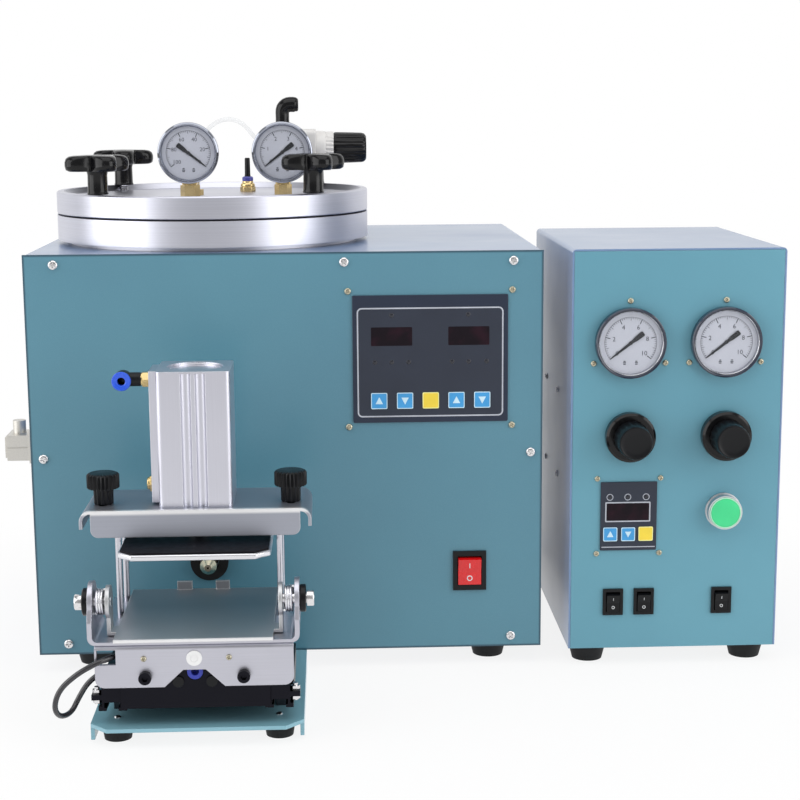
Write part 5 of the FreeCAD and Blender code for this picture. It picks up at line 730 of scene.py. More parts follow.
class Solid:
    """A closed mesh under construction, in millimetres of the frame."""

    def __init__(self) -> None:
        """Start with no faces."""
        self.mesh = bmesh.new()

    def turned(self, axis: Axis, centre: Point3, profile: Profile, steps: int = 64,
               loop: bool = False, flute: Callable[[float, int], float] | None = None) -> "Solid":
        """Turn a profile about an axis.

        Args:
            axis: the axis's direction.
            centre: a point on the axis that the heights are counted from.
            profile: pairs of radius and height; a radius of 0 closes the shape at the axis.
            steps: sides of the turned shape.
            loop: whether the profile's end joins its start, as in a ring.
            flute: gives the change of radius at an angle and a profile point's number.

        Returns:
            This solid.
        """
        here = Vector(centre)
        rings = []
        for number, (radius, height) in enumerate(profile):
            if radius == 0:
                rings.append([self.mesh.verts.new(here + axis.spot(0, 0, height))])
                continue
            ring = []
            for step in range(steps):
                angle = 2 * math.pi * step / steps
                reach = radius + (flute(angle, number) if flute else 0)
                ring.append(self.mesh.verts.new(
                    here + axis.spot(reach * math.cos(angle), reach * math.sin(angle), height)))
            rings.append(ring)
        pairs = list(zip(rings, rings[1:])) + ([(rings[-1], rings[0])] if loop else [])
        for first, second in pairs:
            for step in range(steps):
                after = (step + 1) % steps
                corners = [first[step % len(first)], first[after % len(first)],
                           second[after % len(second)], second[step % len(second)]]
                self.face(corners)
        return self

    def face(self, corners: list[bmesh.types.BMVert]) -> None:
        """Add a face, leaving out corners that are given twice.

        Args:
            corners: the corners in order.
        """
        kept = [corner for index, corner in enumerate(corners) if corner not in corners[:index]]
        if len(kept) > 2:
            self.mesh.faces.new(kept)

    def slab(self, axis: Axis, outline: list[Point2], low: float, high: float) -> "Solid":
        """Add a plate.

        Args:
            axis: the direction that the plate is thick along.
            outline: its corners in order.
            low: where it starts along the axis.
            high: where it ends.

        Returns:
            This solid.
        """
        ends = [[self.mesh.verts.new(axis.spot(across, along, out)) for across, along in outline]
                for out in (low, high)]
        for end in ends:
            self.mesh.faces.new(end)
        count = len(outline)
        for step in range(count):
            after = (step + 1) % count
            self.mesh.faces.new([ends[0][step], ends[0][after], ends[1][after], ends[1][step]])
        return self

    def frame(self, axis: Axis, outer: list[Point2], inner: list[Point2], low: float,
              high: float) -> "Solid":
        """Add a flat frame.

        Args:
            axis: the direction that the frame is thick along.
            outer: the outer outline.
            inner: the inner outline, with as many points.
            low: where it starts along the axis.
            high: where it ends.

        Returns:
            This solid.
        """
        rings = [[self.mesh.verts.new(axis.spot(across, along, out)) for across, along in outline]
                 for outline, out in ((outer, low), (outer, high), (inner, high), (inner, low))]
        count = len(outer)
        for first, second in zip(rings, rings[1:] + rings[:1]):
            for step in range(count):
                after = (step + 1) % count
                self.mesh.faces.new([first[step], first[after], second[after], second[step]])
        return self

    def swept(self, line: list[Point3], radii: list[float], steps: int = 24) -> "Solid":
        """Sweep a circle of changing radius along a line.

        Args:
            line: the points.
            radii: the radius at each point.
            steps: sides of the swept shape.

        Returns:
            This solid.
        """
        spots = [Vector(point) for point in line]
        rings = []
        side = None
        for index, spot in enumerate(spots):
            ahead = (spots[min(index + 1, len(spots) - 1)] - spots[max(index - 1, 0)]).normalized()
            if side is None:
                side = ahead.orthogonal().normalized()
            side = (side - ahead * side.dot(ahead)).normalized()
            other = ahead.cross(side)
            rings.append([self.mesh.verts.new(
                spot + (side * math.cos(2 * math.pi * step / steps)
                        + other * math.sin(2 * math.pi * step / steps)) * radii[index])
                for step in range(steps)])
        for first, second in zip(rings, rings[1:]):
            for step in range(steps):
                after = (step + 1) % steps
                self.mesh.faces.new([first[step], first[after], second[after], second[step]])
        self.mesh.faces.new(rings[0])
        self.mesh.faces.new(rings[-1])
        return self

    def screw_head(self, axis: Axis, seat: Point3, way: int, radius: float, height: float,
                   turn: float = 0.0) -> "Solid":
        """Add a domed screw head with a cross recess, and a stub of its shank.

        Args:
            axis: the screw's direction.
            seat: the middle of the head's underside.
            way: 1 or -1, the side of the seat that the head is on.
            radius: the head's radius.
            height: the head's height.
            turn: how far the cross is turned, in degrees.

        Returns:
            This solid.
        """
        wide, reach = radius * 0.14, radius * 0.55
        corner = math.degrees(math.atan2(wide, reach))
        steps = (0.0, corner, 30.0, 45.0, 60.0, 90 - corner)
        turns = [90 * quarter + step for quarter in range(4) for step in steps]

        def cross(angle: float) -> float:
            """Give the radius of the cross's outline.

            Args:
                angle: the place on the outline, in degrees.

            Returns:
                The radius there.
            """
            part = math.radians(min(angle % 90, 90 - angle % 90))
            at_end = part <= math.radians(corner) + 1e-6
            return reach / math.cos(part) if at_end else wide / math.sin(part)

        def ring(sizes: Callable[[float], float], out: float) -> list[bmesh.types.BMVert]:
            """Make one ring of the head.

            Args:
                sizes: gives the radius at an angle.
                out: the ring's height above the seat.

            Returns:
                The ring's corners.
            """
            return [self.mesh.verts.new(here + axis.spot(
                sizes(angle) * math.cos(math.radians(angle + turn)),
                sizes(angle) * math.sin(math.radians(angle + turn)), way * out)) for angle in turns]

        here = Vector(seat)
        rings = [ring(lambda angle: radius * 0.6, -1.4), ring(lambda angle: radius * 0.6, 0),
                 ring(lambda angle: radius * 0.99, 0), ring(lambda angle: radius, height * 0.2),
                 ring(lambda angle: radius * 0.94, height * 0.55),
                 ring(lambda angle: radius * 0.82, height * 0.82),
                 ring(lambda angle: radius * 0.66, height),
                 ring(lambda angle: cross(angle) * 1.06, height),
                 ring(lambda angle: cross(angle) * 0.98, height * 0.9),
                 ring(lambda angle: cross(angle) * 0.8, height * 0.1)]
        for first, second in zip(rings, rings[1:]):
            for step in range(len(turns)):
                after = (step + 1) % len(turns)
                self.mesh.faces.new([first[step], first[after], second[after], second[step]])
        self.mesh.faces.new(rings[0])
        self.mesh.faces.new(rings[-1])
        return self

    def lettering(self, text: str, size: float, centre: Point2, front: float) -> "Solid":
        """Add raised figures that face -Y.

        Args:
            text: the figures.
            size: their height.
            centre: the place of their middle, in x and z.
            front: the depth of their middle.

        Returns:
            This solid.
        """
        curve = bpy.data.curves.new("figure", "FONT")
        curve.body = text
        curve.size = size
        curve.extrude = 0.04
        curve.resolution_u = 2
        curve.align_x = "CENTER"
        curve.align_y = "CENTER"
        thing = bpy.data.objects.new("figure", curve)
        made = bpy.data.meshes.new_from_object(thing)
        made.transform(Matrix.Translation((centre[0], front, centre[1]))
                       @ Matrix.Rotation(math.pi / 2, 4, "X"))
        self.mesh.from_mesh(made)
        bpy.data.objects.remove(thing)
        bpy.data.curves.remove(curve)
        bpy.data.meshes.remove(made)
        return self

    def moved(self, matrix: Matrix) -> "Solid":
        """Place the whole solid by a matrix in millimetres."""
        self.mesh.transform(matrix)
        return self

    def take(self, other: bmesh.types.BMesh) -> None:
        """Copy another mesh's faces into this solid and free the other.

        Args:
            other: the mesh to take over.
        """
        carrier = bpy.data.meshes.new("carrier")
        other.to_mesh(carrier)
        self.mesh.from_mesh(carrier)
        bpy.data.meshes.remove(carrier)
        other.free()

    def piece(self, name: str, finish: Finish, body: str, stands_for: Iterable[str] = (),
              break_edges: float = 0, crease: float = 32) -> bpy.types.Object:
        """Finish the solid as a shown piece.

        Args:
            name: the piece's name.
            finish: its finish.
            body: the CAD body it rides on.
            stands_for: the CAD nodes it replaces.
            break_edges: width of the broken edges in millimetres, or 0.
            crease: the angle in degrees above which an edge stays sharp.

        Returns:
            The new object.
        """
        bmesh.ops.recalc_face_normals(self.mesh, faces=self.mesh.faces)
        self.mesh.transform(Matrix.Scale(MM, 4))
        data = bpy.data.meshes.new(name)
        self.mesh.to_mesh(data)
        self.mesh.free()
        data.polygons.foreach_set("use_smooth", [True] * len(data.polygons))
        data.set_sharp_from_angle(angle=math.radians(crease))
        return settle(bpy.data.objects.new(name, data), finish, body, stands_for, break_edges)


def settle(thing: bpy.types.Object, finish: Finish, body: str, stands_for: Iterable[str] = (),
           break_edges: float = 0) -> bpy.types.Object:
    """Link a new object, dress it, and let it ride on its body.

    Args:
        thing: the object.
        finish: its finish.
        body: the CAD body it rides on.
        stands_for: the CAD nodes it replaces.
        break_edges: width of the broken edges in millimetres, or 0.

    Returns:
        The same object.
    """
    bpy.context.scene.collection.objects.link(thing)
    thing.data.materials.append(finish.material())
    if break_edges:
        rounding = thing.modifiers.new("broken edges", "BEVEL")
        rounding.width = break_edges * MM
        rounding.segments = 2
        rounding.limit_method = "ANGLE"
        rounding.angle_limit = math.radians(35)
    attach(thing, body)
    if stands_for:
        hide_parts(*stands_for)
    LOG.info("piece %s on %s in %s", thing.name, body, finish.name)
    return thing


def dress(frame: dict, finish: Finish, *nodes: str) -> None:
    """Give CAD nodes that keep their own shape a finish.

    Args:
        frame: the loaded frame.
        finish: the finish.
        nodes: the nodes' names.
    """
    for name in nodes:
        place = frame["nodes"][name].material_slots[0]
        place.link = "OBJECT"
        place.material = finish.material()
        LOG.info("node %s in %s", name, finish.name)


def loose_parts(frame: dict, node: str) -> list[tuple[bmesh.types.BMesh, Vector]]:
    """Split a CAD node into its loose parts.

    Args:
        frame: the loaded frame.
        node: the node's name.

    Returns:
        Each part's mesh in millimetres, with the middle of its box.
    """
    whole = bmesh.new()
    whole.from_mesh(frame["nodes"][node].data)
    bmesh.ops.remove_doubles(whole, verts=whole.verts, dist=1e-6)
    whole.transform(Matrix.Scale(1 / MM, 4))
    parts = []
    left = set(whole.faces)
    while left:
        start = min(left, key=lambda found: found.index)
        group, wave = {start}, [start]
        while wave:
            for edge in wave.pop().edges:
                for found in edge.link_faces:
                    if found not in group:
                        group.add(found)
                        wave.append(found)
        left -= group
        part = bmesh.new()
        made: dict[bmesh.types.BMVert, bmesh.types.BMVert] = {}
        for found in sorted(group, key=lambda item: item.index):
            for vert in found.verts:
                if vert not in made:
                    made[vert] = part.verts.new(vert.co)
            part.faces.new([made[vert] for vert in found.verts])
        spots = [vert.co for vert in part.verts]
        low = Vector([min(spot[axis] for spot in spots) for axis in range(3)])
        high = Vector([max(spot[axis] for spot in spots) for axis in range(3)])
        parts.append((part, (low + high) / 2))
    whole.free()
    return parts


@dataclass
class PartSorter:
    """Shares out a CAD node's loose parts among pieces of different finish."""

    frame: dict
    node: str
    body: str

    def share(self, rules: list[tuple[str, Finish | None, Callable[[Vector], bool]]]) -> None:
        """Make one piece for each rule.

        Args:
            rules: each piece's name, its finish, or None for parts made anew elsewhere, and the
                test that a part's middle passes to belong to it. The first that fits takes it.
        """
        groups: dict[str, Solid] = {name: Solid() for name, _, _ in rules}
        for part, middle in loose_parts(self.frame, self.node):
            for name, _, fits in rules:
                if fits(middle):
                    groups[name].take(part)
                    break
        for name, finish, _ in rules:
            if finish is not None and groups[name].mesh.faces:
                groups[name].piece(name, finish, self.body, (self.node,))


# --------------------------------------------------------------------------------- outline helpers


def rounded_outline(left: float, right: float, low: float, high: float, radius: float,
                    steps: int = 5) -> list[Point2]:
    """Draw a rectangle with rounded corners.

    Args:
        left: its left side.
        right: its right side.
        low: its lower side.
        high: its upper side.
        radius: the corners' radius.
        steps: sides of each corner.

    Returns:
        The points in order.
    """
    corners = [(right - radius, high - radius, 0), (left + radius, high - radius, 90),
               (left + radius, low + radius, 180), (right - radius, low + radius, 270)]
    return [(across + radius * math.cos(math.radians(turn + 90 * step / steps)),
             along + radius * math.sin(math.radians(turn + 90 * step / steps)))
            for across, along, turn in corners for step in range(steps + 1)]


def circle_outline(centre: Point2, radius: float, steps: int = 32) -> list[Point2]:
    """Give a circle as points in order."""
    return [(centre[0] + radius * math.cos(2 * math.pi * step / steps),
             centre[1] + radius * math.sin(2 * math.pi * step / steps)) for step in range(steps)]


def hexagon_profile(radius: float) -> list[Point2]:
    """Give a hexagon's six corners about the origin."""
    return circle_outline((0, 0), radius, 6)


# -------------------------------------------------------------------------------------- the studio


@dataclass
class StudioStage:
    """A plain pale sweep, soft lamps and the camera, in metres and degrees."""

    camera_place: Point3 = (-0.04926357, -1.44300721, 0.47507212)
    camera_yaw: float = 2.386
    camera_pitch: float = 9.999
    camera_roll: float = -0.379
    focal_length: float = 74.6247
    pale: Colour = (0.93, 0.93, 0.93)
    world_level: float = 0.36
    floor_front: float = -4.0
    bend_start: float = 1.6
    bend_radius: float = 1.0
    wall_top: float = 4.0
    half_width: float = 5.0
    aim_height: float = 0.22
    white_from: float = 0.34
    white_at: float = 0.62

    def build(self) -> None:
        """Set the camera, the sweep, the lamps and the world."""
        bpy.context.scene.view_settings.view_transform = "Standard"
        self.place_camera()
        self.lay_sweep()
        self.hang_lamp("left softbox", (-1.66, -0.62, 0.75), (1.7, 1.6), 2.2)
        self.hang_lamp("right softbox", (1.62, -1.0, 0.75), (1.5, 1.5), 2.5)
        self.hang_lamp("top softbox", (0.0, -0.55, 1.9), (2.2, 1.8), 1.4)
        world = bpy.data.worlds.new("studio")
        bpy.context.scene.world = world
        world.use_nodes = True
        back = world.node_tree.nodes["Background"]
        back.inputs["Color"].default_value = (1, 1, 1, 1)
        back.inputs["Strength"].default_value = self.world_level

    def place_camera(self) -> None:
        """Make the camera and aim it."""
        data = bpy.data.cameras.new("camera")
        data.lens = self.focal_length
        data.sensor_width = 36
        data.clip_start, data.clip_end = 0.05, 50
        camera = bpy.data.objects.new("camera", data)
        bpy.context.scene.collection.objects.link(camera)
        yaw, pitch, roll = (math.radians(turn) for turn in
                            (self.camera_yaw, self.camera_pitch, self.camera_roll))
        ahead = Vector((math.sin(yaw) * math.cos(pitch), math.cos(yaw) * math.cos(pitch),
                        -math.sin(pitch)))
        right = Vector((math.cos(yaw), -math.sin(yaw), 0))
        upward = right.cross(ahead)
        side = right * math.cos(roll) + upward * math.sin(roll)
        top = upward * math.cos(roll) - right * math.sin(roll)
        camera.matrix_world = Matrix.Translation(self.camera_place) @ Matrix(
            (side, top, -ahead)).transposed().to_4x4()
        bpy.context.scene.camera = camera

    def lay_sweep(self) -> None:
        """Make a floor that curves up into a backdrop behind the object."""
        line = [(self.floor_front, 0.0), (self.bend_start, 0.0)]
        for turn in range(10, 91, 10):
            part = math.radians(turn)
            line.append((self.bend_start + self.bend_radius * math.sin(part),
                         self.bend_radius * (1 - math.cos(part))))
        line.append((self.bend_start + self.bend_radius, self.wall_top))
        mesh = bmesh.new()
        rows = [[mesh.verts.new((x, y, z)) for x in (-self.half_width, self.half_width)]
                for y, z in line]
        for first, second in zip(rows, rows[1:]):
            mesh.faces.new([first[0], first[1], second[1], second[0]])
        data = bpy.data.meshes.new("sweep")
        mesh.to_mesh(data)
        mesh.free()
        data.polygons.foreach_set("use_smooth", [True] * len(data.polygons))
        sweep = bpy.data.objects.new("sweep", data)
        bpy.context.scene.collection.objects.link(sweep)
        data.materials.append(self.sweep_material())

    def sweep_material(self) -> bpy.types.Material:
        """Make the sweep's paper, matt and pale, and plain white away from the object.

        Returns:
            The material.
        """
        w = Wiring("studio_paper")
        w.feed("Base Color", w.blend(w.span(w.noise(3, 3), 0, 1), self.pale, (0.95, 0.95, 0.95)))
        w.hold(Roughness=0.9, Specular_IOR_Level=0.1)
        rays = w.add("ShaderNodeLightPath").outputs
        seen = w.count("MAXIMUM", rays["Is Camera Ray"], rays["Is Glossy Ray"])
        either = w.count("MAXIMUM", seen, rays["Is Transmission Ray"])
        reach = w.add("ShaderNodeVectorMath", operation="LENGTH")
        w.join(w.place, reach.inputs[0])
        far = w.span(reach.outputs["Value"], 0.86, 1.0, self.white_from, self.white_at)
        share = w.count("MULTIPLY", either, far)
        white = w.add("ShaderNodeEmission")
        mixed = w.add("ShaderNodeMixShader")
        w.join(share, mixed.inputs[0])
        w.join(w.shader.outputs[0], mixed.inputs[1])
        w.join(white.outputs[0], mixed.inputs[2])
        w.join(mixed.outputs[0], w.tree.nodes["Material Output"].inputs["Surface"])
        return w.material

    def hang_lamp(self, name: str, place: Point3, size: Point2, level: float) -> None:
        """Hang a softbox that looks at the object.

        Args:
            name: the lamp's name.
            place: its middle, in metres.
            size: its width and height in metres.
            level: how bright its face is.
        """
        data = bpy.data.lights.new(name, "AREA")
        data.shape = "RECTANGLE"
        data.size, data.size_y = size
        data.energy = level * math.pi * size[0] * size[1]
        lamp = bpy.data.objects.new(name, data)
        bpy.context.scene.collection.objects.link(lamp)
        lamp.location = place
        lamp.rotation_mode = "QUATERNION"
        lamp.rotation_quaternion = (
            Vector((0, 0, self.aim_height)) - Vector(place)).to_track_quat("-Z", "Y")


# --------------------------------------------------------------------------------------- the cords


@dataclass
class FreeCord:
    """A cord or hose on one smooth line through the air or along the clamp."""

    name: str
    node: str
    body: str
    finish: Finish
    thickness: float
    length: float
    stiffness: str
    lay: str
    route: list[Point3]

    def build(self) -> None:
        """Make the cord's curve."""
        data = bpy.data.curves.new(self.name, "CURVE")
        data.dimensions = "3D"
        data.bevel_depth = self.thickness / 2 * MM
        data.bevel_resolution = 6
        data.resolution_u = 16
        data.use_fill_caps = True
        line = data.splines.new("NURBS")
        line.points.add(len(self.route) - 1)
        for point, (x, y, z) in zip(line.points, self.route):
            point.co = (x * MM, y * MM, z * MM, 1)
        line.order_u = 3
        line.use_endpoint_u = True
        thing = settle(bpy.data.objects.new(self.name, data), self.finish, self.body, (self.node,))


@dataclass
class FreeCords:
    """The sensor lead beside the slide block and the clear hose over the lid."""

    lead_route: list[Point3] = field(default_factory=lambda: [
        (-210.8, -239, 71), (-217.8, -247, 71.5), (-227.8, -254, 69.3), (-241.8, -256, 62),
        (-255.3, -256, 50), (-259.6, -255.9, 35.8), (-256.6, -247.4, 25.5), (-249.9, -236.3, 24.7),
        (-245.4, -227.7, 33.4), (-237.8, -228, 46), (-224.8, -224.5, 54.5), (-214.0, -223, 56)])
    hose_route: list[Point3] = field(default_factory=lambda: [
        (-166.8, 63, 405.1), (-166.8, 63, 425.1), (-165.0, 62.5, 444.5), (-156.0, 61.5, 459.5),
        (-140.0, 60, 467.3), (-124.5, 58.5, 462.8), (-112.8, 56, 446.3), (-101.3, 56, 442.3)])

    def build(self) -> None:
        """Make both cords."""
        FreeCord("sensor_lead", "clamp_cord", "carriage", CORD, 4.2, 149.4, "medium", "loose",
                 self.lead_route).build()
        FreeCord("lid_hose", "lid_air_hose", "lid", HOSE, 4.0, 118.5, "limp", "loose",
                 self.hose_route).build()


# ---------------------------------------------------------------------------------- the assemblies


@dataclass
class DialGauge:
    """A round pressure gauge: case, bezel, dial with its scale, needle and lens."""

    name: str
    body: str
    needle_body: str
    needle_node: str
    case_node: str
    x: float
    z: float
    radius: float
    front: float
    back: float
    aim: float
    figures: tuple[str, ...]
    blue_rim: bool = False
    clockwise: bool = True
    bezel: float = 3.5
    recess: float = 4.5
    neck_low: ClassVar[float] = 409.6
    neck_high: ClassVar[float] = 414.0
    scale_start: ClassVar[float] = 218.0
    scale_end: ClassVar[float] = -38.0
    scale_lines: ClassVar[int] = 50

    @property
    def dial(self) -> float:
        """Give the depth of the dial's floor."""
        return self.front + self.recess

    @property
    def clear(self) -> float:
        """Give the radius of the dial inside the bezel."""
        return self.radius - self.bezel

    def build(self) -> None:
        """Make every piece of the gauge."""
        self.make_case()
        self.make_dial()
        self.make_needle()
        self.make_lens()

    def keep(self, solid: Solid, word: str, finish: Finish) -> None:
        """Keep a solid as one of the pieces that stand for the gauge's case."""
        solid.piece(f"{self.name}_{word}", finish, self.body, (self.case_node,))

    def make_case(self) -> None:
        """Turn the case and the bezel, and the brass that the gauge stands on."""
        if self.blue_rim:
            self.make_panel_case()
        else:
            self.make_lid_case()

    def make_panel_case(self) -> None:
        """Turn a dark blue case with a silver ring, and the connector behind the sheet."""
        centre = (self.x, self.front, self.z)
        outer, clear, deep, end = self.radius, self.clear, self.recess, self.back - self.front
        rim = [(0, deep), (clear + 1.1, deep), (clear + 1.1, 0.9), (clear + 1.8, 0.2),
               (clear + 2.6, 0), (outer - 0.1, 0.6), (outer, 1.5), (outer, 7.6), (outer - 0.3, 8),
               (outer - 2.5, 8), (outer - 2.5, end - 1.5), (outer - 4, end), (0, end)]
        self.keep(Solid().turned(Axis.Y, centre, rim, 96), "case", NAVY_RIM)
        ring = [(clear, deep), (clear, 1.6), (clear + 0.3, 0.9), (clear + 0.7, 0.6),
                (clear + 1.0, 0.9), (clear + 1.0, deep)]
        self.keep(Solid().turned(Axis.Y, centre, ring, 96, loop=True), "ring", SILVER)
        stem = [(0, end - 4), (5, end - 4), (5, end + 12), (0, end + 12)]
        stem_middle = (self.x, self.front, self.z - 12)
        self.keep(Solid().turned(Axis.Y, stem_middle, stem, 32), "stem", BRASS)

    def make_lid_case(self) -> None:
        """Turn a chrome case, and the square root that joins it to the hexagon on the lid."""
        outer, clear, deep, end = self.radius, self.clear, self.recess, self.back - self.front
        rim = [(0, deep), (clear, deep), (clear, 2.2), (clear + 0.3, 1.2), (clear + 1.1, 0.3),
               (clear + 2.2, 0), (outer - 0.4, 0.7), (outer, 1.9), (outer, 7.4), (outer - 0.2, 8),
               (outer - 0.9, 8.6), (outer - 0.9, end - 2), (outer - 1.5, end - 0.6),
               (outer - 3, end), (0, end)]
        case = Solid().turned(Axis.Y, (self.x, self.front, self.z), rim, 96)
        self.keep(case, "case", CHROME_DARK)
        middle, low = self.front + 15, self.z - outer
        square = rounded_outline(self.x - 6.5, self.x + 6.5, middle - 6, middle + 6, 1.2)
        root = Solid().slab(Axis.Z, square, low - 1, low + 3.5)
        neck = [(0, self.neck_low), (4.9, self.neck_low), (4.9, self.neck_high),
                (0, self.neck_high)]
        self.keep(root.turned(Axis.Z, (self.x, middle, 0), neck, 32), "root", BRASS)

    def make_dial(self) -> None:
        """Lay the dial's disc and print its scale and figures."""
        disc_high, disc = 0.22, self.clear - 0.1
        face = self.dial - disc_high
        self.keep(Solid().turned(Axis.Y, (self.x, self.dial, self.z), [
            (0, 0), (disc, 0), (disc, -disc_high), (0, -disc_high)], 96), "dial", DIAL_WHITE)
        print_high = face - 0.05
        ink = Solid()
        outer = self.clear * 0.84
        for step in range(self.scale_lines + 1):
            turn = math.radians(self.scale_angle(step / self.scale_lines))
            major, middle = step % 10 == 0, step % 5 == 0
            length = self.clear * (0.17 if major else 0.12 if middle else 0.07)
            half = 0.36 if major else 0.2
            self.mark(ink, turn, outer - length, outer, half, print_high, face)
        turns = [math.radians(self.scale_angle(step / 60)) for step in range(61)]
        arc = [self.spot(turn, outer) for turn in turns]
        arc += [self.spot(turn, outer - 0.28) for turn in reversed(turns)]
        ink.slab(Axis.Y, arc, print_high, face)
        for index, text in enumerate(self.figures):
            turn = math.radians(self.scale_angle(index / (len(self.figures) - 1)))
            ink.lettering(text, self.clear * 0.21, self.spot(turn, self.clear * 0.55), print_high)
        for side in (-1, 1):
            middle = self.x + side * self.clear * 0.19
            for step, half in enumerate((0.9, 1.3, 1.1)):
                level = self.z - self.clear * 0.6 - step * 1.25
                ink.slab(Axis.Y, [(middle - half, level), (middle + half, level),
                                  (middle + half, level + 0.8), (middle - half, level + 0.8)],
                         print_high, face)
        self.keep(ink, "scale", INK_DARK)

    def scale_angle(self, share: float) -> float:
        """Give the angle of a share of the scale, in degrees from +X towards +Z."""
        sweep = self.scale_end - self.scale_start
        return self.scale_start + sweep * (share if self.clockwise else 1 - share)

    def spot(self, turn: float, reach: float) -> Point2:
        """Give the point of the dial at an angle and a radius."""
        return self.x + reach * math.cos(turn), self.z + reach * math.sin(turn)

    def mark(self, ink: Solid, turn: float, near: float, far: float, half: float, low: float,
             high: float) -> None:
        """Print one line of the scale.

        Args:
            ink: collects the printing.
            turn: the line's angle.
            near: the radius of its inner end.
            far: the radius of its outer end.
            half: half its width.
            low: the depth of its front.
            high: the depth of its back.
        """
        corners = []
        for reach, side in ((near, -half), (far, -half), (far, half), (near, half)):
            across, along = self.spot(turn, reach)
            corners.append((across - side * math.sin(turn), along + side * math.cos(turn)))
        ink.slab(Axis.Y, corners, low, high)

    def make_needle(self) -> None:
        """Cut the tapered needle with its counterweight and its hub."""
        turn = math.radians(self.aim)
        tip, tail = self.clear * 0.84, -self.clear * 0.52
        widths = [(tail, 1.7), (tail + 0.9, 2.2), (-5.0, 1.9), (-2.6, 1.3), (2.0, 1.15),
                  (tip * 0.55, 0.85), (tip - 1, 0.4), (tip, 0.1)]
        edge = widths + [(reach, -half) for reach, half in reversed(widths)]
        outline = []
        for reach, half in edge:
            across, along = self.spot(turn, reach)
            outline.append((across - half * math.sin(turn), along + half * math.cos(turn)))
        back = self.dial - 0.45
        Solid().slab(Axis.Y, outline, back - 0.55, back).piece(
            f"{self.name}_needle", NEEDLE, self.needle_body, (self.needle_node,))
        hub = [(0, -1.0), (1.0, -0.95), (1.5, -0.6), (1.7, 0), (1.7, 0.15), (0, 0.15)]
        Solid().turned(Axis.Y, (self.x, back, self.z), hub, 32).piece(
            f"{self.name}_hub", NEEDLE, self.needle_body, (self.needle_node,))

    def make_lens(self) -> None:
        """Turn the slightly domed lens."""
        profile = [(0, -0.35), (self.clear * 0.5, -0.25), (self.clear - 0.2, 0.1),
                   (self.clear - 0.05, 0.3), (self.clear - 0.05, 1.0), (self.clear * 0.5, 0.7),
                   (0, 0.65)]
        lens = Solid().turned(Axis.Y, (self.x, self.front + 0.6, self.z), profile, 96)
        self.keep(lens, "lens", LENS)


@dataclass
class MembraneKey:
    """One square key of a membrane panel."""

    left: float
    low: float
    size: float
    mark: str

    def press_into(self, blue: Solid, yellow: Solid, pale: Solid, cream: Solid,
                   face: float) -> None:
        """Add the key's plate, outline and mark to the panel's meshes.

        Args:
            blue: collects the blue plates.
            yellow: collects the yellow plates.
            pale: collects pale outlines and marks.
            cream: collects the outlines of yellow keys.
            face: depth of the panel's front.
        """
        right, high = self.left + self.size, self.low + self.size
        plate, line = (yellow, cream) if self.mark == "-" else (blue, pale)
        plate.slab(Axis.Y, rounded_outline(self.left, right, self.low, high, 1.1), face - 0.5, face)
        line.frame(Axis.Y, rounded_outline(self.left, right, self.low, high, 1.1),
                   rounded_outline(self.left + 0.7, right - 0.7, self.low + 0.7, high - 0.7, 0.8),
                   face - 0.56, face - 0.45)
        middle, centre, half = (self.left + right) / 2, (self.low + high) / 2, self.size * 0.23
        if self.mark in "^v":
            way = 1 if self.mark == "^" else -1
            pale.slab(Axis.Y, [(middle - half, centre - way * half * 0.85),
                               (middle + half, centre - way * half * 0.85),
                               (middle, centre + way * half * 1.05)], face - 0.56, face - 0.45)


@dataclass
class MembranePanel:
    """A printed membrane panel stuck on a sheet, its printing laid on in thin layers."""

    left: float
    right: float
    low: float
    high: float
    sheet: float
    thickness: float = 1.6

    @property
    def face(self) -> float:
        """Give the depth of the overlay's front."""
        return self.sheet - self.thickness

    @staticmethod
    def lay(solid: Solid, name: str, finish: Finish, break_edges: float = 0) -> None:
        """Keep a solid as one of the pieces that stand for the panel."""
        solid.piece(name, finish, "cabinets", ("membrane_panels",), break_edges)

    def lay_keys(self, word: str, keys: list[MembraneKey], face: float) -> None:
        """Make the pieces of a row of keys.

        Args:
            word: the panel's word in the pieces' names.
            keys: the keys.
            face: depth of the layer that they are printed on.
        """
        blue, yellow, pale, cream = Solid(), Solid(), Solid(), Solid()
        for key in keys:
            key.press_into(blue, yellow, pale, cream, face)
        self.lay(blue, f"{word}_blue_keys", KEY_BLUE)
        self.lay(yellow, f"{word}_yellow_key", KEY_YELLOW)
        self.lay(pale, f"{word}_key_marks", KEY_PALE)
        self.lay(cream, f"{word}_yellow_key_line", KEY_CREAM)


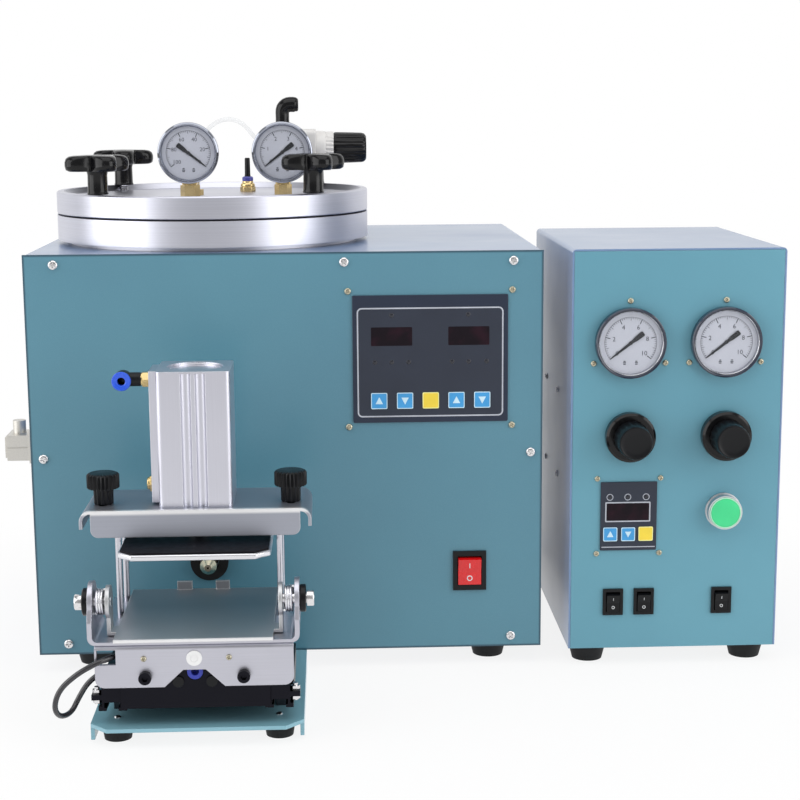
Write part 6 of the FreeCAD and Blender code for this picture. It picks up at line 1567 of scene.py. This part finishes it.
@dataclass
class DisplayPanel(MembranePanel):
    """The injector's membrane panel with two windows, lamps and five keys."""

    left: float = -31.4
    right: float = 98.6
    low: float = 214.3
    high: float = 321.7
    sheet: float = INJECTOR_FRONT
    lamps: tuple[Point2, ...] = (
        (1.2, 305.0), (65.2, 305.0), (-12.9, 265.5), (1.1, 265.5), (15.3, 265.5), (51.6, 265.5),
        (65.6, 265.5), (80.6, 265.5))

    def build(self) -> None:
        """Make the panel's pieces."""
        overlay = rounded_outline(self.left, self.right, self.low, self.high, 1.2)
        sheet = Solid().slab(Axis.Y, overlay, self.face, self.sheet)
        self.lay(sheet, "display_overlay", OVERLAY_EDGE, 0.3)
        left, right, low, high = self.left + 3.6, self.right - 3.9, self.low + 4.7, self.high - 10.3
        border = rounded_outline(left, right, low, high, 4)
        field_high = self.face - 0.08
        self.lay(Solid().slab(Axis.Y, border, field_high, self.face), "display_field", OVERLAY)
        line = 1.2
        inner = rounded_outline(left + line, right - line, low + line, high - line, 2.9)
        frame = Solid().frame(Axis.Y, border, inner, field_high - 0.1, field_high)
        self.lay(frame, "display_line", OVERLAY_LINE)
        windows = Solid()
        for start in (self.left + 15.3, self.left + 79.9):
            window = rounded_outline(start, start + 34.4, self.low + 65.1, self.low + 80.7, 0.8)
            windows.slab(Axis.Y, window, field_high - 0.2, field_high)
        self.lay(windows, "display_windows", DISPLAY_WINDOW, 0.1)
        lamps, dome = Solid(), [(0, -0.35), (1.2, -0.3), (1.9, -0.1), (2.0, 0), (0, 0)]
        for x, z in self.lamps:
            lamps.turned(Axis.Y, (x, field_high, z), dome, 20)
        self.lay(lamps, "display_lamps", OVERLAY_LAMP)
        keys = [MembraneKey(self.left + start, self.low + 11.7, 13.7, mark) for start, mark in
                ((14.9, "^"), (36.6, "v"), (58.2, "-"), (79.8, "^"), (101.5, "v"))]
        self.lay_keys("display", keys, field_high)


@dataclass
class TimerPanel(MembranePanel):
    """The control cabinet's small membrane panel."""

    left: float = 176.8
    right: float = 224.8
    low: float = 102.7
    high: float = 162.2
    sheet: float = CONTROLLER_FRONT
    lamps: tuple[Point2, ...] = ((184.6, 149.2), (199.8, 149.2), (215.4, 149.2))

    def build(self) -> None:
        """Make the panel's pieces."""
        face = self.face
        overlay = rounded_outline(self.left, self.right, self.low, self.high, 0.8)
        self.lay(Solid().slab(Axis.Y, overlay, face, self.sheet), "timer_overlay", OVERLAY, 0.3)
        left, right, low, high = self.left + 3.9, self.left + 42.5, self.low + 24.9, self.low + 42.3
        lines = Solid()
        lines.frame(Axis.Y, rounded_outline(left, right, low, high, 0.9),
                    rounded_outline(left + 1.1, right - 1.1, low + 1.1, high - 1.1, 0.5),
                    face - 0.14, face)
        for spot in self.lamps:
            lines.frame(Axis.Y, circle_outline(spot, 2.9, 24), circle_outline(spot, 2.3, 24),
                        face - 0.14, face)
        start, end, base = self.left + 1.2, self.right - 1.2, self.low + 2.6
        lines.slab(Axis.Y, [(start, base), (end, base), (end, base + 0.8), (start, base + 0.8)],
                   face - 0.1, face)
        self.lay(lines, "timer_lines", OVERLAY_LINE)
        window = rounded_outline(left + 1.2, right - 1.2, low + 1.2, high - 1.2, 0.4)
        self.lay(Solid().slab(Axis.Y, window, face - 0.1, face), "timer_window", DISPLAY_WINDOW)
        lamps, dome = Solid(), [(0, -0.3), (1.1, -0.26), (1.6, -0.1), (1.7, 0), (0, 0)]
        for x, z in self.lamps:
            lamps.turned(Axis.Y, (x, face, z), dome, 20)
        self.lay(lamps, "timer_lamps", OVERLAY_LAMP)
        keys = [MembraneKey(self.left + start, self.low + 8.2, size, mark) for start, size, mark in
                ((2.4, 12.1, "^"), (17.8, 11.9, "v"), (32.6, 12.3, "-"))]
        self.lay_keys("timer", keys, face)


@dataclass
class RockerSwitch:
    """The printed marks of one rocker, which lie on its two sloping halves."""

    name: str
    body: str
    x: float
    z: float
    tall: float
    sheet: float
    size: float
    tilt: float = 7.0
    reach: float = 7.2
    hollow: float = 1.5
    pivot_depth: ClassVar[float] = 3.0
    ink_layer: ClassVar[Point2] = (0.02, 0.12)

    def build(self) -> None:
        """Print a bar on the upper half and a ring on the lower one."""
        ink = Solid()
        for way in (1, -1):
            ink_half = Solid()
            if way == 1:
                wide = self.size * 0.14
                bar = rounded_outline(-wide, wide, -self.size, self.size, self.size * 0.1)
                ink_half.slab(Axis.Z, bar, *self.ink_layer)
            else:
                ink_half.frame(Axis.Z, circle_outline((0, 0), self.size),
                               circle_outline((0, 0), self.size * 0.68), *self.ink_layer)
            ink.take(ink_half.moved(self.half_place(way)).mesh)
        ink.piece(f"{self.name}_marks", INK_WHITE, self.body)

    def half_place(self, way: int) -> Matrix:
        """Find where one half of the rocker lies.

        Args:
            way: 1 for the upper half, -1 for the lower one.

        Returns:
            The place of the half's middle, with its slope, in millimetres.
        """
        half = self.tall / 2 - 0.8
        ends = []
        for along, across in ((0.0, -(self.reach - self.hollow)), (way * half, -self.reach)):
            turn = math.radians(self.tilt)
            ends.append(Vector((self.x,
                                self.sheet + self.pivot_depth + across * math.cos(turn)
                                - along * math.sin(turn),
                                self.z + across * math.sin(turn) + along * math.cos(turn))))
        middle = (ends[0] + ends[1]) / 2
        slope = (ends[1] - ends[0]).normalized() * way
        side = Vector((1, 0, 0))
        out = side.cross(slope)
        return Matrix.Translation(middle) @ Matrix((side, slope, out)).transposed().to_4x4()


@dataclass
class Switches:
    """The mains switch and the three small switches."""

    frame: dict

    def build(self) -> None:
        """Dress the housings and keys and print their marks."""
        dress(self.frame, BLACK_SATIN, "switch_frames", "forward_rocker", "clamp_rocker",
              "power_rocker")
        dress(self.frame, RED, "mains_rocker")
        RockerSwitch("mains", "mains_key", x=66.5, z=84.3, tall=24.4, sheet=INJECTOR_FRONT,
                     size=2.4).build()
        for word, x in (("forward", 188.6), ("clamp", 215.1), ("power", 282.0)):
            RockerSwitch(word, f"{word}_key", x=x, z=57.2, tall=16.6, sheet=CONTROLLER_FRONT,
                         size=1.35).build()


@dataclass
class InjectorCabinet:
    """The main cabinet: sheets, feet, screws, connectors and what is inside."""

    frame: dict
    between_cabinets: float = 140.0
    last_sheet_screw: float = 156.0
    display_zone: tuple[Point2, Point2] = ((-40, 106), (205, 330))
    side_head: Point2 = (1.2, 1.15)
    cross_step: int = 37

    def build(self) -> None:
        """Dress the cabinet and sort its screws and connectors."""
        dress(self.frame, TEAL, "front_panel")
        dress(self.frame, COVER_PAINT, "wrap_cover", "rear_chassis")
        dress(self.frame, RUBBER, "rubber_feet", "nozzle_bumper")
        dress(self.frame, ALUMINIUM_DRAWN, "nozzle_block")
        dress(self.frame, HEATER, "pot_heater")
        dress(self.frame, BRASS_PALE, "nozzle_tip")
        dress(self.frame, VALVE_METAL, "air_valves")
        dress(self.frame, CIRCUIT, "control_boards")
        PartSorter(self.frame, "cable_connectors", "cabinets").share([
            ("side_plug", PLUG_METAL, lambda middle: middle.x < -280),
            ("mains_inlets", BLACK_SATIN, lambda middle: True)])
        self.drive_screws()

    def drive_screws(self) -> None:
        """Set a cross-recessed head at each place where a screw holds a sheet or a panel."""
        steel, brass = Solid(), Solid()
        for number, (part, middle) in enumerate(loose_parts(self.frame, "panel_screws")):
            low = Vector([min(vert.co[axis] for vert in part.verts) for axis in range(3)])
            high = Vector([max(vert.co[axis] for vert in part.verts) for axis in range(3)])
            part.free()
            radius = (high.z - low.z) / 2
            turn = (number * self.cross_step) % 90
            round_about_x = abs((high.y - low.y) - 2 * radius) < 0.2
            if round_about_x:
                depth, height = self.side_head
                seat = (low.x + depth, middle.y, middle.z)
                steel.screw_head(Axis.X, seat, -1, radius, height, turn)
                continue
            solid = steel if self.is_sheet_screw(middle) else brass
            sheet = INJECTOR_FRONT if middle.x < self.between_cabinets else CONTROLLER_FRONT
            solid.screw_head(Axis.Y, (middle.x, sheet, middle.z), -1, radius, sheet - low.y, turn)
        steel.piece("sheet_screws", NICKEL, "cabinets", ("panel_screws",), crease=40)
        brass.piece("brass_panel_screws", BRASS_SCREW, "cabinets", ("panel_screws",), crease=40)

    def is_sheet_screw(self, middle: Vector) -> bool:
        """Tell whether a screw holds the sheets, by its place.

        Args:
            middle: the middle of the screw's box.

        Returns:
            True for a steel screw of the sheets, False for a brass one of a gauge or panel.
        """
        (left, right), (low, high) = self.display_zone
        at_display = left < middle.x < right and low < middle.z < high
        return middle.x < self.last_sheet_screw and not at_display


@dataclass
class ControlCabinet:
    """The separate cabinet with its gauges, knobs, button and timer."""

    frame: dict
    knob_height: float = 201.3
    knob_front: float = -114.75
    button: Point3 = (281.6, -93.7, 136.1)

    def build(self) -> None:
        """Dress the sheets and make the knobs and the button."""
        # control cabinet in the paler teal: painted light
        dress(self.frame, TEAL_PAINTED_LIGHT, "controller_chassis")
        dress(self.frame, COVER_PAINT, "controller_cover")
        dress(self.frame, BLACK_GLOSS, "regulator_bodies")
        dress(self.frame, BARREL, "button_bezel")
        for word, x in (("forward", 200.6), ("clamp", 281.8)):
            self.make_knob(word, x)
        self.make_button()
        for word, x in (("forward", 199.6), ("clamp", 280.0)):
            DialGauge(f"{word}_gauge", "cabinets", f"{word}_hand", f"{word}_needle", "panel_gauges",
                      x=x, z=281.0, radius=29.6, front=-90.7, back=-38.7, aim=218.0,
                      figures=("0", "2", "4", "6", "8", "10"), blue_rim=True).build()

    def make_knob(self, word: str, x: float) -> None:
        """Turn a panel knob with a dished front and faint flutes.

        Args:
            word: which knob it is.
            x: its place across the panel.
        """
        profile = [(0, 0.9), (8.5, 0.8), (11.6, 0.5), (12.7, 0.05), (13.5, 0.25), (13.9, 1.0),
                   (14.4, 8), (14.9, 16), (15.3, 21.4), (15.0, 22.7), (14.2, 23.0), (6, 23.0),
                   (6, 40.9), (0, 40.9)]
        depth = {6: 0.25, 7: 0.3, 8: 0.3, 9: 0.3}

        def flutes(turn: float, number: int) -> float:
            """Give the depth of the knob's flutes at an angle."""
            return depth.get(number, 0) * math.cos(18 * turn) - depth.get(number, 0)

        Solid().turned(Axis.Y, (x, self.knob_front, self.knob_height), profile, 144,
                       flute=flutes).piece(
            f"{word}_regulator_knob", BLACK_SATIN, f"{word}_turn", (f"{word}_knob",))

    def make_button(self) -> None:
        """Turn the green cap and its pale rim."""
        cap = [(0, 0), (10.5, 0.02), (11.9, 0.15), (12.2, 0.45), (12.2, 2.5), (4, 2.5), (4, 25.3),
               (0, 25.3)]
        Solid().turned(Axis.Y, self.button, cap, 72).piece(
            "button_cap", GREEN, "button", ("green_button",))
        rim = [(12.25, 0.4), (12.5, 0.0), (13.0, 0.0), (13.35, 0.4), (13.35, 2.45), (12.25, 2.45)]
        Solid().turned(Axis.Y, self.button, rim, 72, loop=True).piece(
            "button_rim", GREEN_RIM, "button", ("green_button",))


@dataclass
class StarKnob:
    """A four-lobed lid knob with its stem, washer and screw."""

    word: str
    x: float
    y: float
    turn: float
    base: float = 404.1
    low: float = 423.6
    high: float = 437.1
    head_radius: float = 27.6
    screw_low: float = 369.7
    pitch: float = 1.36
    threads: int = 24

    def build(self) -> None:
        """Make the knob's head and stem, and its screw."""
        heights = [(0.0, 0), (0.55, 0), (0.9, 0.02), (1.0, 0.12), (1.03, 0.35), (1.03, 0.6),
                   (0.99, 0.82), (0.9, 0.95), (0.75, 1.0), (0.5, 0.985), (0.3, 0.93), (0.26, 0.99),
                   (0.0, 1.0)]
        tall = self.high - self.low
        profile = [(self.head_radius * share, self.low + tall * part) for share, part in heights]
        profile[1] = (8.4, self.low)
        head = Solid().turned(Axis.Z, (self.x, self.y, 0), profile, 128,
                              flute=lambda turn, number: self.lobe(turn, profile[number][0]))
        stem = [(0, self.base + 0.02), (8.6, self.base + 0.02), (9.0, self.base + 0.4),
                (9.0, self.base + 1.2), (8.6, self.base + 1.7), (8.5, self.base + 4),
                (8.3, self.low - 3), (8.8, self.low - 0.6), (9.8, self.low + 1.0),
                (0, self.low + 1.0)]
        head.turned(Axis.Z, (self.x, self.y, 0), stem, 48)
        body, node = f"{self.word}_star", f"{self.word}_star_knob"
        head.piece(f"{self.word}_star", BLACK_GLOSS, body, (node,), crease=50)
        first = self.screw_low + 1.3
        screw = [(0, self.screw_low), (3.3, self.screw_low), (4.0, self.screw_low + 0.9)]
        for step in range(self.threads):
            crest = first + step * self.pitch
            screw += [(4.0, crest), (3.5, crest + self.pitch / 2)]
        screw += [(4.0, self.base + 0.5), (0, self.base + 0.5)]
        Solid().turned(Axis.Z, (self.x, self.y, 0), screw, 24).piece(
            f"{self.word}_star_screw", NICKEL, body, (node,))

    def lobe(self, turn: float, radius: float) -> float:
        """Shape the head's four lobes.

        Args:
            turn: the angle.
            radius: the lobes' reach.

        Returns:
            The change of radius.
        """
        wave = (1 + math.cos(4 * (turn - math.radians(self.turn)))) / 2
        reach = 0.52 + 0.48 * wave ** 0.72
        inner = 9.0
        outer = max(0.0, (radius - inner) / (self.head_radius - inner))
        return radius * (reach - 1) * min(1.0, outer)


@dataclass
class WaxPotAndLid:
    """The pot, its seal and lid, and what stands on the lid."""

    frame: dict
    axis_x: ClassVar[float] = -153.8
    axis_y: ClassVar[float] = 73.0
    stud_offset: float = 91.2
    regulator_y: float = 56.0
    regulator_z: float = 440.3
    regulator_left: float = -100.8
    regulator_right: float = -51.3

    def build(self) -> None:
        """Dress the pot and make the knobs, gauges and fittings."""
        dress(self.frame, ALUMINIUM_TURNED, "wax_pot", "lid_plate")
        dress(self.frame, GASKET, "lid_gasket")
        for word, across, along, turn in (("left_front", -1, -1, 31), ("right_front", 1, -1, 24),
                                          ("left_rear", -1, 1, 10), ("right_rear", 1, 1, 52)):
            StarKnob(word, self.axis_x + across * self.stud_offset,
                     self.axis_y + along * self.stud_offset, turn).build()
        DialGauge("vacuum_gauge", "lid", "vacuum_hand", "vacuum_needle", "lid_gauges",
                  x=-170.8, z=437.5, radius=26.5, front=12.0, back=34.0, aim=-38.0,
                  figures=("0", "20", "40", "60", "80", "100"), clockwise=False).build()
        DialGauge("pressure_gauge", "lid", "pressure_hand", "pressure_needle", "lid_gauges",
                  x=-89.5, z=437.5, radius=26.5, front=12.0, back=34.0, aim=218.0,
                  figures=("0", "1", "2", "3", "4", "5")).build()
        self.make_fittings()
        self.make_regulator()

    def make_fittings(self) -> None:
        """Turn the bleed valve and keep the brass hexagons, barb and nipple."""
        PartSorter(self.frame, "lid_fittings", "lid").share([
            ("bleed_valve_blank", None, lambda middle: middle.y > 100),
            ("lid_brass", BRASS, lambda middle: True)])
        x, y, dish = -124.8, 118.0, 399.1
        hexagon = [(x + across * 7.3, y + along * 7.3) for across, along in hexagon_profile(1)]
        brass = Solid().slab(Axis.Z, hexagon, dish, dish + 4.6)
        shoulder = [(0, 4.6), (6.4, 4.6), (6.8, 5.4), (6.4, 7.2), (5.2, 7.8), (5.0, 9.8), (0, 9.8)]
        brass.turned(Axis.Z, (x, y, dish), shoulder, 40)
        brass.piece("bleed_valve_base", BRASS, "lid", ("lid_fittings",), 0.5)
        collar = [(0, 9.7), (4.9, 9.7), (5.1, 10.4), (5.1, 12.8), (4.2, 13.8), (0, 13.8)]
        Solid().turned(Axis.Z, (x, y, dish), collar, 40).piece(
            "bleed_valve_collar", BLUE_DEEP, "lid", ("lid_fittings",))
        stem = [(0, 13.7), (2.9, 13.7), (2.6, 16), (2.4, 30.2), (1.9, 31), (0, 31)]
        Solid().turned(Axis.Z, (x, y, dish), stem, 32).piece(
            "bleed_valve_stem", BLACK_SATIN, "lid", ("lid_fittings",))

    def make_regulator(self) -> None:
        """Build the lid regulator: body and ribbed ring, elbow, and fluted knob."""
        self.make_regulator_body()
        self.make_regulator_elbow()
        self.make_regulator_knob()

    def make_regulator_body(self) -> None:
        """Build the ivory body with its neck, and the ribbed ring beside it."""
        y, z = self.regulator_y, self.regulator_z
        left, right = self.regulator_left, self.regulator_right
        block = rounded_outline(y - 15, y + 15, z - 13.5, z + 16.5, 4.5)
        body = Solid().slab(Axis.X, block, left, right - 9)
        neck = [(0, right - 9.5), (14.9, right - 9.5), (14.9, right - 3), (14.2, right - 0.4),
                (13.6, right), (0, right)]
        body.turned(Axis.X, (0, y, z), neck, 64)
        body.piece("regulator_body", IVORY, "lid", ("lid_regulator",), 0.9)
        ring = [(6, right - 0.2), (13.9, right - 0.2), (14.2, right + 0.5), (14.2, right + 6.0),
                (13.8, right + 6.6), (6, right + 6.6)]
        depth = {2: 0.45, 3: 0.45}

        def ribs(turn: float, number: int) -> float:
            """Give the depth of the ribs' grooves at an angle."""
            return depth.get(number, 0) * (math.cos(24 * turn) - 1)

        Solid().turned(Axis.X, (0, y, z), ring, 192, loop=True, flute=ribs).piece(
            "regulator_ring", IVORY, "lid", ("lid_regulator",))

    def make_regulator_elbow(self) -> None:
        """Bend the black elbow on the body, with its nut, its ring and the port's plug."""
        y, x = self.regulator_y, self.regulator_left + 11
        bend_low, bend, mouth = 471.5, 7, 478.2
        line = [(x, y, 456.0), (x, y, 466.0), (x, y, bend_low)]
        for turn in range(15, 91, 15):
            part = math.radians(turn)
            line.append((x + bend * (1 - math.cos(part)), y, bend_low + bend * math.sin(part)))
        line += [(x + 9.5, y, 478.5), (x + 11.6, y, mouth), (x + 12.6, y, 478.0)]
        radii = [6.3, 6.0, 6.1] + [6.3, 6.5, 6.6, 6.7, 6.7, 6.7] + [6.7, 6.5, 5.6]
        elbow = Solid().swept(line, radii, 32)
        nut = [(0, 455.0), (6.6, 455.0), (6.9, 456), (6.9, 459), (6.2, 460), (0, 460)]
        elbow.turned(Axis.Z, (x, y, 0), nut, 32)
        ring = [(3.2, x + 11), (5.6, x + 11), (6.0, x + 12), (5.6, x + 13.6), (4.6, x + 14.2),
                (3.2, x + 13.4)]
        elbow.turned(Axis.X, (0, y, mouth), ring, 32, loop=True)
        left = self.regulator_left
        plug = [(0, left - 8), (1.2, left - 8), (1.2, left + 0.5), (0, left + 0.5)]
        elbow.turned(Axis.X, (0, y, self.regulator_z + 2), plug, 16)
        elbow.piece("regulator_elbow", BLACK_GLOSS, "lid", ("lid_regulator",), crease=40)

    def make_regulator_knob(self) -> None:
        """Turn the fluted knob and its shaft."""
        y, z, right = self.regulator_y, self.regulator_z, self.regulator_right
        start = right + 6.75
        knob = [(0, start), (12.9, start), (13.5, start + 0.8), (13.6, start + 3),
                (13.3, start + 16), (13.0, start + 24.6), (12.4, start + 26.9),
                (11.4, start + 28.1), (10.2, start + 28.9), (8.6, start + 28.4), (0, start + 28.2)]
        grip = {2: 0.35, 3: 0.75, 4: 0.75, 5: 0.7, 6: 0.45}

        def flutes(turn: float, number: int) -> float:
            """Give the depth of the knob's flutes at an angle."""
            return -grip.get(number, 0) * max(0.0, math.cos(18 * turn)) ** 0.6

        Solid().turned(Axis.X, (0, y, z), knob, 180, flute=flutes).piece(
            "regulator_grip", BLACK_GLOSS, "lid_regulator_turn", ("lid_regulator_knob",), crease=40)
        shaft = [(0, right - 11), (5, right - 11), (5, start + 0.1), (0, start + 0.1)]
        Solid().turned(Axis.X, (0, y, z), shaft, 32).piece(
            "regulator_shaft", STEEL_DARK, "lid_regulator_turn", ("lid_regulator_knob",))


@dataclass
class ClampStand:
    """The base plate, the slide and the carriage with its posts, bolts and springs."""

    frame: dict

    def build(self) -> None:
        """Dress the stand and sort its screws."""
        # paler teal: painted light on the base plate
        dress(self.frame, TEAL_BASE_PAINTED_LIGHT, "clamp_base_plate")
        dress(self.frame, RAIL, "slide_rails")
        dress(self.frame, STEEL_DARK, "carriage_block")
        dress(self.frame, SHEET_BRIGHT, "carriage_frame")
        dress(self.frame, POST, "guide_posts")
        dress(self.frame, BLUE_CAST, "carriage_fitting")
        dress(self.frame, SPRING, "pivot_springs")
        PartSorter(self.frame, "carriage_screws", "carriage").share([
            ("cap_screws", STEEL_DARK, lambda middle: 50 < middle.z < 62 and middle.y < -249),
            ("dark_discs", BLACK_SATIN, lambda middle: 47 < middle.z < 57),
            ("stop_bolts", NICKEL, lambda middle: middle.z < 47),
            ("white_plug", WHITE_PLUG, lambda middle: abs(middle.x - CLAMP_MIDDLE) < 3),
            ("brass_screws_blank", None, lambda middle: True)])
        brass, flange, row = Solid(), -250.0, 71.0
        for x, turn in ((-192.5, 20), (-128.9, 63)):
            brass.screw_head(Axis.Y, (x, flange, row), -1, 2.3, 1.6, turn)
        brass.piece("brass_screws", BRASS_SCREW, "carriage", ("carriage_screws",), crease=40)
        self.make_pivots()
        screws = Solid()
        for side in (-1, 1):
            screws.turned(Axis.Z, (CLAMP_MIDDLE + side * 62, -224, 16.0),
                          [(0, 0), (2.6, 0), (2.6, 0.4), (1.9, 1.1), (0.9, 1.3), (0, 1.1)], 24)
        screws.piece("base_screws", NICKEL, "cabinets")

    def make_pivots(self) -> None:
        """Turn the pivot bolts and their dark washers."""
        for word, side, outer in (("left", -1, -244.8), ("right", 1, -64.8)):
            centre = (outer, -230.0, 110.0)

            def out(distance: float) -> float:
                """Give a place along the bolt, counted inwards from its head's end."""
                return -side * distance

            bolt = [(0, out(2.6)), (2.6, out(2.6)), (2.9, out(0.1)), (3.4, out(0)), (5.6, out(0)),
                    (6.1, out(0.7)), (6.1, out(5.4)), (4.0, out(5.6)), (4.0, out(27.2)),
                    (3.2, out(27.4)), (0, out(27.4))]
            Solid().turned(Axis.X, centre, bolt, 48).piece(
                f"{word}_pivot_bolt", NICKEL, "carriage", ("pivot_screws",), crease=40)
            washer = [(4.1, out(6.2)), (9.6, out(6.0)), (10.5, out(6.7)), (10.5, out(9.9)),
                      (9.9, out(10.8)), (4.1, out(10.8))]
            Solid().turned(Axis.X, centre, washer, 48, loop=True).piece(
                f"{word}_pivot_washer", BLACK_SATIN, "carriage", ("pivot_screws",))


@dataclass
class ClampHead:
    """The platform, the tray with its thumb knobs, and the press cylinder with its plate."""

    frame: dict
    thumb_y: float = -180.0
    thumb_low: float = 173.75

    def build(self) -> None:
        """Dress the head and make its knobs, plate and fittings."""
        dress(self.frame, SHEET_SATIN, "platform")
        dress(self.frame, SHEET_TRAY, "upper_tray")
        dress(self.frame, ALUMINIUM_DRAWN, "press_cylinder")
        dress(self.frame, CHROME, "press_rod")
        for word, x in (("left", -227.3), ("right", -82.3)):
            self.make_thumb_knob(word, x)
        self.make_plate()
        self.make_air_fittings()

    def make_thumb_knob(self, word: str, x: float) -> None:
        """Turn a ribbed thumb knob with its ribbed neck and screw.

        Args:
            word: which knob it is.
            x: its place across the tray.
        """
        low = self.thumb_low
        profile = [(0, low), (7.2, low), (7.6, low + 0.8), (7.8, low + 11.8), (8.2, low + 12.3),
                   (11.9, low + 12.6), (12.7, low + 13.4), (12.7, low + 22.6), (11.9, low + 23.9),
                   (10.4, low + 24.5), (0, low + 24.3)]
        ribs = {1: (0.5, 12), 2: (0.6, 12), 3: (0.6, 12), 5: (0.4, 24), 6: (0.8, 24), 7: (0.8, 24),
                8: (0.5, 24)}

        def flute(turn: float, number: int) -> float:
            """Give the depth of the grooves at an angle."""
            depth, count = ribs.get(number, (0.0, 1))
            return depth * (math.cos(count * turn) - 1)

        Solid().turned(Axis.Z, (x, self.thumb_y, 0), profile, 192, flute=flute).piece(
            f"{word}_thumb", BLACK_SATIN, f"{word}_thumb", (f"{word}_thumb_knob",), crease=40)
        screw = [(0, 162.2), (2.5, 162.2), (3, 163), (3, low + 0.1), (0, low + 0.1)]
        Solid().turned(Axis.Z, (x, self.thumb_y, 0), screw, 24).piece(
            f"{word}_thumb_screw", STEEL_DARK, f"{word}_thumb", (f"{word}_thumb_knob",))

    def make_plate(self) -> None:
        """Make the press plate with its clipped corners, and a dark layer on its top: painted shade
        and a painted reflection of the tray's underside.
        """
        left, right, front, back, corner = -212.6, -97.0, -234.0, -140.0, 12.0

        def outline(inset: float) -> list[Point2]:
            """Draw the plate's outline.

            Args:
                inset: how far it is set in.

            Returns:
                The corners in order.
            """
            clip = corner * 0.9
            return [(left + clip + inset, front + inset), (right - clip - inset, front + inset),
                    (right - inset, front + clip + inset), (right - inset, back - inset),
                    (left + inset, back - inset), (left + inset, front + clip + inset)]

        Solid().slab(Axis.Z, outline(0), 141.5, 146.0).piece(
            "press_plate_steel", PLATE_STEEL, "press", ("press_plate",), 1.2)
        # painted shade: a dark layer on the plate's top
        Solid().slab(Axis.Z, outline(1.6), 145.9, 147.5).piece(
            "press_plate_shade_layer", PRESS_PLATE_SHADE, "press", ("press_plate",), 0.4)

    def make_air_fittings(self) -> None:
        """Build the elbow with its blue ring and the brass silencer on the cylinder's side."""
        rail, port_y, port_z = -189.1, -178.0, 270.9
        low_y, low_z = -172.0, 187.7
        corners = hexagon_profile(1)
        hexagon = [(port_y + across * 6.4, port_z + along * 6.4) for across, along in corners]
        brass = Solid().slab(Axis.X, hexagon, rail - 5.2, rail)
        collar = [(0, rail - 6.5), (4.9, rail - 6.5), (5.3, rail - 5.9), (5.3, rail - 5.1),
                  (0, rail - 5.1)]
        brass.turned(Axis.X, (0, port_y, port_z), collar, 32)
        lower = [(low_y + across * 7, low_z + along * 7) for across, along in corners]
        brass.slab(Axis.X, lower, rail - 2.6, rail)
        silencer = [(0, rail - 5), (4.4, rail - 4.9), (5.0, rail - 4.2), (5.0, rail - 2.5),
                    (0, rail - 2.5)]
        brass.turned(Axis.X, (0, low_y, low_z), silencer, 32)
        brass.piece("cylinder_brass", BRASS, "tray", ("cylinder_fittings",), 0.35)
        x = rail - 20.5
        arm = [(0, x), (5.4, x), (5.4, rail - 7), (4.9, rail - 6.4), (0, rail - 6.4)]
        elbow = Solid().turned(Axis.X, (0, port_y, port_z), arm, 32)
        socket = [(0, -171.0), (5.6, -171.0), (6.6, -172.2), (6.8, -174), (6.8, -185.5),
                  (6.3, -186.6), (3.2, -186.6), (3.2, -176), (0, -176)]
        elbow.turned(Axis.Y, (x, 0, port_z), socket, 40)
        elbow.piece("press_elbow", BLACK_SATIN, "tray", ("cylinder_fittings",), crease=40)
        ring = [(3.1, -185.0), (6.2, -185.0), (7.1, -186.2), (7.4, -187.2), (7.4, -188.6),
                (6.9, -189.4), (4.2, -189.4), (3.1, -188.7)]
        Solid().turned(Axis.Y, (x, 0, port_z), ring, 48, loop=True).piece(
            "press_release_ring", BLUE, "tray", ("cylinder_fittings",), crease=40)


def main() -> None:
    """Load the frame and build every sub-assembly in order."""
    logging.basicConfig(level=logging.INFO, format="%(name)s: %(message)s")
    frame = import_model()
    StudioStage().build()
    FreeCords().build()
    InjectorCabinet(frame).build()
    DisplayPanel().build()
    ControlCabinet(frame).build()
    TimerPanel().build()
    Switches(frame).build()
    WaxPotAndLid(frame).build()
    ClampStand(frame).build()
    ClampHead(frame).build()
    bpy.context.view_layer.update()


if __name__ == "__main__":
    main()
